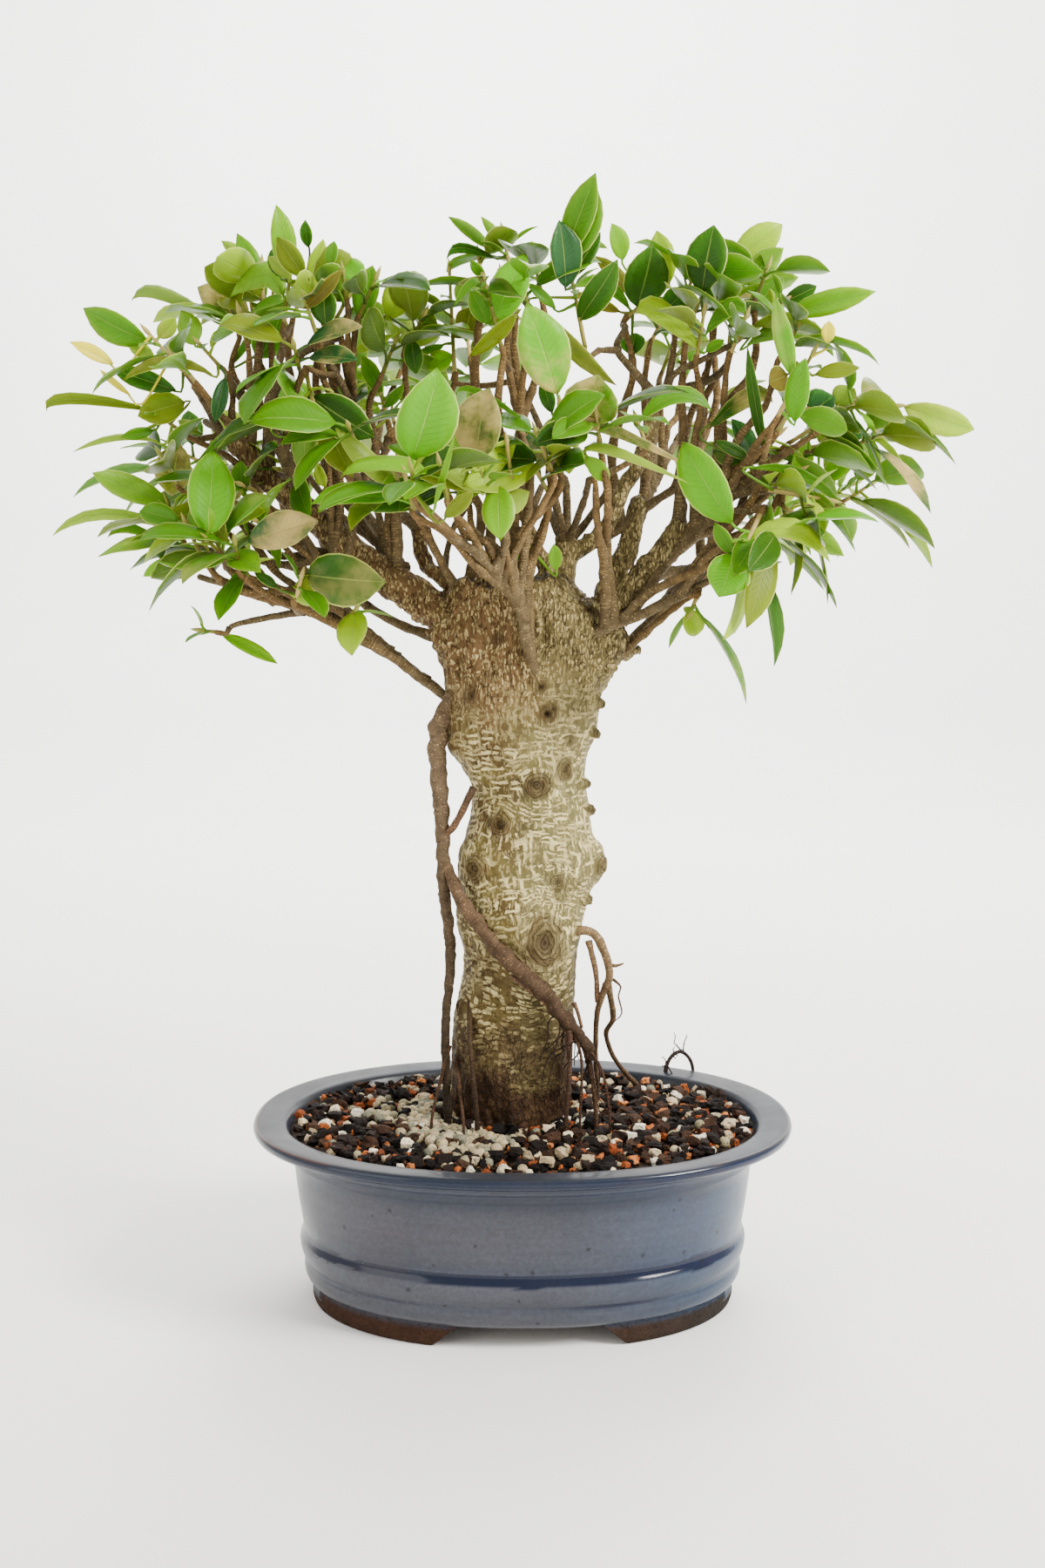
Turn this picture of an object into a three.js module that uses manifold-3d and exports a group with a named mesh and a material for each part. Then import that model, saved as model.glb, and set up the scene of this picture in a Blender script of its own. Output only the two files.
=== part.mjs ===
// A tiger bark ficus bonsai in an oval glazed pot, in millimetres, +Z up, seen from -Y.
import * as THREE from "three";
import { mergeVertices } from "three/addons/utils/BufferGeometryUtils.js";
import Module from "manifold-3d";

const wasm = await Module();
wasm.setup();

// Where the pot stands, so that the origin is below the middle of the whole plant
const POT_PLACE = [8.4, -6.1, 0];

// The front sketch: a plane across the sight line, 1020 mm from an eye that looks slightly down
const EYE = new THREE.Vector3(0, -1015, 401.5);
const EYE_PITCH = THREE.MathUtils.degToRad(5.8);
const SKETCH_DISTANCE = 1020;

// The pot: half widths at their heights, up the outer wall and down the inner wall
const POT_OVAL = 31;
const POT_CORNER_POWER = 2.2;
const POT_SEGMENTS = 32;
const POT_UNDERSIDE = 12;
const POT_WALL_OUTSIDE = [
  [122, POT_UNDERSIDE], [126.5, 15], [127.4, 20], [127, 25], [129.7, 36], [128, 44.5],
  [130.8, 64], [134, 89.5], [139, 96.5], [154, 99.8], [156, 102.5], [154.5, 105.5],
];
const POT_WALL_INSIDE = [[138, 104.2], [134, 96.5], [128, 85.5], [120, 19]];
const POT_FLOOR = 19;

// The unglazed foot ring and the arch that parts it at front and back
const FOOT_RING = [[122.8, 13.5], [123, 5], [122.5, 0], [111, 0], [110, 13.5]];
const ARCH_HALF_WIDTH_LOW = 54;
const ARCH_HALF_WIDTH_HIGH = 37.5;
const ARCH_SHIFT = 4;
const ARCH_CUT_DEPTH = 300;

// The drain holes and the screens over them
const DRAIN_SPACING = 62;
const DRAIN_RADIUS = 8;
const DRAIN_SIDES = 8;
const DRAIN_CUT_HEIGHT = 20;
const SCREEN_SIDE = 30;
const SCREEN_THICKNESS = 1.2;
const SCREEN_CELLS = 2;
const SCREEN_BAR = 2;

// Gaps that keep neighbours apart
const GAP = 0.35;
const SOIL_WALL_GAP = 0.5;
const STEM_HOLE_GAP = 0.5;
const LEAF_CLEARANCE = 0.7;

// The soil: its outline, its mound and its granules
const SOIL_EDGE_HEIGHT = 100.5;
const SOIL_MOUND = 3.5;
const SOIL_RELIEF = 0.9;
const SOIL_RINGS = [0.35, 0.62, 0.85];
const GRANULE_SEED = 4711;
const GRANULE_COUNT = 14;
const GRANULE_RADIUS = [2.6, 4.6];
const GRANULE_FIRST = 6;
const GRANULE_SPREAD = 0.9;
const ROOT_LOOP = [
  [81, -166, 92], [83, -161, 92], [87, -155, 93], [92, -154, 94], [97, -160, 95], [99, -166, 95],
];
const ROOT_LOOP_THICKNESS = [2.6, 2.2];
const ROOT_LOOP_SUNK = 8;

// The trunk's silhouette on the sketch: height, left edge, right edge
const TRUNK_SILHOUETTE = [
  [-195, -39, 26], [-172, -40.5, 27], [-152, -40.5, 28], [-135, -39.5, 29], [-111, -34.5, 30.5],
  [-95, -33.5, 32], [-77, -38, 35], [-60, -36.5, 40], [-50, -38, 46], [-37, -36.5, 46],
  [-28, -32.5, 40], [-9, -29, 38], [-1, -29, 36], [10, -34.5, 36], [18, -42, 37], [30, -45, 42.5],
  [50, -44, 45], [63, -44.5, 51.5], [74, -47.5, 58], [84, -52, 60], [97, -50, 52], [112, -41, 30],
];
const TRUNK_SIDES = 12;
const TRUNK_DEPTH_RATIO = 0.9;
const TRUNK_MOST_HALF_DEPTH = 33;
const TRUNK_LUMPS = 0.06;
const TRUNK_LUMP_PITCH = 17;
const TRUNK_BURIED = [[93.5, 1.04], [79.5, 0.92], [67.5, 0.7]];

// Knots on the trunk: place on the sketch, radius and how far each stands out
const TRUNK_KNOTS = [
  [25.5, 8, 6, 3], [-13.5, -23, 6, 3], [-28.5, -48.5, 7.5, 3.5], [14.5, -92, 11, 2], [46, -47, 7, 4],
];

// Wood that was drawn by hand: points on the sketch with their depth, then the first and last thickness
const BRANCHES = [
  // The left limb and what rises from it
  [[[-15, 80, 0], [-45, 97, 0], [-80, 120, 0], [-103, 138, 2], [-125, 158, 4], [-145, 176, 4],
    [-158, 190, 2], [-167, 197, 0]], 24, 10],
  [[[-160, 192, 2], [-175, 203, 5], [-182, 208, 18]], 5, 4],
  [[[-157, 189, 2], [-155, 211, 0], [-164, 225, -2]], 6, 4.5],
  [[[-172, 200, 4], [-182, 218, 0], [-188, 227, -6]], 4.5, 3.5],
  [[[-124, 155, 4], [-134, 182, -12], [-141, 198, -20], [-145, 214, -20], [-144, 227, -15]], 9, 6],
  [[[-145, 225, -15], [-139, 245, -18], [-137, 256, -19]], 5, 3.5],
  [[[-144, 222, -16], [-134, 241, -25], [-120, 251, -30], [-106, 256, -22]], 5, 4],
  [[[-119, 251, -29], [-110, 240, -28], [-98, 219, -24], [-84, 198, -12], [-80, 192, -4]], 4.5, 3.5],
  [[[-108, 255, -23], [-103, 262, -26], [-100, 270, -29]], 3.5, 3],
  // The fan over the left of the trunk
  [[[-30, 95, 2], [-45, 118, 8], [-55, 125, 14], [-60, 146, 24], [-61, 156, 29], [-61, 172, 36]], 11, 6],
  [[[-60, 148, 24], [-82, 162, 4], [-91, 171, -6], [-102, 185, -14], [-111, 194, -19]], 7, 4],
  [[[-109, 194, -18], [-118, 202, -22], [-130, 204, -24]], 3.5, 3],
  [[[-40, 100, 4], [-63, 116, 8], [-76, 129, 10], [-97, 156, 14], [-108, 170, 18], [-118, 196, 26]], 6, 4],
  [[[-84, 139, 11.5], [-98, 149, 24], [-110, 160, 34], [-124, 178, 48]], 5, 3.5],
  [[[-80, 130, 8], [-82, 152, 4], [-87, 167, 0], [-82, 181, -3], [-78, 198, -5]], 4.5, 3.5],
  [[[-38, 112, -8], [-52, 137, -22], [-56, 150, -38], [-63, 156, -50]], 5, 3.5],
  [[[-46, 118, 6], [-40, 146, 14], [-29, 163, 20]], 4, 3],
  [[[-103, 134, 0], [-139, 131, -2], [-148, 140, -5], [-158, 149, -8], [-166, 152, -10]], 5, 3],
  [[[-100, 132, -4], [-135, 126, -6], [-154, 129, -7], [-170, 132, -8], [-186, 136, -10]], 5, 3.5],
  [[[-142, 104, -6], [-161, 116, -16], [-170, 124, -36]], 4.5, 3],
  // The lowest branch on the left
  [[[-30, 40, 0], [-41, 48, 0], [-55, 59, -2], [-76, 76, -3], [-91, 87, -3], [-102, 97, -4],
    [-119, 98, -5], [-133, 102, -5], [-147, 108, -6], [-168, 114, -7], [-186, 119, -8]], 9, 4],
  [[[-125, 99, -5], [-149, 95, -5], [-163, 92, -5], [-168, 90, -5]], 4, 3],
  [[[-40, 80, 10], [-55, 86, 14], [-69, 91, 20], [-88, 101, 28]], 7, 5],
  // The thin branch in front of the trunk
  [[[8, 62, -26], [2, 83, -36], [0, 97, -42], [-5, 108, -48], [-14, 118, -58], [-27, 133, -72],
    [-38, 141, -84], [-50, 153, -96], [-58, 161, -104]], 6.5, 3.5],
  [[[-14, 118, -58], [-12, 128, -62], [-10, 140, -67], [-12, 149, -71]], 3.5, 3],
  [[[-2, 102, -44], [-6, 121, -38]], 6, 5],
  // The middle
  [[[15, 95, 0], [14, 122, -2], [8, 135, -6], [3, 152, -12], [-1, 161, -20]], 11, 6],
  [[[4, 152, -12], [11, 171, 2]], 4.5, 4],
  [[[7, 128, -4], [-7, 155, 12]], 4, 3.5],
  // The hub on the right of the middle
  [[[20, 95, 4], [24, 118, 4], [25, 141, 4]], 15, 13],
  [[[25, 135, 4], [18, 167, -18], [15, 180, -36], [17, 190, -52]], 5, 3.5],
  [[[25, 136, 4], [12, 162, 22]], 5, 4],
  [[[25, 136, 4], [25, 171, 12], [20, 180, 14], [10, 205, 8], [-2, 232, 0], [-7, 252, -8],
    [-6, 272, -13]], 5, 3],
  [[[25, 136, 4], [35, 162, -26], [38, 174, -50]], 4.5, 3.5],
  [[[25, 135, 4], [45, 162, 16], [50, 172, 22]], 4.5, 4],
  [[[25, 131, 4], [43, 142, 0], [53, 158, -5], [60, 173, -8], [66, 183, -10], [71, 195, -12],
    [75, 208, -12], [76, 225, -10]], 10, 8],
  [[[25, 129, 4], [53, 145, 10], [67, 156, 14], [74, 161, 14], [85, 168, 12], [100, 178, 6],
    [116, 180, -8]], 7, 4],
  // The two thick limbs on the right
  [[[42, 90, 6], [53, 119, 10], [60, 135, 13], [64, 151, 15], [67, 163, 15]], 16, 10],
  [[[38, 78, -2], [55, 104, -2], [69, 119, -4], [81, 132, -6], [90, 150, -8]], 20, 12],
  [[[80, 128, -6], [95, 140, -10], [106, 153, -16], [112, 159, -22]], 9, 6],
  [[[111, 157, -22], [122, 165, -34], [132, 168, -42]], 4.5, 3.5],
  [[[111, 157, -22], [120, 157, -44], [130, 156, -60]], 4, 3],
  [[[35, 84, -22], [53, 92, -26], [68, 97, -28], [81, 104, -28], [93, 109, -28], [106, 116, -29],
    [123, 121, -30]], 7, 3.5],
  [[[60, 95, -10], [74, 115, -12], [80, 124, -10]], 7, 6],
  [[[46, 64, 4], [64, 84, 8], [74, 94, 12], [85, 105, 16], [95, 117, 22], [104, 129, 28],
    [111, 140, 34]], 7, 4],
  // The knobby hub at the upper right
  [[[74, 222, -10], [91, 227, -6], [106, 231, 0], [116, 238, 6]], 5, 4],
  [[[82, 226, -9], [88, 236, -12], [104, 244, -13], [118, 251, -12], [127, 257, -11]], 4, 3],
  [[[75, 224, -10], [63, 238, -16], [54, 250, -16], [59, 262, -4]], 5, 3.5],
  [[[55, 249, -16], [44, 249, -28]], 4, 3],
  // The outer right
  [[[116, 180, -8], [132, 185, -10], [142, 189, -9], [155, 191, -7]], 4, 3.5],
  [[[141, 189, -9], [143, 202, -14], [150, 211, -18]], 3.5, 3],
  // Limbs at the back, which the front doesn't show
  [[[-70, 122, 4], [-86, 150, 45], [-106, 172, 86]], 9, 4],
  [[[0, 110, 10], [-6, 150, 50], [-20, 190, 104]], 10, 4],
  [[[-12, 172, 76], [-22, 214, 92], [-28, 236, 100]], 5, 3.5],
  [[[60, 135, 13], [72, 165, 50], [88, 196, 92]], 9, 4],
  [[[74, 168, 54], [76, 205, 66], [78, 228, 76]], 5, 3.5],
  [[[74, 120, 0], [98, 124, 40], [116, 134, 82]], 8, 4],
  [[[-100, 132, 6], [-122, 134, 40], [-138, 140, 80]], 7, 3.5],
  [[[104, 129, 30], [138, 142, 46], [160, 156, 52]], 5, 3.5],
  [[[-139, 170, 6], [-158, 180, 34], [-172, 182, 50]], 5, 3.5],
];

// Aerial roots, drawn as the branches are, with a thickness for each point
const AERIAL_ROOTS = [
  { points: [[-40, 52, -6], [-49, 25, -10], [-46, -20, -14], [-45.5, -55, -16], [-41.5, -96, -19],
    [-44, -135, -19], [-44, -167, -21], [-43, -188, -24]],
  thickness: [9, 11, 8, 7, 6, 5, 5, 5], inSoil: true },
  { points: [[-28, -2, -22], [-38, -22, -20], [-45, -30, -14]], thickness: [4, 4, 4], inSoil: false },
  { points: [[-44, -47, -15], [-36, -65, -27], [-25, -81, -32], [-13, -96, -34], [0, -108, -35],
    [12, -120, -35], [26, -137, -34], [38, -151, -30], [38, -160, -28]],
  thickness: [6, 7, 8, 8.5, 9, 9, 8, 6, 4], inSoil: false },
  { points: [[36, -150, -30], [40, -168, -28], [42, -188, -26]], thickness: [4, 3, 3], inSoil: true },
  { points: [[27, -139, -34], [27, -165, -36], [25, -192, -36]], thickness: [4, 2.6, 2.6], inSoil: true },
  { points: [[14, -122, -36], [9, -150, -40], [12, -192, -42]], thickness: [3.5, 2.4, 2.4], inSoil: true },
  { points: [[26, -86, -10], [36, -84, -12], [43, -88, -13], [48, -99, -14], [50, -110, -13],
    [48, -117, -12]], thickness: [5, 5, 5, 5, 4.5, 4.5], inSoil: false },
  { points: [[48, -115, -12], [43, -131, -4], [42, -152, 10], [43, -180, 24]],
    thickness: [4, 3.5, 3, 3], inSoil: true },
  { points: [[49, -115, -12], [52, -134, 6], [48, -143, 16], [52, -156, 34], [60, -167, 50],
    [66, -174, 58]], thickness: [4, 3.5, 3, 3, 3, 3], inSoil: true },
  { points: [[38, -90, -12], [42, -108, -12], [43, -125, -7]], thickness: [3.5, 3, 3], inSoil: false },
  { points: [[-30, -120, -12], [-30, -150, -32], [-26, -194, -38]], thickness: [4, 3, 3], inSoil: true },
];
const ROOT_BURIED_HEIGHT = 87.5;

// How a twig reaches for a spray: its thickness, its straight last stretch, and its liking for lower wood
const TWIG_THICKNESS = 3;
const TWIG_LAST_STRETCH = 5;
const TWIG_CLIMB_COST = 0.8;
const TWIG_BENDS_FROM = 25;
const TWIG_SAG = 0.06;
const TWIG_THICKENING = 1 / 60;
const SUNK_ROOT_SHARE = 0.5;

// Leaf proportions
const SHOOT_THICKNESS = [3, 2];
const PETIOLE_HALF_THICKNESS = [0.4, 0.75];
const BLADE_KEEL = 1.1;
const BLADE_BOW = 0.09;
const BROAD_STATIONS = [[0.2, 0.74], [0.5, 1], [0.8, 0.66]];
const SLIM_STATIONS = [[0.3, 0.95], [0.72, 0.8]];
const BROAD_FROM_WIDTH = 12;
const SHORT_PETIOLE = 5;
const TIP_TILT = [-0.5, 0.25];
const BLADE_ROLL = 0.5;
const ROOT_SHARES = [0.12, 0.98];
const ROOT_CHOICES = 25;
const DEPTH_STEPS = [0, -4, 4, -8, 8, -12, 12, -16, 16, -21, 21, -27, 27, -34, 34, -42];

// Leafy sprays: the green shoot, then its leaves as base, tip and width on the sketch, with a middle
// point where the leaf curves sideways. A width below zero marks a leaf that shows its underside.
const SPRAYS = [
  { name: "far_left_high", shoot: [[-192, 234, -10], [-214, 258, -18]],
    leaves: [[-215, 254, -253, 273, 17], [-235, 241, -260, 254, 8], [-225, 223, -243, 238, 4],
      [-211, 244, -227, 255, 9], [-209, 256, -199, 268, 10], [-199, 226, -236, 238, 12]] },
  { name: "left_fork", shoot: [[-173, 239, -5], [-184, 251, -12]],
    leaves: [[-178, 235, -230, 231, 7, -206, 242], [-188, 252, -196, 272, -14],
      [-171, 233, -177, 207, 9]] },
  { name: "left_crown", shoot: [[-150, 240, 10], [-159, 294, 20]],
    leaves: [[-176, 266, -224, 276, -8, -211, 283], [-157, 267, -187, 286, 20],
      [-148, 277, -164, 317, 13], [-159, 300, -173, 312, -7], [-160, 287, -167, 305, 12],
      [-166, 241, -145, 274, 5], [-151, 244, -138, 271, 20]] },
  { name: "crown_left_front", shoot: [[-137, 264, -20], [-134, 289, -28]],
    leaves: [[-138, 278, -168, 279, -15, -148, 293], [-139, 291, -142, 310, 10],
      [-135, 291, -141, 333, 14], [-125, 292, -141, 314, 13], [-133, 290, -146, 303, -9]] },
  { name: "crown_left_mid", shoot: [[-131, 269, -5], [-124, 291, 0]],
    leaves: [[-123, 308, -125, 324, 7], [-123, 291, -114, 313, 9]] },
  { name: "crown_left_tip", shoot: [[-101, 278, -30], [-103, 292, -35]],
    leaves: [[-111, 297, -108, 312, 7]] },
  { name: "left_top_branchlet", shoot: [[-118, 257, -38], [-124, 275, -44]],
    leaves: [[-125, 273, -103, 296, 8], [-113, 263, -114, 286, 15]] },
  { name: "left_mid_top", shoot: [[-101, 261, -15], [-77, 269, -10]],
    leaves: [[-93, 267, -86, 298, 15], [-77, 267, -66, 295, 17], [-74, 258, -100, 247, -6],
      [-64, 255, -61, 235, 11]] },
  { name: "top_mid", shoot: [[-39, 235, 0], [-42, 294, 10]],
    leaves: [[-49, 262, -60, 273, 11], [-45, 263, -73, 254, -12], [-45, 259, -74, 256, -5],
      [-45, 252, -60, 248, 5], [-40, 246, -55, 238, 12], [-33, 258, -29, 274, 15]] },
  { name: "top_centre", shoot: [[-12, 250, -50], [-22, 290, -60]],
    leaves: [[-18, 264, 2, 305, 21], [-19, 264, -30, 284, 11], [-3, 270, -31, 245, 9],
      [-22, 291, -30, 301, 6], [-20, 291, -38, 287, 5], [-24, 286, -40, 273, 5, -30, 287]] },
  { name: "top_spire", shoot: [[-5, 285, -15], [-11, 315, -10]],
    leaves: [[-18, 307, -43, 326, -7], [-10, 308, -24, 326, -6], [-16, 302, -43, 300, 6, -37, 308]] },
  { name: "top_right_front", shoot: [[36, 250, -40], [27, 297, -50]],
    leaves: [[28, 301, 42, 344, 22], [25, 305, 42, 351, 17], [25, 285, 21, 324, 18],
      [29, 291, 45, 317, 10], [32, 266, 55, 301, 16], [19, 273, 2, 288, 6], [7, 274, 54, 228, 10]] },
  { name: "top_right", shoot: [[61, 268, 5], [77, 285, 0]],
    leaves: [[58, 301, 51, 322, 11], [66, 274, 75, 310, 25], [65, 279, 41, 304, 9],
      [62, 272, 27, 284, 8, 45, 288], [56, 271, 27, 283, 7], [84, 287, 77, 318, 15],
      [81, 271, 95, 284, 14], [63, 246, 65, 259, 14]] },
  { name: "right_top", shoot: [[118, 246, 10], [123, 299, 20]],
    leaves: [[121, 264, 109, 307, 13], [121, 300, 150, 322, 18], [127, 287, 150, 308, -15],
      [130, 269, 150, 292, 14]] },
  { name: "right_top_inner", shoot: [[100, 245, -15], [104, 269, -20]],
    leaves: [[103, 282, 110, 321, 23], [105, 258, 128, 269, 10, 120, 274], [105, 248, 116, 255, 6],
      [102, 249, 65, 269, 13, 77, 272]] },
  { name: "right_high", shoot: [[134, 261, -10], [151, 278, -15]],
    leaves: [[150, 277, 169, 286, 11], [153, 270, 203, 283, 14], [129, 252, 179, 245, -13, 158, 262]] },
  { name: "right_upper_outer", shoot: [[157, 215, -20], [213, 217, -30]],
    leaves: [[219, 217, 260, 203, 17], [207, 213, 235, 191, 11], [180, 217, 191, 227, -17],
      [165, 212, 179, 223, 19]] },
  { name: "right_upper_front", shoot: [[146, 210, -60], [166, 246, -65]],
    leaves: [[155, 234, 145, 280, 11], [156, 208, 162, 245, 14], [152, 235, 141, 230, 15],
      [175, 253, 176, 266, 8], [168, 235, 194, 239, 9]] },
  { name: "right_mid", shoot: [[125, 183, -25], [146, 200, -30]],
    leaves: [[107, 204, 144, 219, 11, 130, 223], [139, 191, 129, 252, 7], [133, 187, 120, 210, 11],
      [130, 187, 110, 197, 7], [126, 186, 109, 191, 11], [141, 191, 139, 205, 6],
      [133, 179, 124, 169, 7], [142, 167, 134, 179, 6]] },
  { name: "right_outer", shoot: [[165, 193, -5], [195, 199, 0]],
    leaves: [[174, 174, 192, 192, 13], [187, 195, 226, 167, 4, 206, 197], [173, 193, 174, 212, 12],
      [183, 196, 195, 207, 13]] },
  { name: "right_low_outer", shoot: [[140, 169, -50], [175, 163, -60]],
    leaves: [[131, 181, 185, 157, 6, 160, 178], [168, 167, 180, 158, 5]] },
  { name: "right_low", shoot: [[137, 155, -70], [124, 130, -84]],
    leaves: [[120, 150, 91, 197, 25], [121, 132, 110, 150, 9], [121, 132, 113, 107, 25],
      [129, 140, 177, 127, 12, 155, 146]] },
  { name: "right_round", shoot: [[149, 163, -30], [152, 147, -35]],
    leaves: [[152, 146, 176, 151, 21]] },
  { name: "right_limb_tip", shoot: [[131, 124, -30], [141, 126, -32]],
    leaves: [[123, 119, 147, 100, 7]] },
  { name: "right_under", shoot: [[100, 107, -32], [97, 100, -36]],
    leaves: [[95, 100, 100, 84, 13]] },
  { name: "centre_front", shoot: [[20, 197, -60], [21, 216, -72]],
    leaves: [[20, 224, 2, 276, 29], [40, 207, 43, 235, 31], [11, 198, 23, 208, -14],
      [17, 213, 11, 232, 9], [5, 205, -38, 223, 4, -26, 225]] },
  { name: "centre_right", shoot: [[39, 181, -60], [25, 201, -70]],
    leaves: [[20, 202, 99, 180, 7, 43, 206], [37, 187, 98, 171, -6, 47, 193], [37, 188, 50, 173, 10],
      [24, 194, 27, 178, 13]] },
  { name: "hub_front", shoot: [[70, 197, -55], [66, 208, -62]],
    leaves: [[67, 208, 110, 214, 10, 89, 223]] },
  { name: "centre_low", shoot: [[-15, 154, -75], [-26, 184, -86]],
    leaves: [[-27, 186, -20, 228, 27], [-26, 168, -72, 185, 10], [-24, 167, -53, 192, -11],
      [-15, 156, 4, 168, -14], [-14, 171, -13, 140, 19]] },
  { name: "centre_inner", shoot: [[-2, 168, -28], [-11, 178, -38]],
    leaves: [[-11, 178, 0, 199, 14], [-10, 171, 6, 182, 7]] },
  { name: "front_low_left", shoot: [[-61, 164, -108], [-64, 180, -116]],
    leaves: [[-63, 187, -48, 238, 34], [-51, 158, -39, 200, 4], [-45, 153, -28, 168, 9]] },
  { name: "centre_stub", shoot: [[6, 134, -24], [2, 136, -31]],
    leaves: [[2, 131, -11, 122, 6], [0, 137, -1, 122, -12], [19, 123, 18, 138, 8]] },
  { name: "left_mid_front", shoot: [[-65, 160, -55], [-72, 175, -64]],
    leaves: [[-67, 167, -108, 205, -12], [-74, 178, -81, 166, 6]] },
  { name: "left_mid_high", shoot: [[-77, 207, -5], [-81, 222, 0]],
    leaves: [[-82, 218, -103, 221, -8], [-79, 216, -68, 230, 6], [-81, 224, -92, 246, 10],
      [-86, 205, -105, 205, -5]] },
  { name: "left_dark", shoot: [[-124, 235, -50], [-121, 222, -58]],
    leaves: [[-121, 222, -85, 199, 23], [-121, 223, -130, 195, 9]] },
  { name: "left_inner", shoot: [[-117, 197, -20], [-123, 201, -26]],
    leaves: [[-123, 200, -122, 183, 12], [-118, 183, -113, 170, 7], [-143, 204, -188, 184, 7, -159, 207]] },
  { name: "limb_left", shoot: [[-158, 172, -8], [-162, 167, -14]],
    leaves: [[-160, 167, -162, 186, 11]] },
  { name: "far_left_mid", shoot: [[-194, 201, 0], [-211, 213, -5]],
    leaves: [[-211, 214, -273, 213, 7, -260, 221], [-208, 196, -259, 190, -4, -233, 199],
      [-212, 203, -231, 199, 7], [-186, 202, -198, 209, 7], [-197, 195, -202, 165, 21],
      [-194, 219, -221, 211, 18]] },
  { name: "left_low_outer", shoot: [[-194, 139, -10], [-203, 160, -15]],
    leaves: [[-203, 161, -248, 179, -15], [-196, 145, -270, 142, -7, -241, 155],
      [-206, 138, -238, 141, 6, -227, 147], [-203, 149, -220, 139, 9], [-200, 131, -218, 119, 8]] },
  { name: "left_low_front", shoot: [[-175, 134, -55], [-181, 140, -65]],
    leaves: [[-181, 142, -178, 192, 27]] },
  { name: "left_under", shoot: [[-157, 119, -28], [-160, 124, -34]],
    leaves: [[-160, 125, -175, 95, 7]] },
  { name: "left_under_low", shoot: [[-175, 87, -5], [-183, 88, -5]],
    leaves: [[-173, 86, -140, 69, 8]] },
  { name: "trunk_left", shoot: [[-130, 106, -48], [-127, 118, -56]],
    leaves: [[-124, 120, -78, 116, 30], [-131, 113, -108, 116, 13], [-133, 109, -114, 104, -7],
      [-141, 113, -154, 121, 6]] },
  { name: "trunk_left_under", shoot: [[-99, 97, -22], [-96, 100, -30]],
    leaves: [[-95, 100, -99, 74, 17]] },
  // Sprays at the back, which grow by rule alone
  { name: "back_left_high", shoot: [[-96, 208, 78], [-96, 240, 94]], leaves: [] },
  { name: "back_left", shoot: [[-112, 180, 96], [-134, 194, 124]], leaves: [] },
  { name: "back_left_low", shoot: [[-144, 144, 90], [-168, 154, 110]], leaves: [] },
  { name: "back_far_left", shoot: [[-178, 182, 56], [-200, 192, 72]], leaves: [] },
  { name: "back_middle_high", shoot: [[-30, 244, 104], [-34, 272, 116]], leaves: [] },
  { name: "back_middle", shoot: [[-24, 196, 112], [-34, 208, 146]], leaves: [] },
  { name: "back_right_high", shoot: [[80, 236, 80], [90, 264, 90]], leaves: [] },
  { name: "back_right", shoot: [[92, 202, 98], [110, 216, 124]], leaves: [] },
  { name: "back_right_low", shoot: [[120, 138, 90], [140, 150, 112]], leaves: [] },
  { name: "side_right", shoot: [[166, 160, 54], [190, 172, 60]], leaves: [] },
];

// Leaves that grow by rule: how many a spray has and how they stand on the shoot
const RULE_LEAVES_FRONT = [1, 0];
const RULE_LEAVES_BACK = 6;
const RULE_ROOT_SHARES = [0.15, 0.95];
const RULE_LENGTH = [28, 44];
const RULE_WIDTH_RATIO = 0.44;
const RULE_PETIOLE = 8;
const RULE_LEAN = 1.05;
const RULE_DROOP = 0.35;
const BACKWARD_TURN = 1.6;
const GOLDEN_TURN = THREE.MathUtils.degToRad(137.5);
const TURN_STEPS = [0, 0.7, -0.7, 1.4, -1.4, 2.1, -2.1, 2.8];
const LEAF_SEED = 90210;

// Colours
const GLAZE_COLOUR = 0x646978;
const SCREEN_COLOUR = 0x1c1c1a;
const SOIL_COLOUR = 0x6b5138;
const BARK_COLOUR = 0x7d7048;
const LEAF_HUE = 0.235;
const LEAF_LIGHTNESS = 0.33;

// Number drawn from a seeded row, the same on every run
class SeededRow {
  constructor(seed) {
    this.state = seed;
  }

  between(low, high) {
    this.state = (this.state * 16807) % 2147483647;
    return low + (high - low) * (this.state / 2147483647);
  }
}

const up = new THREE.Vector3(0, 0, 1);
const sightUp = new THREE.Vector3(0, Math.sin(EYE_PITCH), Math.cos(EYE_PITCH));
const sightAlong = new THREE.Vector3(0, Math.cos(EYE_PITCH), -Math.sin(EYE_PITCH));

// The point that the sketch shows at x, h, where it lies at a depth behind the pot's middle
function seen(x, h, depth) {
  const ray = new THREE.Vector3(x, 0, 0)
    .addScaledVector(sightUp, h)
    .addScaledVector(sightAlong, SKETCH_DISTANCE);
  return ray.multiplyScalar((depth - EYE.y) / ray.y).add(EYE);
}

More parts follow.
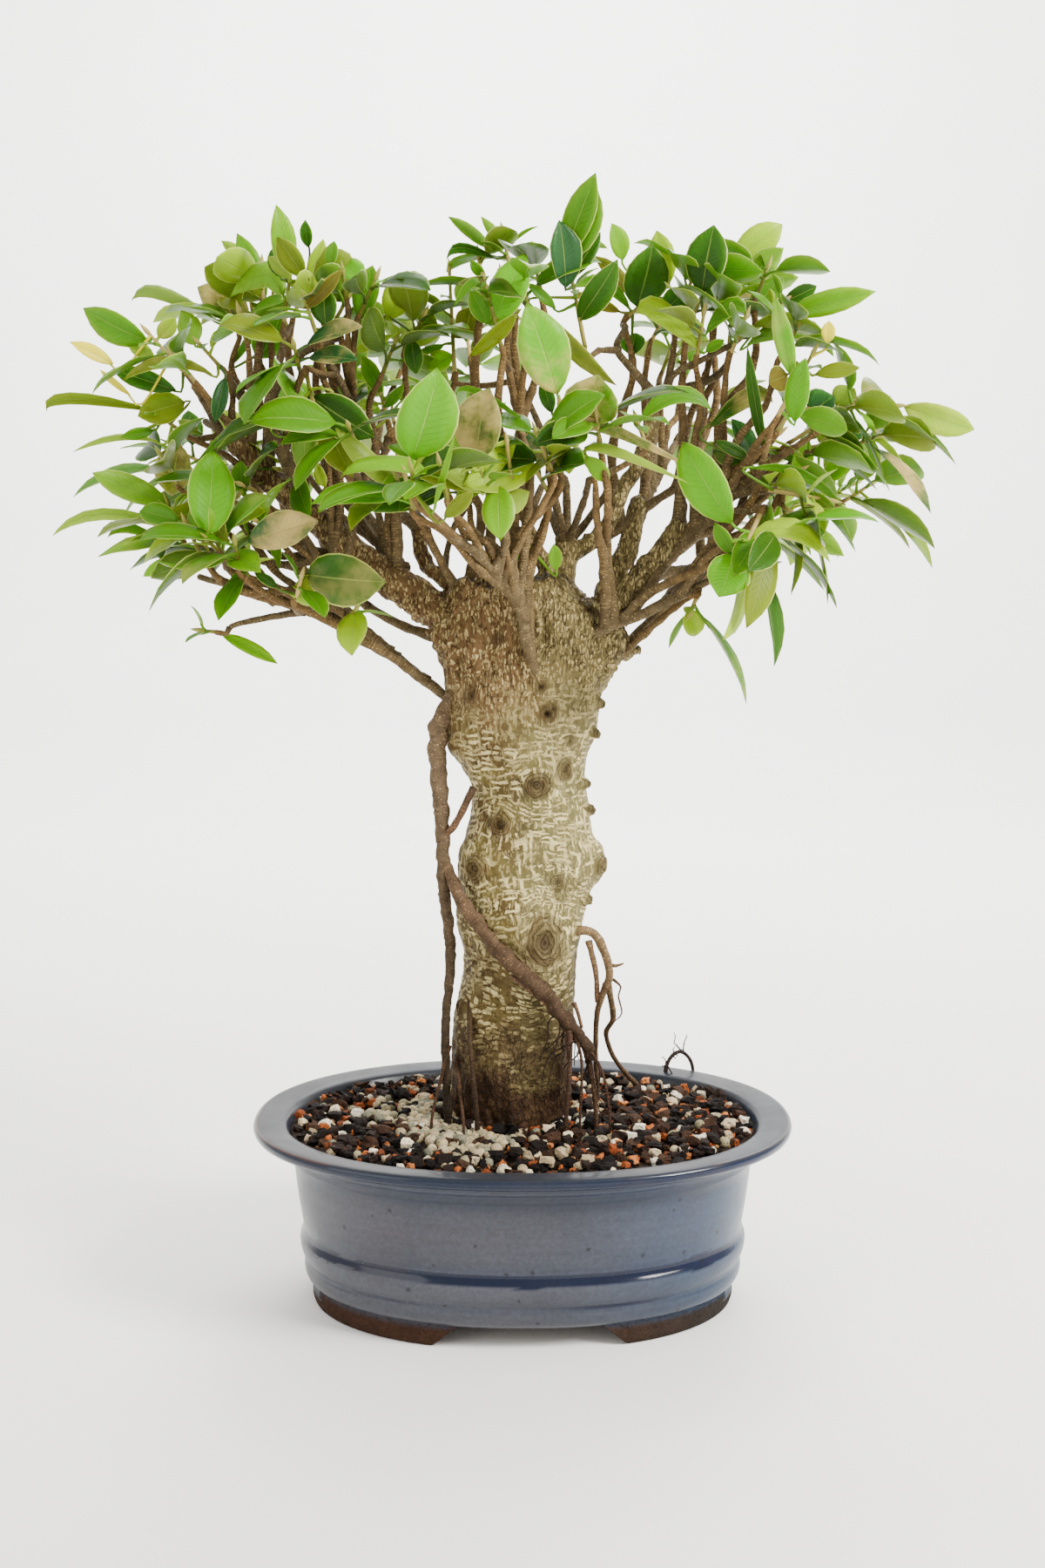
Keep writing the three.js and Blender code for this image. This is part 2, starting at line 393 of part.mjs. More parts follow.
// A closed skin over rings of points: a ring of one point is a pole, and joined rings close on themselves
function loft(rings, joined = false) {
  const positions = [];
  const starts = [];
  for (const ring of rings) {
    starts.push(positions.length / 3);
    for (const point of ring) positions.push(point.x, point.y, point.z);
  }
  const faces = [];
  const spans = joined ? rings.length : rings.length - 1;
  for (let i = 0; i < spans; i += 1) {
    const j = (i + 1) % rings.length;
    const sides = Math.max(rings[i].length, rings[j].length);
    for (let k = 0; k < sides; k += 1) {
      const next = (k + 1) % sides;
      const [a, b] = rings[i].length === 1 ? [starts[i], starts[i]] : [starts[i] + k, starts[i] + next];
      const [c, d] = rings[j].length === 1 ? [starts[j], starts[j]] : [starts[j] + k, starts[j] + next];
      if (a !== b) faces.push(a, b, d);
      if (c !== d) faces.push(a, d, c);
    }
  }
  if (!joined) {
    const last = rings.length - 1;
    for (let k = 1; k < rings[0].length - 1; k += 1) {
      faces.push(starts[0], starts[0] + k + 1, starts[0] + k);
    }
    for (let k = 1; k < rings[last].length - 1; k += 1) {
      faces.push(starts[last], starts[last] + k, starts[last] + k + 1);
    }
  }
  const geometry = new THREE.BufferGeometry();
  geometry.setAttribute("position", new THREE.Float32BufferAttribute(positions, 3));
  geometry.setIndex(faces);
  return geometry;
}

// A three.js geometry as a solid that can be joined and cut
function solidOf(geometry) {
  const bare = geometry.clone();
  bare.deleteAttribute("normal");
  bare.deleteAttribute("uv");
  const merged = mergeVertices(bare, 1e-4);
  const solid = new wasm.Manifold(new wasm.Mesh({
    numProp: 3,
    vertProperties: new Float32Array(merged.attributes.position.array),
    triVerts: new Uint32Array(merged.index.array),
  }));
  return solid.volume() < 0 ? solidOf(flipped(merged)) : solid;
}

function flipped(geometry) {
  const turned = geometry.clone();
  const index = turned.index.array;
  for (let i = 0; i < index.length; i += 3) [index[i + 1], index[i + 2]] = [index[i + 2], index[i + 1]];
  return turned;
}

function joinedAll(solids) {
  let row = solids;
  while (row.length > 1) {
    const next = [];
    for (let i = 0; i < row.length; i += 2) {
      next.push(i + 1 < row.length ? row[i].add(row[i + 1]) : row[i]);
    }
    row = next;
  }
  return row[0];
}

// A cut can leave loose scraps, which are dropped
function largestBody(solid) {
  return solid.decompose().reduce((best, now) => (now.volume() > best.volume() ? now : best));
}

function meshOf(name, solid, material) {
  const { vertProperties, triVerts, numProp } = solid.getMesh();
  const positions = [];
  for (let i = 0; i < vertProperties.length; i += numProp) {
    positions.push(vertProperties[i], vertProperties[i + 1], vertProperties[i + 2]);
  }
  const geometry = new THREE.BufferGeometry();
  geometry.setAttribute("position", new THREE.Float32BufferAttribute(positions, 3));
  geometry.setIndex([...triVerts]);
  geometry.computeVertexNormals();
  const mesh = new THREE.Mesh(geometry, material);
  mesh.name = name;
  return mesh;
}

function finish(colour, roughness, metalness = 0) {
  return new THREE.MeshStandardMaterial({ color: colour, roughness, metalness });
}

// The pot
function ovalRing(halfWidth, height, segments = POT_SEGMENTS) {
  const halfDepth = halfWidth - POT_OVAL;
  const power = 2 / POT_CORNER_POWER;
  return Array.from({ length: segments }, (_, i) => {
    const angle = (2 * Math.PI * i) / segments;
    const [c, s] = [Math.cos(angle), Math.sin(angle)];
    const x = halfWidth * Math.sign(c) * Math.abs(c) ** power;
    const y = halfDepth * Math.sign(s) * Math.abs(s) ** power;
    return new THREE.Vector3(x, y, height);
  });
}

function potSolid() {
  const rings = [...POT_WALL_OUTSIDE, ...POT_WALL_INSIDE].map(([half, height]) => ovalRing(half, height));
  const bowl = solidOf(loft(rings));
  const ring = solidOf(loft(FOOT_RING.map(([half, height]) => ovalRing(half, height)), true));
  const arch = new THREE.Shape([
    new THREE.Vector2(-ARCH_HALF_WIDTH_LOW, -1),
    new THREE.Vector2(ARCH_HALF_WIDTH_LOW, -1),
    new THREE.Vector2(ARCH_HALF_WIDTH_HIGH, POT_UNDERSIDE),
    new THREE.Vector2(-ARCH_HALF_WIDTH_HIGH, POT_UNDERSIDE),
  ]);
  const cutter = new THREE.ExtrudeGeometry(arch, { depth: ARCH_CUT_DEPTH, bevelEnabled: false });
  cutter.rotateX(Math.PI / 2);
  cutter.translate(ARCH_SHIFT, ARCH_CUT_DEPTH / 2, 0);
  let pot = bowl.add(ring.subtract(solidOf(cutter)));
  for (const side of [-1, 1]) {
    const drain = new THREE.CylinderGeometry(DRAIN_RADIUS, DRAIN_RADIUS, DRAIN_CUT_HEIGHT, DRAIN_SIDES);
    drain.rotateX(Math.PI / 2);
    drain.translate(side * DRAIN_SPACING, 0, (POT_FLOOR + POT_UNDERSIDE) / 2);
    pot = pot.subtract(solidOf(drain));
  }
  return pot;
}

function screenSolid(side) {
  const cell = (SCREEN_SIDE - SCREEN_BAR * (SCREEN_CELLS + 1)) / SCREEN_CELLS;
  const middle = (SCREEN_CELLS - 1) / 2;
  let screen = solidOf(new THREE.BoxGeometry(SCREEN_SIDE, SCREEN_SIDE, SCREEN_THICKNESS));
  for (let column = 0; column < SCREEN_CELLS; column += 1) {
    for (let row = 0; row < SCREEN_CELLS; row += 1) {
      const opening = new THREE.BoxGeometry(cell, cell, 3 * SCREEN_THICKNESS);
      opening.translate((column - middle) * (cell + SCREEN_BAR), (row - middle) * (cell + SCREEN_BAR), 0);
      screen = screen.subtract(solidOf(opening));
    }
  }
  return screen.translate([side * DRAIN_SPACING, 0, POT_FLOOR + GAP + SCREEN_THICKNESS / 2]);
}

// Wood
function sidesFor(thickness) {
  if (thickness > 14) return 6;
  if (thickness > 9.5) return 5;
  return thickness > 5.6 ? 4 : 3;
}

// A tapered tube through points, with a half thickness for each
function tubeSolid(points, halves, sides) {
  let across = null;
  const rings = points.map((point, i) => {
    const along = new THREE.Vector3()
      .subVectors(points[Math.min(i + 1, points.length - 1)], points[Math.max(i - 1, 0)]).normalize();
    const seed = across ?? (Math.abs(along.z) < 0.9 ? up : new THREE.Vector3(1, 0, 0));
    across = seed.clone().addScaledVector(along, -seed.dot(along)).normalize();
    const other = new THREE.Vector3().crossVectors(along, across);
    return Array.from({ length: sides }, (_, k) => {
      const angle = (2 * Math.PI * k) / sides;
      return point.clone()
        .addScaledVector(across, Math.cos(angle) * halves[i])
        .addScaledVector(other, Math.sin(angle) * halves[i]);
    });
  });
  return solidOf(loft(rings));
}

function evenTaper(count, first, last) {
  return Array.from({ length: count }, (_, i) => (first + ((last - first) * i) / (count - 1)) / 2);
}

// The first ring is hidden in what the tube grows from, so it is slim enough to stay inside
function sunk([first, ...rest]) {
  return [first * SUNK_ROOT_SHARE, ...rest];
}

function trunkRings(extra) {
  const rows = TRUNK_SILHOUETTE.map(([h, left, right]) => {
    const [a, b] = [seen(left, h, 0), seen(right, h, 0)];
    return { middle: (a.x + b.x) / 2, half: (b.x - a.x) / 2, height: a.z };
  });
  const foot = rows[0];
  const buried = TRUNK_BURIED.map(([height, share]) => (
    { middle: foot.middle, half: foot.half * share, height }
  ));
  return [...buried.reverse(), ...rows].map(({ middle, half, height }, row) => {
    const halfDepth = Math.min(half * TRUNK_DEPTH_RATIO, TRUNK_MOST_HALF_DEPTH);
    return Array.from({ length: TRUNK_SIDES }, (_, k) => {
      const angle = (2 * Math.PI * k) / TRUNK_SIDES;
      const lump = 1 + TRUNK_LUMPS * Math.sin(3 * angle + height / TRUNK_LUMP_PITCH) * Math.sin(angle) ** 2;
      const x = middle + Math.cos(angle) * (half * lump + extra);
      const lower = row === 0 ? extra : 0;
      return new THREE.Vector3(x, Math.sin(angle) * (halfDepth * lump + extra), height - lower);
    });
  });
}

// A knot sits on the trunk's front, pointing away from the trunk's middle
function knotSolid([x, h, radius, height]) {
  const nearer = (best, now) => (Math.abs(now[0] - h) < Math.abs(best[0] - h) ? now : best);
  const [, left, right] = TRUNK_SILHOUETTE.reduce(nearer);
  const half = (right - left) / 2;
  const share = THREE.MathUtils.clamp((x - (left + right) / 2) / half, -1, 1);
  const halfDepth = Math.min(half * TRUNK_DEPTH_RATIO, TRUNK_MOST_HALF_DEPTH);
  const out = new THREE.Vector3(share, -Math.sqrt(1 - share ** 2), 0);
  const knob = new THREE.IcosahedronGeometry(radius, 0);
  knob.scale(1, 1, height / radius + 0.5);
  knob.applyQuaternion(new THREE.Quaternion().setFromUnitVectors(up, out));
  const place = seen(x, h, halfDepth * out.y).addScaledVector(out, -radius / 2);
  knob.translate(place.x, place.y, place.z);
  return solidOf(knob);
}

function rootPath({ points, thickness, inSoil }, extra) {
  const path = points.map(([x, h, depth]) => seen(x, h, depth));
  const halves = thickness.map((value) => value / 2 + extra);
  if (inSoil) {
    const end = path[path.length - 1];
    path.push(new THREE.Vector3(end.x, end.y, ROOT_BURIED_HEIGHT - extra));
    halves.push(halves[halves.length - 1]);
  }
  return { path, halves };
}

// Points along all hand-drawn wood, from which twigs start
function woodPoints() {
  const found = [];
  for (const [points, first, last] of BRANCHES) {
    const path = points.map(([x, h, depth]) => seen(x, h, depth));
    const halves = evenTaper(path.length, first, last);
    for (let i = 0; i < path.length - 1; i += 1) {
      for (const share of [0, 0.25, 0.5, 0.75]) {
        found.push({
          place: path[i].clone().lerp(path[i + 1], share),
          half: halves[i] + (halves[i + 1] - halves[i]) * share,
        });
      }
    }
    found.push({ place: path[path.length - 1], half: halves[halves.length - 1] });
  }
  return found;
}

// The twig that carries a spray: it leaves the nearest wood, likes to climb, and ends in line with the shoot
function twigSolid(start, direction, places) {
  const turn = start.clone().addScaledVector(direction, -TWIG_LAST_STRETCH);
  const cost = ({ place }) => place.distanceTo(turn) + Math.max(0, place.z - turn.z) * TWIG_CLIMB_COST;
  const from = places.reduce((best, now) => (cost(now) < cost(best) ? now : best));
  const reach = from.place.distanceTo(turn);
  const path = [from.place];
  const halves = [Math.min(from.half, TWIG_THICKNESS / 2 + reach * TWIG_THICKENING) * SUNK_ROOT_SHARE];
  if (reach > TWIG_BENDS_FROM) {
    path.push(from.place.clone().lerp(turn, 0.5).addScaledVector(up, -reach * TWIG_SAG));
    halves.push(TWIG_THICKNESS / 2);
  }
  path.push(turn, start);
  halves.push(TWIG_THICKNESS / 2, TWIG_THICKNESS / 2);
  return tubeSolid(path, halves, 3);
}

function woodSolid(shoots) {
  const parts = [solidOf(loft(trunkRings(0))), ...TRUNK_KNOTS.map(knotSolid)];
  for (const [points, first, last] of BRANCHES) {
    const path = points.map(([x, h, depth]) => seen(x, h, depth));
    parts.push(tubeSolid(path, sunk(evenTaper(path.length, first, last)), sidesFor((first + last) / 2)));
  }
  for (const root of AERIAL_ROOTS) {
    const { path, halves } = rootPath(root, 0);
    parts.push(tubeSolid(path, sunk(halves), sidesFor(2 * halves[0])));
  }
  const places = woodPoints();
  for (const { start, direction } of shoots) parts.push(twigSolid(start, direction, places));
  return joinedAll(parts);
}

// Soil
function soilHeight(x, y, share) {
  const relief = Math.sin(x / 5.1 + 2 * Math.sin(y / 7)) * Math.cos(y / 4.3 + Math.sin(x / 9));
  return SOIL_EDGE_HEIGHT + SOIL_MOUND * (1 - share ** 2) + SOIL_RELIEF * relief;
}

function soilSolid() {
  const inner = POT_WALL_INSIDE.slice(1).map(([half, height]) => [half - SOIL_WALL_GAP, height]).reverse();
  const [rimHalf, rimHeight] = POT_WALL_INSIDE[0];
  const [wallHalf, wallHeight] = POT_WALL_INSIDE[1];
  const edgeShare = (SOIL_EDGE_HEIGHT - wallHeight) / (rimHeight - wallHeight);
  const edgeHalf = wallHalf + (rimHalf - wallHalf) * edgeShare - SOIL_WALL_GAP;
  inner[0] = [inner[0][0], POT_FLOOR + GAP];
  const sides = [...inner, [edgeHalf, SOIL_EDGE_HEIGHT]].map(([half, height]) => ovalRing(half, height));
  const rim = sides[sides.length - 1];
  const top = [...SOIL_RINGS].reverse().map((share) => rim.map((point) => {
    const [x, y] = [point.x * share, point.y * share];
    return new THREE.Vector3(x, y, soilHeight(x, y, share));
  }));
  const pole = [new THREE.Vector3(0, 0, soilHeight(0, 0, 0))];
  let soil = solidOf(loft([...sides, ...top, pole]));
  soil = joinedAll([soil, ...granules(edgeHalf), rootLoop()]);
  const holes = [solidOf(loft(trunkRings(STEM_HOLE_GAP)))];
  for (const root of AERIAL_ROOTS.filter(({ inSoil }) => inSoil)) {
    const { path, halves } = rootPath(root, STEM_HOLE_GAP);
    holes.push(tubeSolid(path, halves, sidesFor(2 * (halves[0] - STEM_HOLE_GAP))));
  }
  for (const side of [-1, 1]) {
    const recess = new THREE.BoxGeometry(SCREEN_SIDE + 1, SCREEN_SIDE + 1, 2 * (SCREEN_THICKNESS + 2 * GAP));
    recess.translate(side * DRAIN_SPACING, 0, POT_FLOOR);
    holes.push(solidOf(recess));
  }
  return largestBody(soil.subtract(joinedAll(holes)));
}

// Coarse lumps sunk in the soil, placed by a golden spiral
function granules(edgeHalf) {
  const row = new SeededRow(GRANULE_SEED);
  return Array.from({ length: GRANULE_COUNT }, (_, i) => {
    const share = Math.sqrt((i + GRANULE_FIRST) / (GRANULE_COUNT + GRANULE_FIRST)) * GRANULE_SPREAD;
    const angle = i * GOLDEN_TURN;
    const [x, y] = [edgeHalf * share * Math.cos(angle), (edgeHalf - POT_OVAL) * share * Math.sin(angle)];
    const radius = row.between(...GRANULE_RADIUS);
    const lump = new THREE.OctahedronGeometry(radius, 0);
    lump.scale(1, 1, 0.8);
    lump.rotateX(row.between(0, 1.2));
    lump.rotateZ(row.between(0, 3));
    lump.translate(x, y, soilHeight(x, y, share));
    return solidOf(lump);
  });
}

function rootLoop() {
  const path = ROOT_LOOP.map(([x, h, depth]) => seen(x, h, depth));
  path[0].z -= ROOT_LOOP_SUNK;
  path[path.length - 1].z -= ROOT_LOOP_SUNK;
  return tubeSolid(path, evenTaper(path.length, ...ROOT_LOOP_THICKNESS), 4);
}

// Leaves
function along(path, share) {
  const lengths = path.slice(1).map((point, i) => point.distanceTo(path[i]));
  let left = share * lengths.reduce((sum, length) => sum + length, 0);
  for (let i = 0; i < lengths.length; i += 1) {
    if (left <= lengths[i] || i === lengths.length - 1) {
      return path[i].clone().lerp(path[i + 1], left / lengths[i]);
    }
    left -= lengths[i];
  }
  return path[0].clone();
}

function nearestOn(path, point) {
  const [first, last] = ROOT_SHARES;
  const step = (last - first) / (ROOT_CHOICES - 1);
  const places = Array.from({ length: ROOT_CHOICES }, (_, i) => along(path, first + step * i));
  return places.reduce((best, now) => (now.distanceTo(point) < best.distanceTo(point) ? now : best));
}

// One leaf from its root on the shoot: petiole ring, blade base, stations and tip
function leafForm({ root, base, tip, side, face, halfWidth, middle }) {
  const bend = middle ?? base.clone().lerp(tip, 0.5).addScaledVector(face, BLADE_BOW * base.distanceTo(tip));
  return { root, base, tip, side, face, halfWidth, bend };
}

function bladePoint({ base, tip, bend }, t) {
  return base.clone().multiplyScalar((1 - t) ** 2)
    .addScaledVector(bend, 2 * t * (1 - t)).addScaledVector(tip, t ** 2);
}

function bladeTangent({ base, tip, bend }, t) {
  return bend.clone().sub(base).multiplyScalar(1 - t)
    .add(tip.clone().sub(bend).multiplyScalar(t)).normalize();
}

// A three-sided section: two edges and the rib below them
function section(centre, direction, side, halfWidth, lift, keel) {
  const across = side.clone().addScaledVector(direction, -side.dot(direction)).normalize();
  const face = new THREE.Vector3().crossVectors(across, direction);
  const edge = (way) => centre.clone().addScaledVector(across, way * halfWidth).addScaledVector(face, lift);
  return [edge(1), edge(-1), centre.clone().addScaledVector(face, -keel)];
}

function bladeRings(leaf, extra) {
  const stations = leaf.halfWidth * 2 > BROAD_FROM_WIDTH ? BROAD_STATIONS : SLIM_STATIONS;
  return stations.map(([t, share]) => section(bladePoint(leaf, t), bladeTangent(leaf, t), leaf.side,
    leaf.halfWidth * share + extra, extra, BLADE_KEEL + extra));
}

function hasPetiole(leaf) {
  return leaf.root.distanceTo(leaf.base) > SHORT_PETIOLE;
}

function petioleRing(leaf, share, extra) {
  const end = hasPetiole(leaf) ? leaf.base : bladePoint(leaf, 0.2);
  const direction = end.clone().sub(leaf.root).normalize();
  const [first, last] = PETIOLE_HALF_THICKNESS;
  const half = first + (last - first) * share + extra;
  return section(leaf.root.clone().lerp(leaf.base, share), direction, leaf.side, half, half / 2, half);
}

function leafSolid(leaf) {
  const petiole = hasPetiole(leaf) ? [0, 1] : [0];
  const stalk = petiole.map((share) => petioleRing(leaf, share, 0));
  return solidOf(loft([...stalk, ...bladeRings(leaf, 0), [leaf.tip]]));
}

function bladeProbe(leaf) {
  return solidOf(loft([[bladePoint(leaf, 0.04)], ...bladeRings(leaf, LEAF_CLEARANCE), [leaf.tip]]));
}

function petioleProbe(leaf) {
  return solidOf(loft([petioleRing(leaf, 0.1, LEAF_CLEARANCE), petioleRing(leaf, 1, LEAF_CLEARANCE)]));
}

// Everything that a new leaf has to stay clear of
class Thicket {
  constructor() {
    this.pieces = [];
  }

  add(solid, spray, kind) {
    const { min, max } = solid.boundingBox();
    const box = new THREE.Box3(new THREE.Vector3(...min), new THREE.Vector3(...max));
    this.pieces.push({ solid, box, spray, kind });
  }

  touches(probe, ignored) {
    const { min, max } = probe.boundingBox();
    const box = new THREE.Box3(new THREE.Vector3(...min), new THREE.Vector3(...max));
    return this.pieces.some((piece) => !ignored(piece) && piece.box.intersectsBox(box)
      && !piece.solid.intersect(probe).isEmpty());
  }

  fits(leaf, spray) {
    const ownStem = (piece) => piece.spray === spray && piece.kind !== "blade";
    if (this.touches(bladeProbe(leaf), ownStem)) return false;
    return !this.touches(petioleProbe(leaf), (piece) => piece.spray === spray);
  }

  grow(leaf, spray) {
    const blade = loft([[bladePoint(leaf, 0.02)], ...bladeRings(leaf, 0), [leaf.tip]]);
    this.add(solidOf(blade), spray, "blade");
    this.add(solidOf(loft([petioleRing(leaf, 0, 0), petioleRing(leaf, 1, 0)])), spray, "petiole");
  }
}

// A leaf read from the sketch, at one of the depths that it may take
function readLeaf(row, shoot, tilt, roll, step) {
  const [bx, bh, tx, th, width, mx, mh] = row;
  const depth = nearestOn(shoot, seen(bx, bh, shoot[0].y)).y + step;
  const length = Math.hypot(tx - bx, th - bh);
  const base = seen(bx, bh, depth);
  const tip = seen(tx, th, depth + tilt * length);
  const midrib = tip.clone().sub(base).normalize();
  const toEye = EYE.clone().sub(base).normalize();
  const across = new THREE.Vector3().crossVectors(midrib, toEye).normalize().applyAxisAngle(midrib, roll);
  const side = across.clone().multiplyScalar(Math.sign(width));
  const face = new THREE.Vector3().crossVectors(side, midrib);
  const scale = (depth - EYE.y) / -EYE.y / Math.cos(roll) / 2;
  const halfWay = depth + (tilt * length) / 2;
  const middle = mx === undefined ? undefined : bendThrough(base, tip, seen(mx, mh, halfWay));
  const root = nearestOn(shoot, base);
  return leafForm({ root, base, tip, side, face, halfWidth: Math.abs(width) * scale, middle });
}

// The control point that takes a curve through a middle point
function bendThrough(base, tip, middle) {
  return middle.clone().multiplyScalar(2).addScaledVector(base, -0.5).addScaledVector(tip, -0.5);
}

// A leaf that grows by rule at its turn round the shoot
function ruleLeaf(shoot, order, count, turn, length) {
  const [first, last] = RULE_ROOT_SHARES;
  const root = along(shoot, first + ((last - first) * (order + 0.5)) / count);
  const stem = shoot[shoot.length - 1].clone().sub(shoot[0]).normalize();
  const upright = Math.abs(stem.z) > 0.9;
  const flat = new THREE.Vector3().crossVectors(stem, upright ? new THREE.Vector3(1, 0, 0) : up);
  const outward = flat.normalize().applyAxisAngle(stem, order * GOLDEN_TURN + turn);
  const way = stem.clone().multiplyScalar(Math.cos(RULE_LEAN)).addScaledVector(outward, Math.sin(RULE_LEAN));
  const base = root.clone().addScaledVector(way, RULE_PETIOLE);
  const tip = base.clone().addScaledVector(way, length).addScaledVector(up, -RULE_DROOP * length);
  const midrib = tip.clone().sub(base).normalize();
  const level = new THREE.Vector3().crossVectors(midrib, up);
  const side = (level.length() < 0.2 ? outward.clone() : level).normalize();
  const face = new THREE.Vector3().crossVectors(side, midrib);
  return leafForm({ root, base, tip, side, face, halfWidth: (length * RULE_WIDTH_RATIO) / 2 });
}

// Assembly
function shootOf(spray) {
  const path = spray.shoot.map(([x, h, depth]) => seen(x, h, depth));
  const start = path[0].clone();
  const direction = path[1].clone().sub(path[0]).normalize();
  path[0].addScaledVector(direction, GAP);
  const halves = evenTaper(path.length, ...SHOOT_THICKNESS);
  return { spray, path, start, direction, solid: tubeSolid(path, halves, 3) };
}

function growSprays(shoots, wood) {
  const thicket = new Thicket();
  thicket.add(wood, "wood", "wood");
  for (const { spray, solid } of shoots) thicket.add(solid, spray, "shoot");
  const parts = new Map(shoots.map(({ spray, solid }) => [spray, [solid]]));
  const take = (spray, choices) => {
    const leaf = choices.find((choice) => thicket.fits(choice, spray));
    if (!leaf) return;
    thicket.grow(leaf, spray);
    parts.get(spray).push(leafSolid(leaf));
  };
  const row = new SeededRow(LEAF_SEED);
  for (const { spray, path } of shoots) {
    for (const leaf of spray.leaves) {
      const tilt = row.between(...TIP_TILT);
      const roll = row.between(-BLADE_ROLL, BLADE_ROLL);
      const places = DEPTH_STEPS.flatMap((step) => [[step, roll], [step, -roll]]);
      take(spray, places.map(([step, turn]) => readLeaf(leaf, path, tilt, turn, step)));
    }
  }
  shoots.forEach(({ spray, path }, index) => {
    const count = spray.leaves.length ? RULE_LEAVES_FRONT[index % 2] : RULE_LEAVES_BACK;
    const first = spray.leaves.length ? BACKWARD_TURN : 0;
    for (let order = 0; order < count; order += 1) {
      const length = row.between(...RULE_LENGTH);
      take(spray, TURN_STEPS.map((turn) => ruleLeaf(path, order, count, first + turn, length)));
    }
  });
  return parts;
}

function leafMaterial(index) {
  const hue = LEAF_HUE + 0.03 * Math.sin(index * 2.4);
  const lightness = LEAF_LIGHTNESS + 0.06 * Math.sin(index * 1.7);
  return finish(new THREE.Color().setHSL(hue, 0.5, lightness), 0.45);
}

const bonsai = new THREE.Group();
bonsai.position.set(...POT_PLACE);
bonsai.add(meshOf("pot", potSolid(), finish(GLAZE_COLOUR, 0.25, 0.2)));
bonsai.add(meshOf("drain_screen_left", screenSolid(-1), finish(SCREEN_COLOUR, 0.6)));
bonsai.add(meshOf("drain_screen_right", screenSolid(1), finish(SCREEN_COLOUR, 0.6)));
bonsai.add(meshOf("soil", soilSolid(), finish(SOIL_COLOUR, 0.95)));

const shoots = SPRAYS.map(shootOf);
const wood = woodSolid(shoots);
bonsai.add(meshOf("trunk_and_branches", wood, finish(BARK_COLOUR, 0.8)));
[...growSprays(shoots, wood)].forEach(([spray, solids], index) => {
  bonsai.add(meshOf(`leaf_spray_${spray.name}`, largestBody(joinedAll(solids)), leafMaterial(index)));
});

export default bonsai;
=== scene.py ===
"""The looks of a tiger bark ficus bonsai in its oval glazed pot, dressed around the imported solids.

The tree is drawn as its solids are, in millimetres on a sketch that lies across the sight line, and
each leaf takes the place that its own solid has. Pieces are turned into metres when they are made.
"""
from __future__ import annotations
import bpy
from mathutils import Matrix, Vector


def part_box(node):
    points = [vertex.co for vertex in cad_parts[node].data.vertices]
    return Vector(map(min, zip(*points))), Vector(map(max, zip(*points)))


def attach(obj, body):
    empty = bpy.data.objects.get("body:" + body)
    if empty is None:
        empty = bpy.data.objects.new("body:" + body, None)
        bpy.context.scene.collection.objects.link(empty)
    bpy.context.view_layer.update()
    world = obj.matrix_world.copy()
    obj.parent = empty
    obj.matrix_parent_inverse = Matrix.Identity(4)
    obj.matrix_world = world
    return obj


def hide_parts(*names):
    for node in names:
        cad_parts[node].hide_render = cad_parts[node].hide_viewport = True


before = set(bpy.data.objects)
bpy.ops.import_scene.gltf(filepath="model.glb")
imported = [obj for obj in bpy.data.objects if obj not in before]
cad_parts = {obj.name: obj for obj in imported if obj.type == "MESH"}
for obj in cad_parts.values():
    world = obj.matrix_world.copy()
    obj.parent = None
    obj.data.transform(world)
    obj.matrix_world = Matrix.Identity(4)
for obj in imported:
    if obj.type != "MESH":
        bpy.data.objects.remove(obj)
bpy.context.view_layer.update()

import inspect
import logging
import math
from dataclasses import dataclass
from enum import Enum
from typing import Any, Callable, Iterable, Sequence

import bpy
import numpy as np

BODY = "root"
MM = 0.001
UP = np.array((0.0, 0.0, 1.0))
GOLDEN_TURN = math.radians(137.5)
WHITE = (1.0, 1.0, 1.0, 1.0)
KNOT_REACH = 3.0  # in radii of the knot

Array = np.ndarray
Material = bpy.types.Material
Piece = bpy.types.Object
Point = tuple[float, ...]
log = logging.getLogger("bonsai")


def unit(vector: Array) -> Array:
    """Return the vector at length one."""
    return vector / np.linalg.norm(vector)


def turned(vector: Array, axis: Array, angle: float) -> Array:
    """Turn a vector round an axis.

    Args:
        vector: The vector.
        axis: The axis, of length one.
        angle: The angle, in radians.

    Returns:
        The turned vector.
    """
    cross = np.cross(axis, vector)
    c, s = math.cos(angle), math.sin(angle)
    return vector * c + cross * s + axis * axis.dot(vector) * (1 - c)


def smoothstep(low: float, high: float, value: Array) -> Array:
    """Rise smoothly from 0 at low to 1 at high."""
    share = np.clip((value - low) / (high - low), 0.0, 1.0)
    return share * share * (3 - 2 * share)


def linear(colour: Sequence[float]) -> tuple[float, float, float, float]:
    """Turn a screen colour of 0 to 255 into the linear colour with alpha that shaders use."""
    shares = (channel / 255 for channel in colour)
    return (*(s / 12.92 if s < 0.04045 else ((s + 0.055) / 1.055) ** 2.4 for s in shares), 1.0)


class SeededRow:
    """Numbers drawn from a seed, the same on every run and the same as the solids drew.

    Args:
        seed: The first state.
    """

    def __init__(self, seed: int) -> None:
        """Start the row at its seed."""
        self.state = seed

    def between(self, low: float, high: float) -> float:
        """Draw the next number between low and high."""
        self.state = self.state * 16807 % 2147483647
        return low + (high - low) * (self.state / 2147483647)


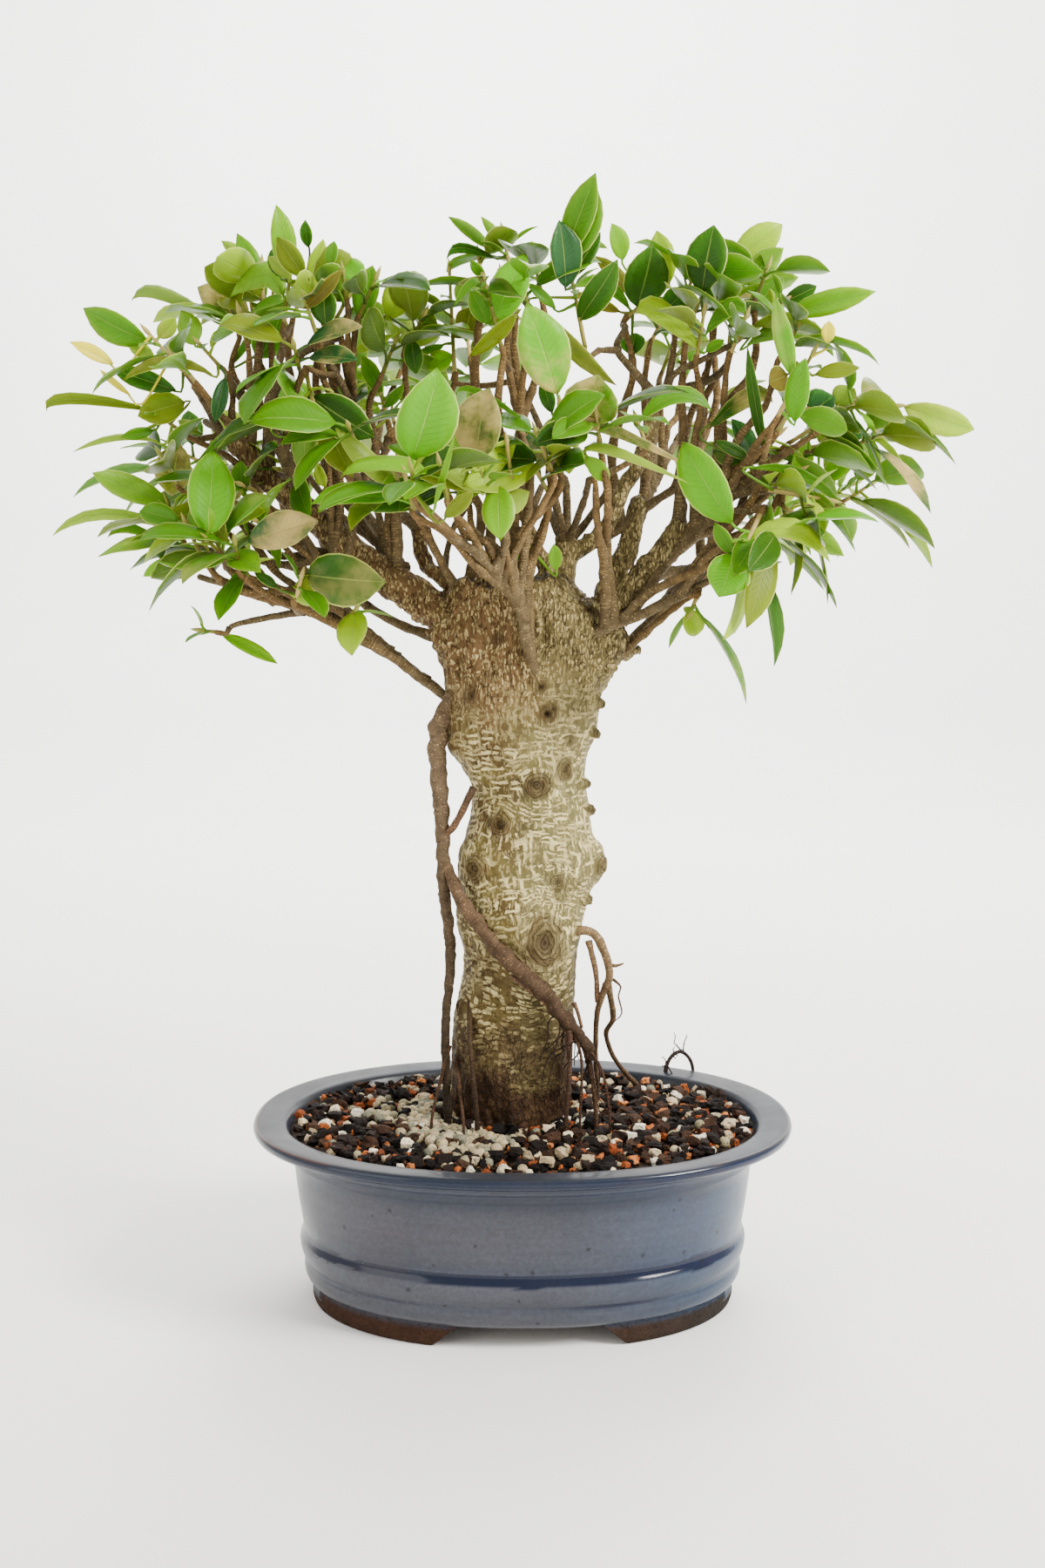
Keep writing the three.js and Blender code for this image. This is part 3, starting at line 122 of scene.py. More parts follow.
@dataclass(frozen=True)
class Sketch:
    """The front sketch: a plane across the sight line of an eye that looks slightly down."""

    eye: Point = (0.0, -1015.0, 401.5)
    pitch: float = math.radians(5.8)
    distance: float = 1020.0

    @property
    def upward(self) -> Array:
        """The sketch's own up."""
        return np.array((0.0, math.sin(self.pitch), math.cos(self.pitch)))

    @property
    def onward(self) -> Array:
        """The way that the eye looks."""
        return np.array((0.0, math.cos(self.pitch), -math.sin(self.pitch)))

    def seen(self, x: float, h: float, depth: float) -> Array:
        """Find the point that the sketch shows at x, h where it lies at a depth.

        Args:
            x: Distance to the right of the sight line, in mm on the sketch.
            h: Height above the sight line, in mm on the sketch.
            depth: How far behind the pot's middle the point lies, in mm.

        Returns:
            The point in the pot's own millimetres.
        """
        eye = np.array(self.eye)
        ray = np.array((x, 0.0, 0.0)) + self.upward * h + self.onward * self.distance
        return eye + ray * ((depth - eye[1]) / ray[1])

    def path(self, points: Iterable[Point]) -> Array:
        """Turn sketch points with depths into a row of points."""
        return np.array([self.seen(*point) for point in points])


SKETCH = Sketch()


def pot_middle() -> Array:
    """Return where the pot's middle stands in the frame, in mm."""
    low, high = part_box("pot")
    return np.array(((low.x + high.x) / 2, (low.y + high.y) / 2, 0.0)) / MM


POT_PLACE = pot_middle()


class Skin:
    """Gathers many small forms into one mesh, with a UV map in metres or shares and a tone per point."""

    def __init__(self) -> None:
        """Start with nothing."""
        self.points: list[Array] = []
        self.faces: list[tuple[int, ...]] = []
        self.corners: list[tuple[float, float]] = []
        self.tones: list[Array] = []
        self.count = 0

    def add(
        self, points: Array, faces: Iterable[Sequence[int]], corners: Iterable[tuple[float, float]],
        tones: Array,
    ) -> None:
        """Add one form.

        Args:
            points: Its points, in the pot's millimetres.
            faces: Its faces, as indices into the points.
            corners: A UV place for each corner of each face, in order.
            tones: A colour with alpha for each point.
        """
        self.points.append(points)
        self.faces.extend(tuple(i + self.count for i in face) for face in faces)
        self.corners.extend(corners)
        self.tones.append(tones)
        self.count += len(points)

    def piece(self, name: str, *materials: Material, smooth: bool = True) -> Piece:
        """Make the gathered forms one object, in metres and in its place.

        Args:
            name: The piece's name.
            materials: Its materials.
            smooth: Whether its faces are shaded smooth.

        Returns:
            The object, at the origin with its place in its mesh.
        """
        mesh = bpy.data.meshes.new(name)
        places = (np.concatenate(self.points) + POT_PLACE) * MM
        mesh.from_pydata(places.tolist(), [], self.faces)
        mesh.uv_layers.new(name="UVMap").data.foreach_set("uv", np.array(self.corners, np.float32).ravel())
        piece = bpy.data.objects.new(name, mesh)
        note(piece, "tone", np.concatenate(self.tones))
        dress(piece, *materials, smooth=smooth)
        bpy.context.scene.collection.objects.link(piece)
        return piece


def settle(piece: Piece, slot: str, *nodes: str) -> Piece:
    """Let a finished piece ride on the tree's one body and stand for its solids.

    Args:
        piece: The finished piece.
        slot: The record's material slot; not used.
        nodes: The solids that it stands for.

    Returns:
        The same piece.
    """
    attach(piece, BODY)
    if nodes:
        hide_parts(*nodes)
    log.info("%s: %d faces", piece.name, len(piece.data.polygons))
    return piece


def dress(piece: Piece, *materials: Material, smooth: bool = True) -> None:
    """Give a piece its materials and its shading in place of any that it has.

    Args:
        piece: The piece.
        materials: Its materials, in order.
        smooth: Whether its faces are shaded smooth.
    """
    piece.data.materials.clear()
    for material in materials:
        piece.data.materials.append(material)
    piece.data.polygons.foreach_set("use_smooth", [smooth] * len(piece.data.polygons))


def note(piece: Piece, name: str, values: Array) -> None:
    """Keep a colour with alpha, or a vector, for each point of a piece.

    Args:
        piece: The piece.
        name: What the values are kept as.
        values: A row for each point: four numbers of a colour, or three of a vector.
    """
    coloured = values.shape[1] == 4
    layers, kind, key = ((piece.data.color_attributes, "FLOAT_COLOR", "color") if coloured
                         else (piece.data.attributes, "FLOAT_VECTOR", "vector"))
    layers.new(name, kind, "POINT").data.foreach_set(key, values.astype(np.float32).ravel())


def read_points(piece: Piece, what: str = "co") -> Array:
    """Return the places of a piece's points, or their normals.

    Args:
        piece: The piece.
        what: Its places, "co", or its "normal".

    Returns:
        A row of three numbers for each point.
    """
    values = np.empty(len(piece.data.vertices) * 3)
    piece.data.vertices.foreach_get(what, values)
    return values.reshape(-1, 3)


def move_points(piece: Piece, places: Array) -> None:
    """Move a piece's points to new places."""
    piece.data.vertices.foreach_set("co", places.ravel())
    piece.data.update()


def taken_apart(piece: Piece) -> tuple[Array, list[tuple[int, ...]]]:
    """Return a piece's points and faces, and remove the piece.

    Args:
        piece: The piece.

    Returns:
        Its points and its faces.
    """
    parts = read_points(piece), [tuple(face.vertices) for face in piece.data.polygons]
    bpy.data.meshes.remove(piece.data)
    return parts


def to_metres(piece: Piece) -> None:
    """Take a piece's mesh from the pot's millimetres to its place in metres."""
    move_points(piece, (read_points(piece) + POT_PLACE) * MM)


def in_millimetres(piece: Piece) -> Piece:
    """Bring a piece back to the pot's millimetres, and return it."""
    move_points(piece, read_points(piece) / MM - POT_PLACE)
    return piece


def pick_only(piece: Piece, *others: Piece) -> None:
    """Make these pieces the only ones that operators act on, the first of them foremost.

    Args:
        piece: The foremost piece.
        others: The others.
    """
    bpy.ops.object.select_all(action="DESELECT")
    for each in (piece, *others):
        each.select_set(True)
    bpy.context.view_layer.objects.active = piece


def fresh(shape: str, **sizes: Any) -> Piece:
    """Add a primitive with nothing else selected, and return it.

    Args:
        shape: The primitive's name, as the operator has it.
        sizes: The operator's own settings.

    Returns:
        The new piece.
    """
    bpy.ops.object.select_all(action="DESELECT")
    getattr(bpy.ops.mesh, f"primitive_{shape}_add")(**sizes)
    return bpy.context.object


def open_up() -> None:
    """Open the active piece in edit mode, with all of it selected."""
    bpy.ops.object.mode_set(mode="EDIT")
    bpy.ops.mesh.select_all(action="SELECT")


def close_up(outward: bool = True) -> None:
    """Leave edit mode, after all faces are turned outward where that is asked for.

    Args:
        outward: Whether the faces are turned.
    """
    if outward:
        bpy.ops.mesh.select_all(action="SELECT")
        bpy.ops.mesh.normals_make_consistent(inside=False)
    bpy.ops.object.mode_set(mode="OBJECT")


def apply_modifier(piece: Piece, kind: str, **settings: Any) -> None:
    """Add a modifier of a kind to a piece with these settings, and apply it.

    Args:
        piece: The piece.
        kind: The modifier's type.
        settings: Its settings.
    """
    pick_only(piece)
    modifier = piece.modifiers.new(kind.lower(), kind)
    for name, value in settings.items():
        setattr(modifier, name, value)
    bpy.ops.object.modifier_apply(modifier=modifier.name)


def ripple(points: Array, wavelength: float, seed: int, waves: int = 7) -> Array:
    """Give a smooth, seeded unevenness of about -1 to 1 at each point.

    Args:
        points: Points in mm.
        wavelength: About how far its humps lie apart, in mm.
        seed: Which unevenness.
        waves: How many waves it is made of.

    Returns:
        One number for each point.
    """
    draw = np.random.default_rng(seed)
    total = np.zeros(len(points))
    for _ in range(waves):
        way = draw.normal(size=3)
        way *= draw.uniform(0.7, 1.5) * 2 * math.pi / (wavelength * np.linalg.norm(way))
        total += np.sin(points @ way + draw.uniform(0, 2 * math.pi))
    return total / math.sqrt(waves * 2)


def ripples(points: Array, rows: Iterable[Point], seed: int) -> Array:
    """Add up several unevennesses.

    Args:
        points: Points in mm.
        rows: The height and the wavelength of each, and how much it is squeezed across and up.
        seed: Which unevenness the first is; the others follow it.

    Returns:
        One number for each point.
    """
    total = 0.0
    for order, (height, wavelength, *squeeze) in enumerate(rows):
        across, up = squeeze or (1.0, 1.0)
        total = total + height * ripple(points * np.array((across, across, up)), wavelength, seed + order)
    return total


def smooth_path(points: Array, values: Array, step: float) -> tuple[Array, Array]:
    """Lay a smooth curve through points, with a value that follows it.

    Args:
        points: The points that the curve passes.
        values: A value for each point.
        step: How far apart the new points lie.

    Returns:
        The curve's points and the value at each.
    """
    padded = np.vstack((2 * points[0] - points[1], points, 2 * points[-1] - points[-2]))
    path, along = [], []
    for i in range(len(points) - 1):
        p0, p1, p2, p3 = padded[i:i + 4]
        count = max(1, round(np.linalg.norm(p2 - p1) / step))
        for j in range(count):
            t = j / count
            path.append(0.5 * (2 * p1 + (p2 - p0) * t + (2 * p0 - 5 * p1 + 4 * p2 - p3) * t * t
                               + (3 * p1 - p0 - 3 * p2 + p3) * t ** 3))
            along.append(values[i] + (values[i + 1] - values[i]) * t)
    path.append(points[-1])
    along.append(values[-1])
    return np.array(path), np.array(along)


@dataclass
class Stem:
    """A round stem along a path: a limb, twig, root, petiole or shoot."""

    path: Array
    halves: Array
    sides: int = 8
    step: float = 4.0
    knobbly: float = 0.0
    collar: float = 0.0
    seed: int = 1

    def frames(self, path: Array) -> Iterable[tuple[Array, Array]]:
        """Carry a pair of crosswise directions along the path without twisting.

        Args:
            path: The path.

        Returns:
            The two directions at each of its points.
        """
        across = None
        for i in range(len(path)):
            along = unit(path[min(i + 1, len(path) - 1)] - path[max(i - 1, 0)])
            if across is None:
                across = UP if abs(along[2]) < 0.9 else np.array((1.0, 0.0, 0.0))
            across = unit(across - along * across.dot(along))
            yield across, np.cross(along, across)

    def lay(self, skin: Skin, tone: Point = WHITE, end_tone: Point | None = None) -> None:
        """Add the stem to a skin, closed by a blunt cap at each end.

        Args:
            skin: Where it is added.
            tone: Its colour.
            end_tone: The colour that it turns to at its end, or None to keep its first.
        """
        path, halves = smooth_path(self.path, self.halves, self.step)
        lengths = np.concatenate(((0.0,), np.cumsum(np.linalg.norm(np.diff(path, axis=0), axis=1))))
        halves = halves * (1 + self.collar * np.exp(-lengths / 7.0))
        sides, last = self.sides, len(path) - 1
        angles = 2 * math.pi * np.arange(sides) / sides
        cosines, sines = np.cos(angles), np.sin(angles)
        points = np.concatenate([
            centre + half * (np.outer(cosines, across) + np.outer(sines, other))
            for centre, half, (across, other) in zip(path, halves, self.frames(path))
        ])
        if self.knobbly:
            centres = np.repeat(path, sides, axis=0)
            swell = ripples(points, ((self.knobbly, 11.0), (0.6 * self.knobbly, 4.0)), self.seed)
            points = centres + (points - centres) * (1 + swell[:, None])
        ends = np.array((path[0] + (path[0] - path[1]) * 0.1,
                         path[-1] + unit(path[-1] - path[-2]) * halves[-1] * 0.7))
        girth = 2 * math.pi * float(halves.mean()) * MM
        faces, corners = [], []
        for i in range(last):
            low, high = lengths[i] * MM, lengths[i + 1] * MM
            for k in range(sides):
                a, b = i * sides + k, i * sides + (k + 1) % sides
                faces.append((a, b, b + sides, a + sides))
                left, right = k / sides * girth, (k + 1) / sides * girth
                corners.extend(((left, low), (right, low), (right, high), (left, high)))
        for k in range(sides):
            n, tip, side = (k + 1) % sides, last * sides, (k + 0.5) / sides * girth
            faces.extend(((len(points), n, k), (len(points) + 1, tip + k, tip + n)))
            corners.extend([(side, 0.0)] * 3 + [(side, lengths[-1] * MM)] * 3)
        share = np.append(np.repeat(lengths / lengths[-1], sides), (0.0, 1.0))[:, None]
        tones = np.array(tone) * (1 - share) + np.array(end_tone or tone) * share
        skin.add(np.vstack((points, ends)), faces, corners, tones)




class Value:
    """What a socket of a shader tree gives, which can be added, multiplied and compared."""

    def __init__(self, graph: Graph, socket: bpy.types.NodeSocket) -> None:
        """Take a socket of the graph's tree."""
        self.graph, self.socket = graph, socket

    def __add__(self, other: Any) -> Value:
        """Add a number or another value."""
        return self.graph.math("ADD", self, other)

    def __sub__(self, other: Any) -> Value:
        """Take a number or another value away."""
        return self.graph.math("SUBTRACT", self, other)

    def __rsub__(self, other: float) -> Value:
        """Take this value from a number."""
        return self.graph.math("SUBTRACT", other, self)

    def __mul__(self, other: Any) -> Value:
        """Multiply by a number or another value."""
        return self.graph.math("MULTIPLY", self, other)

    def __or__(self, other: Any) -> Value:
        """Give the larger of two values."""
        return self.graph.math("MAXIMUM", self, other)


class Graph:
    """Short calls that place and link the nodes of one shader tree."""

    def __init__(self, tree: bpy.types.NodeTree) -> None:
        """Work in one tree."""
        self.tree = tree

    def node(self, kind: str, inputs: dict | None = None, **settings: Any) -> bpy.types.Node:
        """Place a node.

        Args:
            kind: The node's type.
            inputs: What feeds its sockets: a value of the tree, or a plain one.
            settings: The node's own settings.

        Returns:
            The node.
        """
        made = self.tree.nodes.new(kind)
        for name, value in settings.items():
            setattr(made, name, value)
        for name, value in (inputs or {}).items():
            self.feed(made.inputs[name], value)
        return made

    def feed(self, socket: bpy.types.NodeSocket, value: Any) -> None:
        """Link a socket to a value of the tree, or set it to a plain one.

        Args:
            socket: The socket.
            value: What feeds it.
        """
        if isinstance(value, Value):
            self.tree.links.new(value.socket, socket)
        else:
            socket.default_value = value

    def give(self, kind: str, output: str | int = 0, inputs: dict | None = None, **settings: Any) -> Value:
        """Place a shader node and return one thing that it gives."""
        return Value(self, self.node("ShaderNode" + kind, inputs, **settings).outputs[output])

    def math(self, operation: str, *numbers: Any, clamp: bool = False) -> Value:
        """Work out a number from others."""
        return self.give("Math", 0, dict(enumerate(numbers)), operation=operation, use_clamp=clamp)

    def vector(self, operation: str, *vectors: Any, output: str | int = 0) -> Value:
        """Work out a vector from others."""
        return self.give("VectorMath", output, dict(enumerate(vectors)), operation=operation)

    def along(self, first: Any, second: Any) -> Value:
        """Give how far one vector reaches along another, with no sign."""
        return self.math("ABSOLUTE", self.vector("DOT_PRODUCT", first, second, output="Value"))

    def mix(self, share: Any, first: Any, second: Any, way: str = "MIX") -> Value:
        """Mix two colours by a share."""
        return self.give("Mix", 2, {0: share, 6: first, 7: second}, data_type="RGBA", blend_type=way)

    def step(self, low: float, high: float, value: Any) -> Value:
        """Rise smoothly from 0 at low to 1 at high, where low may be the larger.

        Args:
            low: Where it gives 0.
            high: Where it gives 1.
            value: The number that rises.

        Returns:
            The step.
        """
        edges = {"Value": value, "From Min": min(low, high), "From Max": max(low, high)}
        ends = {"To Min": float(low > high), "To Max": float(low < high)}
        return self.give("MapRange", 0, {**edges, **ends}, interpolation_type="SMOOTHSTEP")

    def noise(self, vector: Any, scale: Any, detail: float = 3.0, roughness: float = 0.55,
              output: str | int = 0) -> Value:
        """Give noise of 0 to 1 over a vector."""
        inputs = {"Vector": vector, "Scale": scale, "Detail": detail, "Roughness": roughness}
        return self.give("TexNoise", output, inputs)

    def cells(self, vector: Any, randomness: float) -> list[Value]:
        """Part space into cells, and give each point's distance, colour and place of its cell."""
        made = self.node("ShaderNodeTexVoronoi", {"Vector": vector, "Scale": 1.0, "Randomness": randomness})
        return [Value(self, made.outputs[name]) for name in ("Distance", "Color", "Position")]

    def split(self, vector: Any) -> list[Value]:
        """Part a vector into its three numbers."""
        return [Value(self, socket) for socket in self.node("ShaderNodeSeparateXYZ", {0: vector}).outputs]

    def place(self) -> Value:
        """Give each point's place on the object, in metres."""
        return self.give("TexCoord", "Object")

    def unwrapped(self) -> Value:
        """Give each point's place on the piece's UV map."""
        return self.give("UVMap", uv_map="UVMap")

    def attribute(self, name: str, part: str = "Color") -> Value:
        """Read an attribute of the mesh: its Color, Vector or Alpha."""
        return self.give("Attribute", part, attribute_name=name)

    def bump(self, height: Any, distance: float, strength: float = 1.0) -> Value:
        """Turn a height of 0 to 1 into a normal, over a depth in metres."""
        return self.give("Bump", 0, {"Height": height, "Distance": distance, "Strength": strength})

    def effect(self, build: Callable[..., Value], **inputs: Any) -> Value:
        """Place a shared effect with a finish's own values."""
        named = {name.capitalize(): value for name, value in inputs.items()}
        return self.give("Group", 0, named, node_tree=effect_group(build))

    def mottled(self, vector: Any, scale: float, amount: float, tone: Any) -> Value:
        """Place the shared mottle over a tone."""
        return self.effect(mottle, vector=vector, scale=scale, amount=amount, color=tone)

    def grain(self, scale: float) -> Value:
        """Place the shared fine grain."""
        return self.effect(fine_grain, vector=self.place(), scale=scale)


def drifted(graph: Graph, vector: Any, scale: float, reach: Any) -> Value:
    """Move a vector about by noise, so that what is drawn on it loses its straightness.

    Args:
        graph: The graph that it is drawn in.
        vector: Each point's place.
        scale: How fine the noise is.
        reach: How far it moves a point, in metres.

    Returns:
        The moved vector.
    """
    wander = graph.noise(vector, scale, 2.0, 0.5, output="Color")
    drift = graph.vector("SCALE", graph.vector("SUBTRACT", wander, (0.5, 0.5, 0.5)))
    graph.feed(drift.socket.node.inputs["Scale"], reach)
    return graph.vector("ADD", vector, drift)


def bark_furrows(graph: Graph, vector: Value, spacing: Value, width: Value) -> Value:
    """Draw thin furrows that wind about: spacing sets how many lie in a metre each way.

    Args:
        graph: The graph that it is drawn in.
        vector: Each point's place.
        spacing: How many lie in a metre each way.
        width: How wide a furrow is, as a share.

    Returns:
        How deep each point lies in a furrow.
    """
    lattice = graph.vector("MULTIPLY", drifted(graph, vector, 34.0, 0.008), spacing)
    level = graph.math("ABSOLUTE", graph.noise(lattice, 1.0, 1.5) - 0.5)
    thin = graph.math("SUBTRACT", 1.0, graph.math("DIVIDE", level, width), clamp=True)
    return thin * graph.step(0.36, 0.54, graph.noise(vector, 70.0))


def bark_dashes(
    graph: Graph, vector: Value, spacing: Value, shape: Value, around: Value, share: Value,
) -> Value:
    """Draw ragged dashes in wavering rows on the trunk.

    Args:
        graph: The group's own graph.
        vector: Each point's place.
        spacing: How many dashes lie in a metre each way.
        shape: How thin a dash is round the trunk and up it.
        around: The way round the trunk.
        share: How many of the dashes show.

    Returns:
        How much of a dash lies at each point.
    """
    wandered = drifted(graph, drifted(graph, vector, 210.0, 0.0034), 26.0, 0.014)
    lattice = graph.vector("MULTIPLY", wandered, spacing)
    _, colour, middle = graph.cells(lattice, 0.62)
    off = graph.vector("SUBTRACT", lattice, middle)
    wide, _, high = graph.split(shape)
    reach = graph.along(off, around) * wide | graph.along(off, (0.0, 0.0, 1.0)) * high
    lot, strength, _ = graph.split(colour)
    return graph.step(1.2, 0.7, reach) * (graph.math("LESS_THAN", lot, share) * (strength * 0.6 + 0.4))


def round_spots(graph: Graph, vector: Value, spacing: Value, share: Value, raggedness: Value) -> Value:
    """Draw round ragged spots: spacing sets how many lie in a metre each way, and share how many show.

    Args:
        graph: The graph that it is drawn in.
        vector: Each point's place.
        spacing: How many lie in a metre each way.
        share: How many of them show.
        raggedness: How far their edges waver, in metres.

    Returns:
        How much of a spot lies at each point.
    """
    lattice = graph.vector("MULTIPLY", drifted(graph, vector, 160.0, raggedness), spacing)
    distance, colour, _ = graph.cells(lattice, 0.9)
    return graph.step(0.5, 0.3, distance) * graph.math("LESS_THAN", graph.split(colour)[0], share)


def mottle(graph: Graph, vector: Value, scale: Value, amount: Value, color: Value) -> Value:
    """Make a colour lighter and darker in soft patches of two sizes.

    Args:
        graph: The graph that it is drawn in.
        vector: Each point's place.
        scale: How fine the patches are.
        amount: How strong they are.
        color: The colour.

    Returns:
        The mottled colour.
    """
    both = graph.noise(vector, scale) * 1.3 + graph.noise(vector, scale * 4.3) * 0.7
    gain = (both - 1.0) * amount + 1.0
    return graph.mix(1.0, color, graph.give("CombineColor", 0, {0: gain, 1: gain, 2: gain}), "MULTIPLY")


def fine_grain(graph: Graph, vector: Value, scale: Value) -> Value:
    """Give the height of a fine grain."""
    return graph.noise(vector, scale, 4.0, 0.6)


NUMBERS = ("Width", "Share", "Raggedness", "Scale", "Amount")


def effect_group(build: Callable[..., Value]) -> bpy.types.NodeTree:
    """Return an effect's node group, which is built the first time it is asked for.

    Args:
        build: What draws the effect; the group's inputs are named after its arguments.

    Returns:
        The group, with one output: a colour, a mask or a height.
    """
    known = bpy.data.node_groups.get(build.__name__)
    if known:
        return known
    group = bpy.data.node_groups.new(build.__name__, "ShaderNodeTree")
    names = [name.capitalize() for name in inspect.signature(build).parameters][1:]
    for name in names:
        kind = "Color" if name == "Color" else "Float" if name in NUMBERS else "Vector"
        group.interface.new_socket(name, in_out="INPUT", socket_type="NodeSocket" + kind)
    result = "Color" if "Color" in names else "Height" if build is fine_grain else "Mask"
    kind = "Color" if result == "Color" else "Float"
    group.interface.new_socket(result, in_out="OUTPUT", socket_type="NodeSocket" + kind)
    graph = Graph(group)
    given = graph.node("NodeGroupInput").outputs
    graph.node("NodeGroupOutput", {result: build(graph, *(Value(graph, given[name]) for name in names))})
    return group


@dataclass(frozen=True)
class Finish:
    """What every finish shares: a name, how rough its surface is and how strongly it mirrors."""

    name: str
    roughness: float = 0.6
    sheen: float = 0.12

    def material(self) -> Material:
        """Build the finish's material.

        Returns:
            The material, with its shader fed by the finish's own nodes.
        """
        material = bpy.data.materials.new(self.name)
        material.use_nodes = True
        graph = Graph(material.node_tree)
        sockets = {"Roughness": self.roughness, "Specular IOR Level": self.sheen, **self.look(graph)}
        for name, value in sockets.items():
            graph.feed(material.node_tree.nodes["Principled BSDF"].inputs[name], value)
        return material

    def look(self, graph: Graph) -> dict[str, Any]:
        """Return what feeds the shader's sockets; each finish has its own way."""
        raise NotImplementedError


@dataclass(frozen=True)
class BarkFinish(Finish):
    """Tiger bark: rows of cream dashes on an olive trunk, finer and browner above and below."""

    olive: Point = (100, 87, 44)
    shade: Point = (72, 55, 29)
    # Painted light: the paler grey that the lit right side of the trunk is painted with.
    grey: Point = (106, 100, 62)
    cream: Point = (214, 196, 138)
    crown: Point = (100, 76, 46)
    crown_pale: Point = (200, 178, 122)
    foot: Point = (44, 28, 16)
    foot_pale: Point = (112, 86, 54)
    knot: Point = (84, 62, 40)
    crack: Point = (36, 25, 15)
    scar: Point = (38, 24, 15)
    upper: Point = (0.302, 0.366)
    lower: Point = (0.232, 0.190)
    lowest: Point = (0.174, 0.126)
    depth: float = 0.002

    def look(self, graph: Graph) -> dict[str, Any]:
        """Lay the bark's tone, its dashes, its furrows and its knots over each other.

        Args:
            graph: The material's graph.

        Returns:
            What feeds each socket.
        """
        place = graph.place()
        dark, far, knotty = graph.split(graph.attribute("marks"))
        zone = graph.split(place)[2] + (graph.noise(place, 26.0) - 0.5) * 0.14
        ends = (self.upper, self.lower, self.lowest)
        upper, lower, lowest = zones = [graph.step(*span, zone) for span in ends]
        apart = far * KNOT_REACH
        inside = graph.step(1.3, 0.85, apart) * knotty
        dashes = self.dashed(graph, *zones) * (1.0 - inside * 0.8)
        flow = graph.attribute("flow", "Vector")
        upright = graph.effect(bark_furrows, vector=flow, spacing=(360.0, 360.0, 84.0), width=0.04)
        level = graph.effect(bark_furrows, vector=flow, spacing=(110.0, 110.0, 330.0), width=0.035)
        furrows = upright * (upper * 0.6 + lowest * 0.4) | level * (lower * 0.45)
        waves = graph.math("SINE", apart * 27.0 + graph.noise(place, 130.0) * 15.0)
        rings = graph.step(0.1, 0.95, waves) * inside * graph.step(0.2, 0.5, graph.noise(place, 170.0))
        ground = graph.mottled(place, 130.0, 0.9, self.ground(graph, place, *zones))
        ground = graph.mix(inside * 0.5, ground, graph.mottled(place, 240.0, 1.2, linear(self.knot)))
        paler = graph.mix(lowest, linear(self.cream), linear(self.foot_pale))
        pale = graph.mix(upper, paler, linear(self.crown_pale))
        marked = graph.mix(dashes * graph.step(-0.25, 0.6, graph.noise(place, 110.0)), ground, pale)
        lined = graph.mix(furrows | rings * 0.34, marked, linear(self.crack))
        relief = dashes * 0.45 + graph.grain(420.0) * 0.7 - (furrows | rings * 0.9)
        tone = graph.mix(dark, lined, linear(self.scar))
        return {"Base Color": tone, "Normal": graph.bump(relief, self.depth)}

    def ground(self, graph: Graph, place: Value, upper: Value, lower: Value, lowest: Value) -> Value:
        """Give the bark's own tone at each height, painted paler and greyer on the lit right side.

        Args:
            graph: The material's graph.
            place: Each point's place.
            upper: How far a point belongs to the brown top.
            lower: How far it belongs to the brown below the middle.
            lowest: How far it belongs to the dark foot.

        Returns:
            The tone.
        """
        shaded = graph.step(0.36, 0.62, graph.noise(place, 48.0))
        middle = graph.mix(shaded, linear(self.olive), linear(self.shade))
        # Painted light: the right side, where the light falls, is painted paler and greyer, and less brown
        # at the top.
        sunny = graph.step(0.016, 0.05, graph.split(place)[0] + graph.noise(place, 31.0, 2.0) * 0.05)
        middle = graph.mix(sunny * 0.75, middle, linear(self.grey))
        raised = graph.mix(upper * (1.0 - sunny * 0.6), middle, linear(self.crown))
        return graph.mix(lowest, graph.mix(lower * 0.45, raised, linear(self.shade)), linear(self.foot))

    @staticmethod
    def dashed(graph: Graph, upper: Value, lower: Value, lowest: Value) -> Value:
        """Draw the dashes: rows round the trunk and short uprights in the middle, small flecks elsewhere.

        Args:
            graph: The material's graph.
            upper: How far a point belongs to the brown top.
            lower: How far it belongs to the brown below the middle.
            lowest: How far it belongs to the dark foot.

        Returns:
            How much of a dash lies at each point.
        """
        normal = graph.give("TexCoord", "Normal")
        around = graph.vector("NORMALIZE", graph.vector("CROSS_PRODUCT", normal, (0.0, 0.0, 1.0)))
        turn = graph.step(0.42, 0.58, graph.noise(graph.place(), 38.0, 1.0))
        across, along, flecks, threads = (
            graph.effect(
                bark_dashes, vector=graph.attribute("flow", "Vector"), spacing=spacing, shape=shape,
                around=around, share=share,
            ) for spacing, shape, share in (
                ((140.0, 140.0, 290.0), (2.0, 0.0, 3.8), 0.74 - turn * 0.36),
                ((290.0, 290.0, 140.0), (3.8, 0.0, 2.0), turn * 0.46 + 0.12),
                ((250.0, 250.0, 330.0), (2.1, 0.0, 2.9), turn * 0.3 + 0.4),
                ((680.0, 680.0, 300.0), (2.6, 0.0, 2.2), 0.56),
            ))
        edges = 1.0 - (upper | lower)
        return ((across | along) * edges | flecks * (lower - lowest) * 0.8
                | threads * (upper * 0.8 | edges * 0.35 | lowest * 0.35))


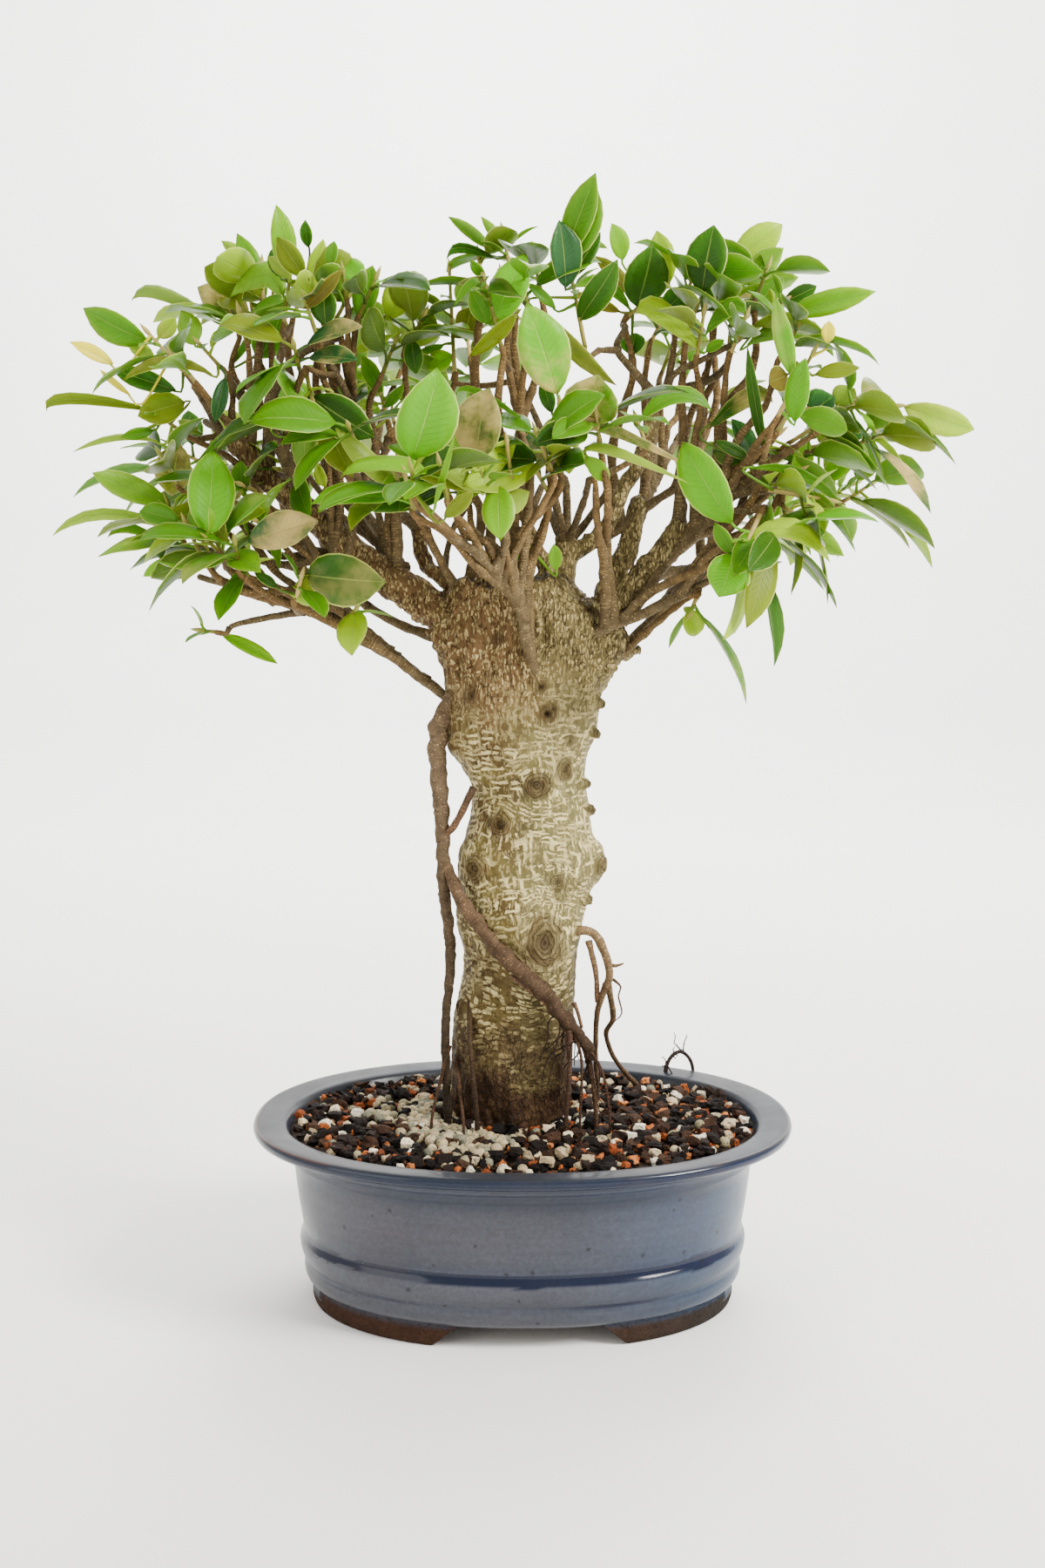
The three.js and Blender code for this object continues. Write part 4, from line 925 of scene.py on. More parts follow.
@dataclass(frozen=True)
class StemFinish(Finish):
    """Bark of limbs, twigs and roots: the stem's own tone with pale dots and rings that follow it."""

    glow: Point = (3.2, 3.3, 3.2, 1.0)
    dots: Point = (820.0, 820.0, 1.0)
    dot_share: float = 0.24
    rings: Point = (110.0, 760.0, 1.0)
    ring_share: float = 0.4
    raggedness: float = 0.0014
    depth: float = 0.0011

    def look(self, graph: Graph) -> dict[str, Any]:
        """Follow the stem by its UV map, which is in metres.

        Args:
            graph: The material's graph.

        Returns:
            What feeds each socket.
        """
        run = graph.unwrapped()
        kinds = ((self.dots, self.dot_share), (self.rings, self.ring_share))
        dots, rings = (
            graph.effect(round_spots, vector=run, spacing=spacing, share=share, raggedness=self.raggedness)
            for spacing, share in kinds
        )
        ground = graph.mottled(graph.place(), 190.0, 1.3, graph.attribute("tone"))
        pale = graph.mix(1.0, ground, self.glow, "MULTIPLY")
        relief = (dots | rings * 0.9) * 0.6 + graph.grain(520.0) * 0.7
        tone = graph.mix(dots * 0.75 | rings * 0.3, ground, pale)
        return {"Base Color": tone, "Normal": graph.bump(relief, self.depth)}


@dataclass(frozen=True)
class LeafFinish(Finish):
    """A waxy leaf: its own tone, a light midrib and side veins, a pale margin and tan patches."""

    margin: Point = (196, 210, 96)
    midrib: Point = (160, 186, 84)
    tan: Point = (182, 156, 92)
    vein_pitch: float = 13.0
    glow: float = 0.1
    depth: float = 0.0003

    def look(self, graph: Graph) -> dict[str, Any]:
        """Follow the blade by its UV map: along it first, then across it from edge to edge.

        Args:
            graph: The material's graph.

        Returns:
            What feeds each socket.
        """
        place = graph.place()
        run, across, _ = graph.split(graph.unwrapped())
        off = graph.math("ABSOLUTE", across * 2.0 - 1.0)
        ground = graph.mottled(place, 60.0, 0.3, graph.attribute("tone"))
        stripe = graph.math("ABSOLUTE", graph.math("FRACT", run * self.vein_pitch - off * 2.6) - 0.5)
        veins = graph.step(0.06, 0.0, stripe) * graph.step(0.95, 0.6, off)
        rib = graph.step(0.055, 0.02, off)
        veined = graph.mix(veins * 0.06 | rib * 0.32, ground, linear(self.midrib))
        rim = graph.step(0.92, 0.985, off) * graph.step(0.05, 0.12, run)
        rimmed = graph.mix(rim * 0.7, veined, linear(self.margin))
        blotches = graph.step(0.42, 0.66, graph.noise(place, 30.0, 5.0, 0.62))
        patch = blotches * graph.attribute("tone", "Alpha")
        relief = graph.grain(300.0) * 0.25 - (rib + veins * 0.5)
        return {
            "Base Color": graph.mix(patch, rimmed, linear(self.tan)),
            "Normal": graph.bump(relief, self.depth),
            "Subsurface Weight": self.glow,
            "Subsurface Radius": (0.004, 0.008, 0.002),
            "Subsurface Scale": 0.5,
        }


@dataclass(frozen=True)
class GlazeFinish(Finish):
    """A thick glossy glaze whose tone is set along the pot's wall, clouded, streaked and pricked."""

    pinhole: Point = (14, 13, 16)
    cloud: Point = (22, 30, 48)
    blush: Point = (62, 46, 48)
    rim_dullness: float = 0.3
    hole_share: float = 0.02
    depth: float = 0.0006
    coat: float = 0.12

    def look(self, graph: Graph) -> dict[str, Any]:
        """Cloud the wall's tone, streak it round the wall and prick it with pinholes.

        Args:
            graph: The material's graph.

        Returns:
            What feeds each socket.
        """
        place = graph.place()
        tone = graph.attribute("tone")
        clouds = graph.step(0.42, 0.72, graph.noise(place, 13.0)) * 0.5
        blushes = graph.step(0.5, 0.8, graph.noise(place, 17.0, 4.0)) * 0.45
        clouded = graph.mix(clouds, tone, graph.mix(0.5, tone, linear(self.cloud)))
        blushed = graph.mix(blushes, clouded, graph.mix(0.5, tone, linear(self.blush)))
        streaked = graph.mottled(graph.vector("MULTIPLY", place, (12.0, 12.0, 240.0)), 1.0, 0.3, blushed)
        grainy = graph.mottled(place, 420.0, 0.6, streaked)
        holes = graph.effect(
            round_spots, vector=place, spacing=(300.0,) * 3, share=self.hole_share, raggedness=0.003,
        )
        dull = (1.0 - graph.attribute("tone", "Alpha")) * self.rim_dullness
        return {
            "Base Color": graph.mix(holes * 0.7, grainy, linear(self.pinhole)),
            "Roughness": graph.noise(place, 34.0) * 0.3 + (self.roughness - 0.15) + dull,
            "Normal": graph.bump(graph.noise(place, 60.0, 1.0), self.depth, 0.4),
            "Coat Weight": self.coat,
            "Coat Roughness": 0.12,
        }


@dataclass(frozen=True)
class GritFinish(Finish):
    """Bare clay, soil and granules: a toned, pitted, dusty surface."""

    scale: float = 260.0
    amount: float = 0.7
    depth: float = 0.0006
    pit: Point = (40, 30, 22)
    pit_share: float = 0.25

    def look(self, graph: Graph) -> dict[str, Any]:
        """Mottle the tone and pit it.

        Args:
            graph: The material's graph.

        Returns:
            What feeds each socket.
        """
        place = graph.place()
        ground = graph.mottled(place, self.scale, self.amount, graph.attribute("tone"))
        pits = graph.effect(
            round_spots, vector=place, spacing=(900.0,) * 3, share=self.pit_share, raggedness=0.0005,
        )
        tone = graph.mix(pits * 0.5, ground, linear(self.pit))
        return {"Base Color": tone, "Normal": graph.bump(graph.grain(self.scale * 2) - pits, self.depth)}


@dataclass(frozen=True)
class PlainFinish(Finish):
    """One tone, a little uneven: moulded plastic or the floor."""

    tone: Point = (30, 30, 28)
    scale: float = 90.0
    amount: float = 0.5
    pebbled: bool = True
    depth: float = 0.0002

    def look(self, graph: Graph) -> dict[str, Any]:
        """Vary the tone a little, and pebble the surface where it is pebbled.

        Args:
            graph: The material's graph.

        Returns:
            What feeds each socket.
        """
        look = {"Base Color": graph.mottled(graph.place(), self.scale, self.amount, linear(self.tone))}
        if self.pebbled:
            look["Normal"] = graph.bump(graph.grain(900.0), self.depth)
        return look




@dataclass(frozen=True)
class Branch:
    """Drawn wood: points on the sketch with their depth, and the first and last thickness."""

    points: tuple[Point, ...]
    first: float
    last: float

    def path(self) -> Array:
        """Return the branch's middle line in the pot's millimetres."""
        return SKETCH.path(self.points)

    def halves(self) -> Array:
        """Return half the thickness at each point."""
        return np.linspace(self.first, self.last, len(self.points)) / 2

    def is_limb(self) -> bool:
        """Tell whether it is thick enough to be part of the trunk's skin."""
        return (self.first + self.last) / 2 >= LIMB_FROM


@dataclass(frozen=True)
class AerialRoot:
    """A root that hangs down the trunk: a thickness at each point, its first and last tones, its points."""

    thickness: Point
    tones: tuple[Point, ...]
    points: tuple[Point, ...]
    knobbly: float = 0.1


@dataclass(frozen=True)
class Spray:
    """A leafy shoot: its name, a tone letter for each leaf, its points, and its leaves on the sketch."""

    name: str
    tones: str
    shoot: tuple[Point, ...]
    leaves: tuple[Point, ...]

    def path(self) -> Array:
        """Return the shoot's middle line from where it leaves its twig.

        Returns:
            Its points, in the pot's millimetres.
        """
        path = SKETCH.path(self.shoot)
        path[0] += unit(path[1] - path[0]) * 0.35
        return path


def numbers(text: str) -> tuple[Point, ...]:
    """Read groups of numbers that commas part."""
    return tuple(tuple(map(float, group.split())) for group in text.split(",") if group.strip())


def parts_of(rows: str) -> Iterable[list[str]]:
    """Part rows at their semicolons, and each row at its bars."""
    return ([part.strip() for part in row.split("|")] for row in rows.split(";"))


def read_spray(head: str, shoot: str, leaves: str = "") -> Spray:
    """Read a spray from the parts of its row."""
    name, _, tones = head.partition(" ")
    return Spray(name, tones, numbers(shoot), numbers(leaves))


# What was drawn on the sketch, row by row. Numbers are parted by spaces, points by commas, parts by bars
# and rows by semicolons. A point is its x and h on the sketch and its depth.
LIMB_FROM = 8.4
BRANCH_ROWS = {
    "the left limb and what rises from it": """
24 10 | -15 80 0, -45 97 0, -80 120 0, -103 138 2, -125 158 4, -145 176 4, -158 190 2, -167 197 0;
5 4 | -160 192 2, -175 203 5, -182 208 18;
6 4.5 | -157 189 2, -155 211 0, -164 225 -2;
4.5 3.5 | -172 200 4, -182 218 0, -188 227 -6;
9 6 | -124 155 4, -134 182 -12, -141 198 -20, -145 214 -20, -144 227 -15;
5 3.5 | -145 225 -15, -139 245 -18, -137 256 -19;
5 4 | -144 222 -16, -134 241 -25, -120 251 -30, -106 256 -22;
4.5 3.5 | -119 251 -29, -110 240 -28, -98 219 -24, -84 198 -12, -80 192 -4;
3.5 3 | -108 255 -23, -103 262 -26, -100 270 -29""",
    "the fan over the left of the trunk": """
11 6 | -30 95 2, -45 118 8, -55 125 14, -60 146 24, -61 156 29, -61 172 36;
7 4 | -60 148 24, -82 162 4, -91 171 -6, -102 185 -14, -111 194 -19;
3.5 3 | -109 194 -18, -118 202 -22, -130 204 -24;
6 4 | -40 100 4, -63 116 8, -76 129 10, -97 156 14, -108 170 18, -118 196 26;
5 3.5 | -84 139 11.5, -98 149 24, -110 160 34, -124 178 48;
4.5 3.5 | -80 130 8, -82 152 4, -87 167 0, -82 181 -3, -78 198 -5;
5 3.5 | -38 112 -8, -52 137 -22, -56 150 -38, -63 156 -50;
4 3 | -46 118 6, -40 146 14, -29 163 20;
5 3 | -103 134 0, -139 131 -2, -148 140 -5, -158 149 -8, -166 152 -10;
5 3.5 | -100 132 -4, -135 126 -6, -154 129 -7, -170 132 -8, -186 136 -10;
4.5 3 | -142 104 -6, -161 116 -16, -170 124 -36""",
    "the lowest branch on the left": """
6.5 3.4 | -30 40 0, -41 48 0, -55 59 -2, -76 76 -3, -91 87 -3, -102 97 -4, -119 98 -5, -133 102 -5,
  -147 108 -6, -168 114 -7, -186 119 -8;
4 3 | -125 99 -5, -149 95 -5, -163 92 -5, -168 90 -5;
7 5 | -40 80 10, -55 86 14, -69 91 20, -88 101 28""",
    "the thin branch in front of the trunk": """
6.5 3.5 | 8 62 -26, 2 83 -36, 0 97 -42, -5 108 -48, -14 118 -58, -27 133 -72, -38 141 -84, -50 153 -96,
  -58 161 -104;
3.5 3 | -14 118 -58, -12 128 -62, -10 140 -67, -12 149 -71;
6 5 | -2 102 -44, -6 121 -38""",
    "the middle": """
11 6 | 15 95 0, 14 122 -2, 8 135 -6, 3 152 -12, -1 161 -20;
4.5 4 | 4 152 -12, 11 171 2;
4 3.5 | 7 128 -4, -7 155 12""",
    "the hub on the right of the middle": """
15 13 | 20 95 4, 24 118 4, 25 141 4;
5 3.5 | 25 135 4, 18 167 -18, 15 180 -36, 17 190 -52;
5 4 | 25 136 4, 12 162 22;
5 3 | 25 136 4, 25 171 12, 20 180 14, 10 205 8, -2 232 0, -7 252 -8, -6 272 -13;
4.5 3.5 | 25 136 4, 35 162 -26, 38 174 -50;
4.5 4 | 25 135 4, 45 162 16, 50 172 22;
10 8 | 25 131 4, 43 142 0, 53 158 -5, 60 173 -8, 66 183 -10, 71 195 -12, 75 208 -12, 76 225 -10;
7 4 | 25 129 4, 53 145 10, 67 156 14, 74 161 14, 85 168 12, 100 178 6, 116 180 -8""",
    "the two thick limbs on the right": """
16 10 | 42 90 6, 53 119 10, 60 135 13, 64 151 15, 67 163 15;
20 12 | 38 78 -2, 55 104 -2, 69 119 -4, 81 132 -6, 90 150 -8;
9 6 | 80 128 -6, 95 140 -10, 106 153 -16, 112 159 -22;
4.5 3.5 | 111 157 -22, 122 165 -34, 132 168 -42;
4 3 | 111 157 -22, 120 157 -44, 130 156 -60;
7 3.5 | 35 84 -22, 53 92 -26, 68 97 -28, 81 104 -28, 93 109 -28, 106 116 -29, 123 121 -30;
7 6 | 60 95 -10, 74 115 -12, 80 124 -10;
7 4 | 46 64 4, 64 84 8, 74 94 12, 85 105 16, 95 117 22, 104 129 28, 111 140 34""",
    "the knobby hub at the upper right": """
5 4 | 74 222 -10, 91 227 -6, 106 231 0, 116 238 6;
4 3 | 82 226 -9, 88 236 -12, 104 244 -13, 118 251 -12, 127 257 -11;
5 3.5 | 75 224 -10, 63 238 -16, 54 250 -16, 59 262 -4;
4 3 | 55 249 -16, 44 249 -28""",
    "the outer right": """
4 3.5 | 116 180 -8, 132 185 -10, 142 189 -9, 155 191 -7;
3.5 3 | 141 189 -9, 143 202 -14, 150 211 -18""",
    "limbs at the back, which the front doesn't show": """
9 4 | -70 122 4, -86 150 45, -106 172 86;
10 4 | 0 110 10, -6 150 50, -20 190 104;
5 3.5 | -12 172 76, -22 214 92, -28 236 100;
9 4 | 60 135 13, 72 165 50, 88 196 92;
5 3.5 | 74 168 54, 76 205 66, 78 228 76;
8 4 | 74 120 0, 98 124 40, 116 134 82;
7 3.5 | -100 132 6, -122 134 40, -138 140 80;
5 3.5 | 104 129 30, 138 142 46, 160 156 52;
5 3.5 | -139 170 6, -158 180 34, -172 182 50""",
}
ROOT_ROWS = """
9 11 8 7 6 5 5 5 | 102 84 62, 14 8 4 | -40 52 -6, -49 25 -10, -46 -20 -14, -45.5 -55 -16, -41.5 -96 -19,
  -44 -135 -19, -44 -167 -21, -43 -188 -24 | 0.2;
4 4 4 | 62 48 34, 104 76 56 | -28 -2 -22, -38 -22 -20, -45 -30 -14;
6 7 8 8.5 9 9 8 6 4 | 90 70 50, 42 29 19 | -44 -47 -15, -36 -65 -27, -25 -81 -32, -13 -96 -34, 0 -108 -35,
  12 -120 -35, 26 -137 -34, 38 -151 -30, 38 -160 -28 | 0.26;
4 3 3 | 84 62 46, 54 38 26 | 36 -150 -30, 40 -168 -28, 42 -188 -26;
4 2.6 2.6 | 66 48 36, 44 30 22 | 27 -139 -34, 27 -165 -36, 25 -192 -36;
5 5 5 5 4.5 4.5 | 116 96 68, 100 80 56 | 26 -86 -10, 36 -84 -12, 43 -88 -13, 48 -99 -14, 50 -110 -13,
  48 -117 -12;
4 3.5 3 3 | 98 78 54, 56 38 26 | 48 -115 -12, 43 -131 -4, 42 -152 10, 43 -180 24;
4 3.5 3 3 3 3 | 98 78 54, 56 38 26 | 49 -115 -12, 52 -134 6, 48 -143 16, 52 -156 34, 60 -167 50, 66 -174 58;
3.5 3 3 | 106 86 60, 104 76 56 | 38 -90 -12, 42 -108 -12, 43 -125 -7;
4 3 3 | 58 44 28, 34 23 14 | -30 -120 -12, -30 -150 -32, -26 -194 -38;
2.2 2.2 2 2 | 92 70 54, 104 76 56 | -7 -110 -34, 5.5 -119.5 -34, 14.5 -127.5 -33, 22 -137 -31;
2.2 2 1.8 | 76 56 42, 104 76 56 | 29.5 -125.5 -27, 32 -132 -27, 34 -140 -26;
2 1.6 1.6 | 64 45 32, 50 34 24 | 30 -144 -34, 34 -160 -35, 33 -192 -37;
2.2 1.8 1.6 | 64 45 32, 50 34 24 | 38 -152 -30, 46 -166 -33, 50 -190 -34;
2.4 1.8 0.9 | 98 78 56, 104 76 56 | 50 -104 -13, 53.5 -104.5 -13, 58 -103 -14;
1.5 1.2 1 0.9 0.8 | 70 52 38, 104 76 56 | 52 -112 -12, 56.5 -116.5 -10, 55 -121.5 -8, 57 -131.5 -6,
  52.5 -136.5 -2;
2.6 2 1.8 | 72 50 34, 50 34 24 | -42 -150 -20, -47 -170 -24, -52 -192 -30;
2.4 2 1.6 | 72 50 34, 50 34 24 | -38 -158 -14, -36 -176 -30, -34 -194 -40"""
# In right_low, the last leaf's golden tone g is a painted highlight.
SPRAY_ROWS = """
far_left_high myypgd | -192 234 -10, -214 258 -18 | -215 254 -253 273 17, -235 241 -260 254 8,
  -225 223 -243 238 4, -211 244 -227 255 9, -209 256 -199 268 10, -199 226 -236 238 12;
left_fork obt | -173 239 -5, -184 251 -12 | -178 235 -230 231 7 -206 242, -188 252 -196 272 -14,
  -171 233 -177 207 9;
left_crown sDmpmmm | -150 240 10, -159 294 20 | -176 266 -224 276 -8 -211 283, -157 267 -187 286 20,
  -148 277 -164 317 13, -159 300 -173 312 -7, -160 287 -167 305 12, -166 241 -145 274 5,
  -151 244 -138 271 20;
crown_left_front bdbop | -137 264 -20, -134 289 -28 | -138 278 -168 279 -15 -148 293, -139 291 -142 310 10,
  -135 291 -141 333 14, -125 292 -141 314 13, -133 290 -146 303 -9;
crown_left_mid dg | -131 269 -5, -124 291 0 | -123 308 -125 324 7, -123 291 -114 313 9;
crown_left_tip m | -101 278 -30, -103 292 -35 | -111 297 -108 312 7;
left_top_branchlet nd | -118 257 -38, -124 275 -44 | -125 273 -103 296 8, -113 263 -114 286 15;
left_mid_top mggd | -101 261 -15, -77 269 -10 | -93 267 -86 298 15, -77 267 -66 295 17, -74 258 -100 247 -6,
  -64 255 -61 235 11;
top_mid opmmbn | -39 235 0, -42 294 10 | -49 262 -60 273 11, -45 263 -73 254 -12, -45 259 -74 256 -5,
  -45 252 -60 248 5, -40 246 -55 238 12, -33 258 -29 274 15;
top_centre vmomdm | -12 250 -50, -22 290 -60 | -18 264 2 305 21, -19 264 -30 284 11, -3 270 -31 245 9,
  -22 291 -30 301 6, -20 291 -38 287 5, -24 286 -40 273 5 -30 287;
top_spire mbd | -5 285 -15, -11 315 -10 | -18 307 -43 326 -7, -10 308 -24 326 -6, -16 302 -43 300 6 -37 308;
top_right_front mmtddmo | 36 250 -40, 27 297 -50 | 28 301 42 344 22, 25 305 42 351 17, 25 285 21 324 18,
  29 291 45 317 10, 32 266 55 301 16, 19 273 2 288 6, 7 274 54 228 10;
top_right bdnmngdd | 61 268 5, 77 285 0 | 58 301 51 322 11, 66 274 75 310 25, 65 279 41 304 9,
  62 272 27 284 8 45 288, 56 271 27 283 7, 84 287 77 318 15, 81 271 95 284 14, 63 246 65 259 14;
right_top bgbm | 118 246 10, 123 299 20 | 121 264 109 307 13, 121 300 150 322 18, 127 287 150 308 -15,
  130 269 150 292 14;
right_top_inner dmmg | 100 245 -15, 104 269 -20 | 103 282 110 321 23, 105 258 128 269 10 120 274,
  105 248 116 255 6, 102 249 65 269 13 77 272;
right_high dbm | 134 261 -10, 151 278 -15 | 150 277 169 286 11, 153 270 203 283 14,
  129 252 179 245 -13 158 262;
right_upper_outer gopt | 157 215 -20, 213 217 -30 | 219 217 260 203 17, 207 213 235 191 11,
  180 217 191 227 -17, 165 212 179 223 19;
right_upper_front vvnyo | 146 210 -60, 166 246 -65 | 155 234 145 280 11, 156 208 162 245 14,
  152 235 141 230 15, 175 253 176 266 8, 168 235 194 239 9;
right_mid Ddtddbmm | 125 183 -25, 146 200 -30 | 107 204 144 219 11 130 223, 139 191 129 252 7,
  133 187 120 210 11, 130 187 110 197 7, 126 186 109 191 11, 141 191 139 205 6, 133 179 124 169 7,
  142 167 134 179 6;
right_outer bpot | 165 193 -5, 195 199 0 | 174 174 192 192 13, 187 195 226 167 4 206 197,
  173 193 174 212 12, 183 196 195 207 13;
right_low_outer mm | 140 169 -50, 175 163 -60 | 131 181 185 157 6 160 178, 168 167 180 158 5;
right_low vmvg | 137 155 -70, 124 130 -84 | 120 150 91 197 25, 121 132 110 150 9, 121 132 113 107 25,
  129 140 177 127 12 155 146;
right_round d | 149 163 -30, 152 147 -35 | 152 146 176 151 21;
right_limb_tip t | 131 124 -30, 141 126 -32 | 123 119 147 100 7;
right_under g | 100 107 -32, 97 100 -36 | 95 100 100 84 13;
centre_front VMpdm | 20 197 -60, 21 216 -72 | 20 224 2 276 29, 40 207 43 235 31, 11 198 23 208 -14,
  17 213 11 232 9, 5 205 -38 223 4 -26 225;
centre_right Dpbo | 39 181 -60, 25 201 -70 | 20 202 99 180 7 43 206, 37 187 98 171 -6 47 193,
  37 188 50 173 10, 24 194 27 178 13;
hub_front m | 70 197 -55, 66 208 -62 | 67 208 110 214 10 89 223;
centre_low Doppb | -15 154 -75, -26 184 -86 | -27 186 -20 228 27, -26 168 -72 185 10, -24 167 -53 192 -11,
  -15 156 4 168 -14, -14 171 -13 140 19;
centre_inner om | -2 168 -28, -11 178 -38 | -11 178 0 199 14, -10 171 6 182 7;
front_low_left vbo | -61 164 -108, -64 180 -116 | -63 187 -48 238 34, -51 158 -39 200 4, -45 153 -28 168 9;
centre_stub mpb | 6 134 -24, 2 136 -31 | 2 131 -11 122 6, 0 137 -1 122 -12, 19 123 18 138 8;
left_mid_front pb | -65 160 -55, -72 175 -64 | -67 167 -108 205 -12, -74 178 -81 166 6;
left_mid_high pmmp | -77 207 -5, -81 222 0 | -82 218 -103 221 -8, -79 216 -68 230 6, -81 224 -92 246 10,
  -86 205 -105 205 -5;
left_dark dt | -124 235 -50, -121 222 -58 | -121 222 -85 199 23, -121 223 -130 195 9;
left_inner bgm | -117 197 -20, -123 201 -26 | -123 200 -122 183 12, -118 183 -113 170 7,
  -143 204 -188 184 7 -159 207;
limb_left m | -158 172 -8, -162 167 -14 | -160 167 -162 186 11;
far_left_mid opmmNo | -194 201 0, -211 213 -5 | -211 214 -273 213 7 -260 221, -208 196 -259 190 -4 -233 199,
  -212 203 -231 199 7, -186 202 -198 209 7, -197 195 -202 165 21, -194 219 -221 211 18;
left_low_outer bpmmb | -194 139 -10, -203 160 -15 | -203 161 -248 179 -15, -196 145 -270 142 -7 -241 155,
  -206 138 -238 141 6 -227 147, -203 149 -220 139 9, -200 131 -218 119 8;
left_low_front v | -175 134 -55, -181 140 -65 | -181 142 -178 192 27;
left_under m | -157 119 -28, -160 124 -34 | -160 125 -175 95 7;
left_under_low b | -175 87 -5, -183 88 -5 | -173 86 -140 69 8;
trunk_left dopd | -130 106 -48, -127 118 -56 | -124 120 -78 116 30, -131 113 -108 116 13,
  -133 109 -114 104 -7, -141 113 -154 121 6;
trunk_left_under g | -99 97 -22, -96 100 -30 | -95 100 -99 74 17;
back_left_high | -96 208 78, -96 240 94;
back_left | -112 180 96, -134 194 124;
back_left_low | -144 144 90, -168 154 110;
back_far_left | -178 182 56, -200 192 72;
back_middle_high | -30 244 104, -34 272 116;
back_middle | -24 196 112, -34 208 146;
back_right_high | 80 236 80, 90 264 90;
back_right | 92 202 98, 110 216 124;
back_right_low | 120 138 90, 140 150 112;
side_right | 166 160 54, 190 172 60"""
BRANCHES = [Branch(numbers(points), *numbers(ends)[0])
            for rows in BRANCH_ROWS.values() for ends, points in parts_of(rows)]
AERIAL_ROOTS = [AerialRoot(numbers(thickness)[0], numbers(tones), numbers(points), *map(float, knobbly))
                for thickness, tones, points, *knobbly in parts_of(ROOT_ROWS)]
SPRAYS = [read_spray(*parts) for parts in parts_of(SPRAY_ROWS)]




def ring_of(name: str, sides: int, row: Point, power: float) -> Piece:
    """Add a filled circle and shape it to an oval with fuller corners, in mm round the pot's middle.

    Args:
        name: The new piece's name.
        sides: How many corners it has.
        row: Half its length, half its width, its height and its sideways place.
        power: 2 for an ellipse, more for fuller corners.

    Returns:
        The piece, left in edit mode with its one face selected.
    """
    piece = fresh("circle", vertices=sides, radius=1.0, fill_type="NGON")
    piece.name = piece.data.name = name
    half_x, half_y, height, middle = row
    for vertex in piece.data.vertices:
        angle = math.atan2(vertex.co.y, vertex.co.x)
        c, s = math.cos(angle), math.sin(angle)
        x, y = (math.copysign(abs(share) ** (2 / power), share) for share in (c, s))
        vertex.co = (middle + half_x * x, half_y * y, height)
    open_up()
    return piece


def draw_up(rows: Sequence[Point], filled: bool = True) -> None:
    """Extrude the selected ring from row to row, scaling it at each.

    Args:
        rows: Half length, half width, height and sideways place of the start and of each later ring.
        filled: Whether the ring has a face, or only its edges.
    """
    extrude = bpy.ops.mesh.extrude_region_move if filled else bpy.ops.mesh.extrude_edges_move
    for before, now in zip(rows, rows[1:]):
        extrude(TRANSFORM_OT_translate={"value": (now[3] - before[3], 0.0, now[2] - before[2])})
        scale = (now[0] / before[0], now[1] / before[1], 1.0)
        bpy.ops.transform.resize(value=scale, center_override=(now[3], 0.0, now[2]))


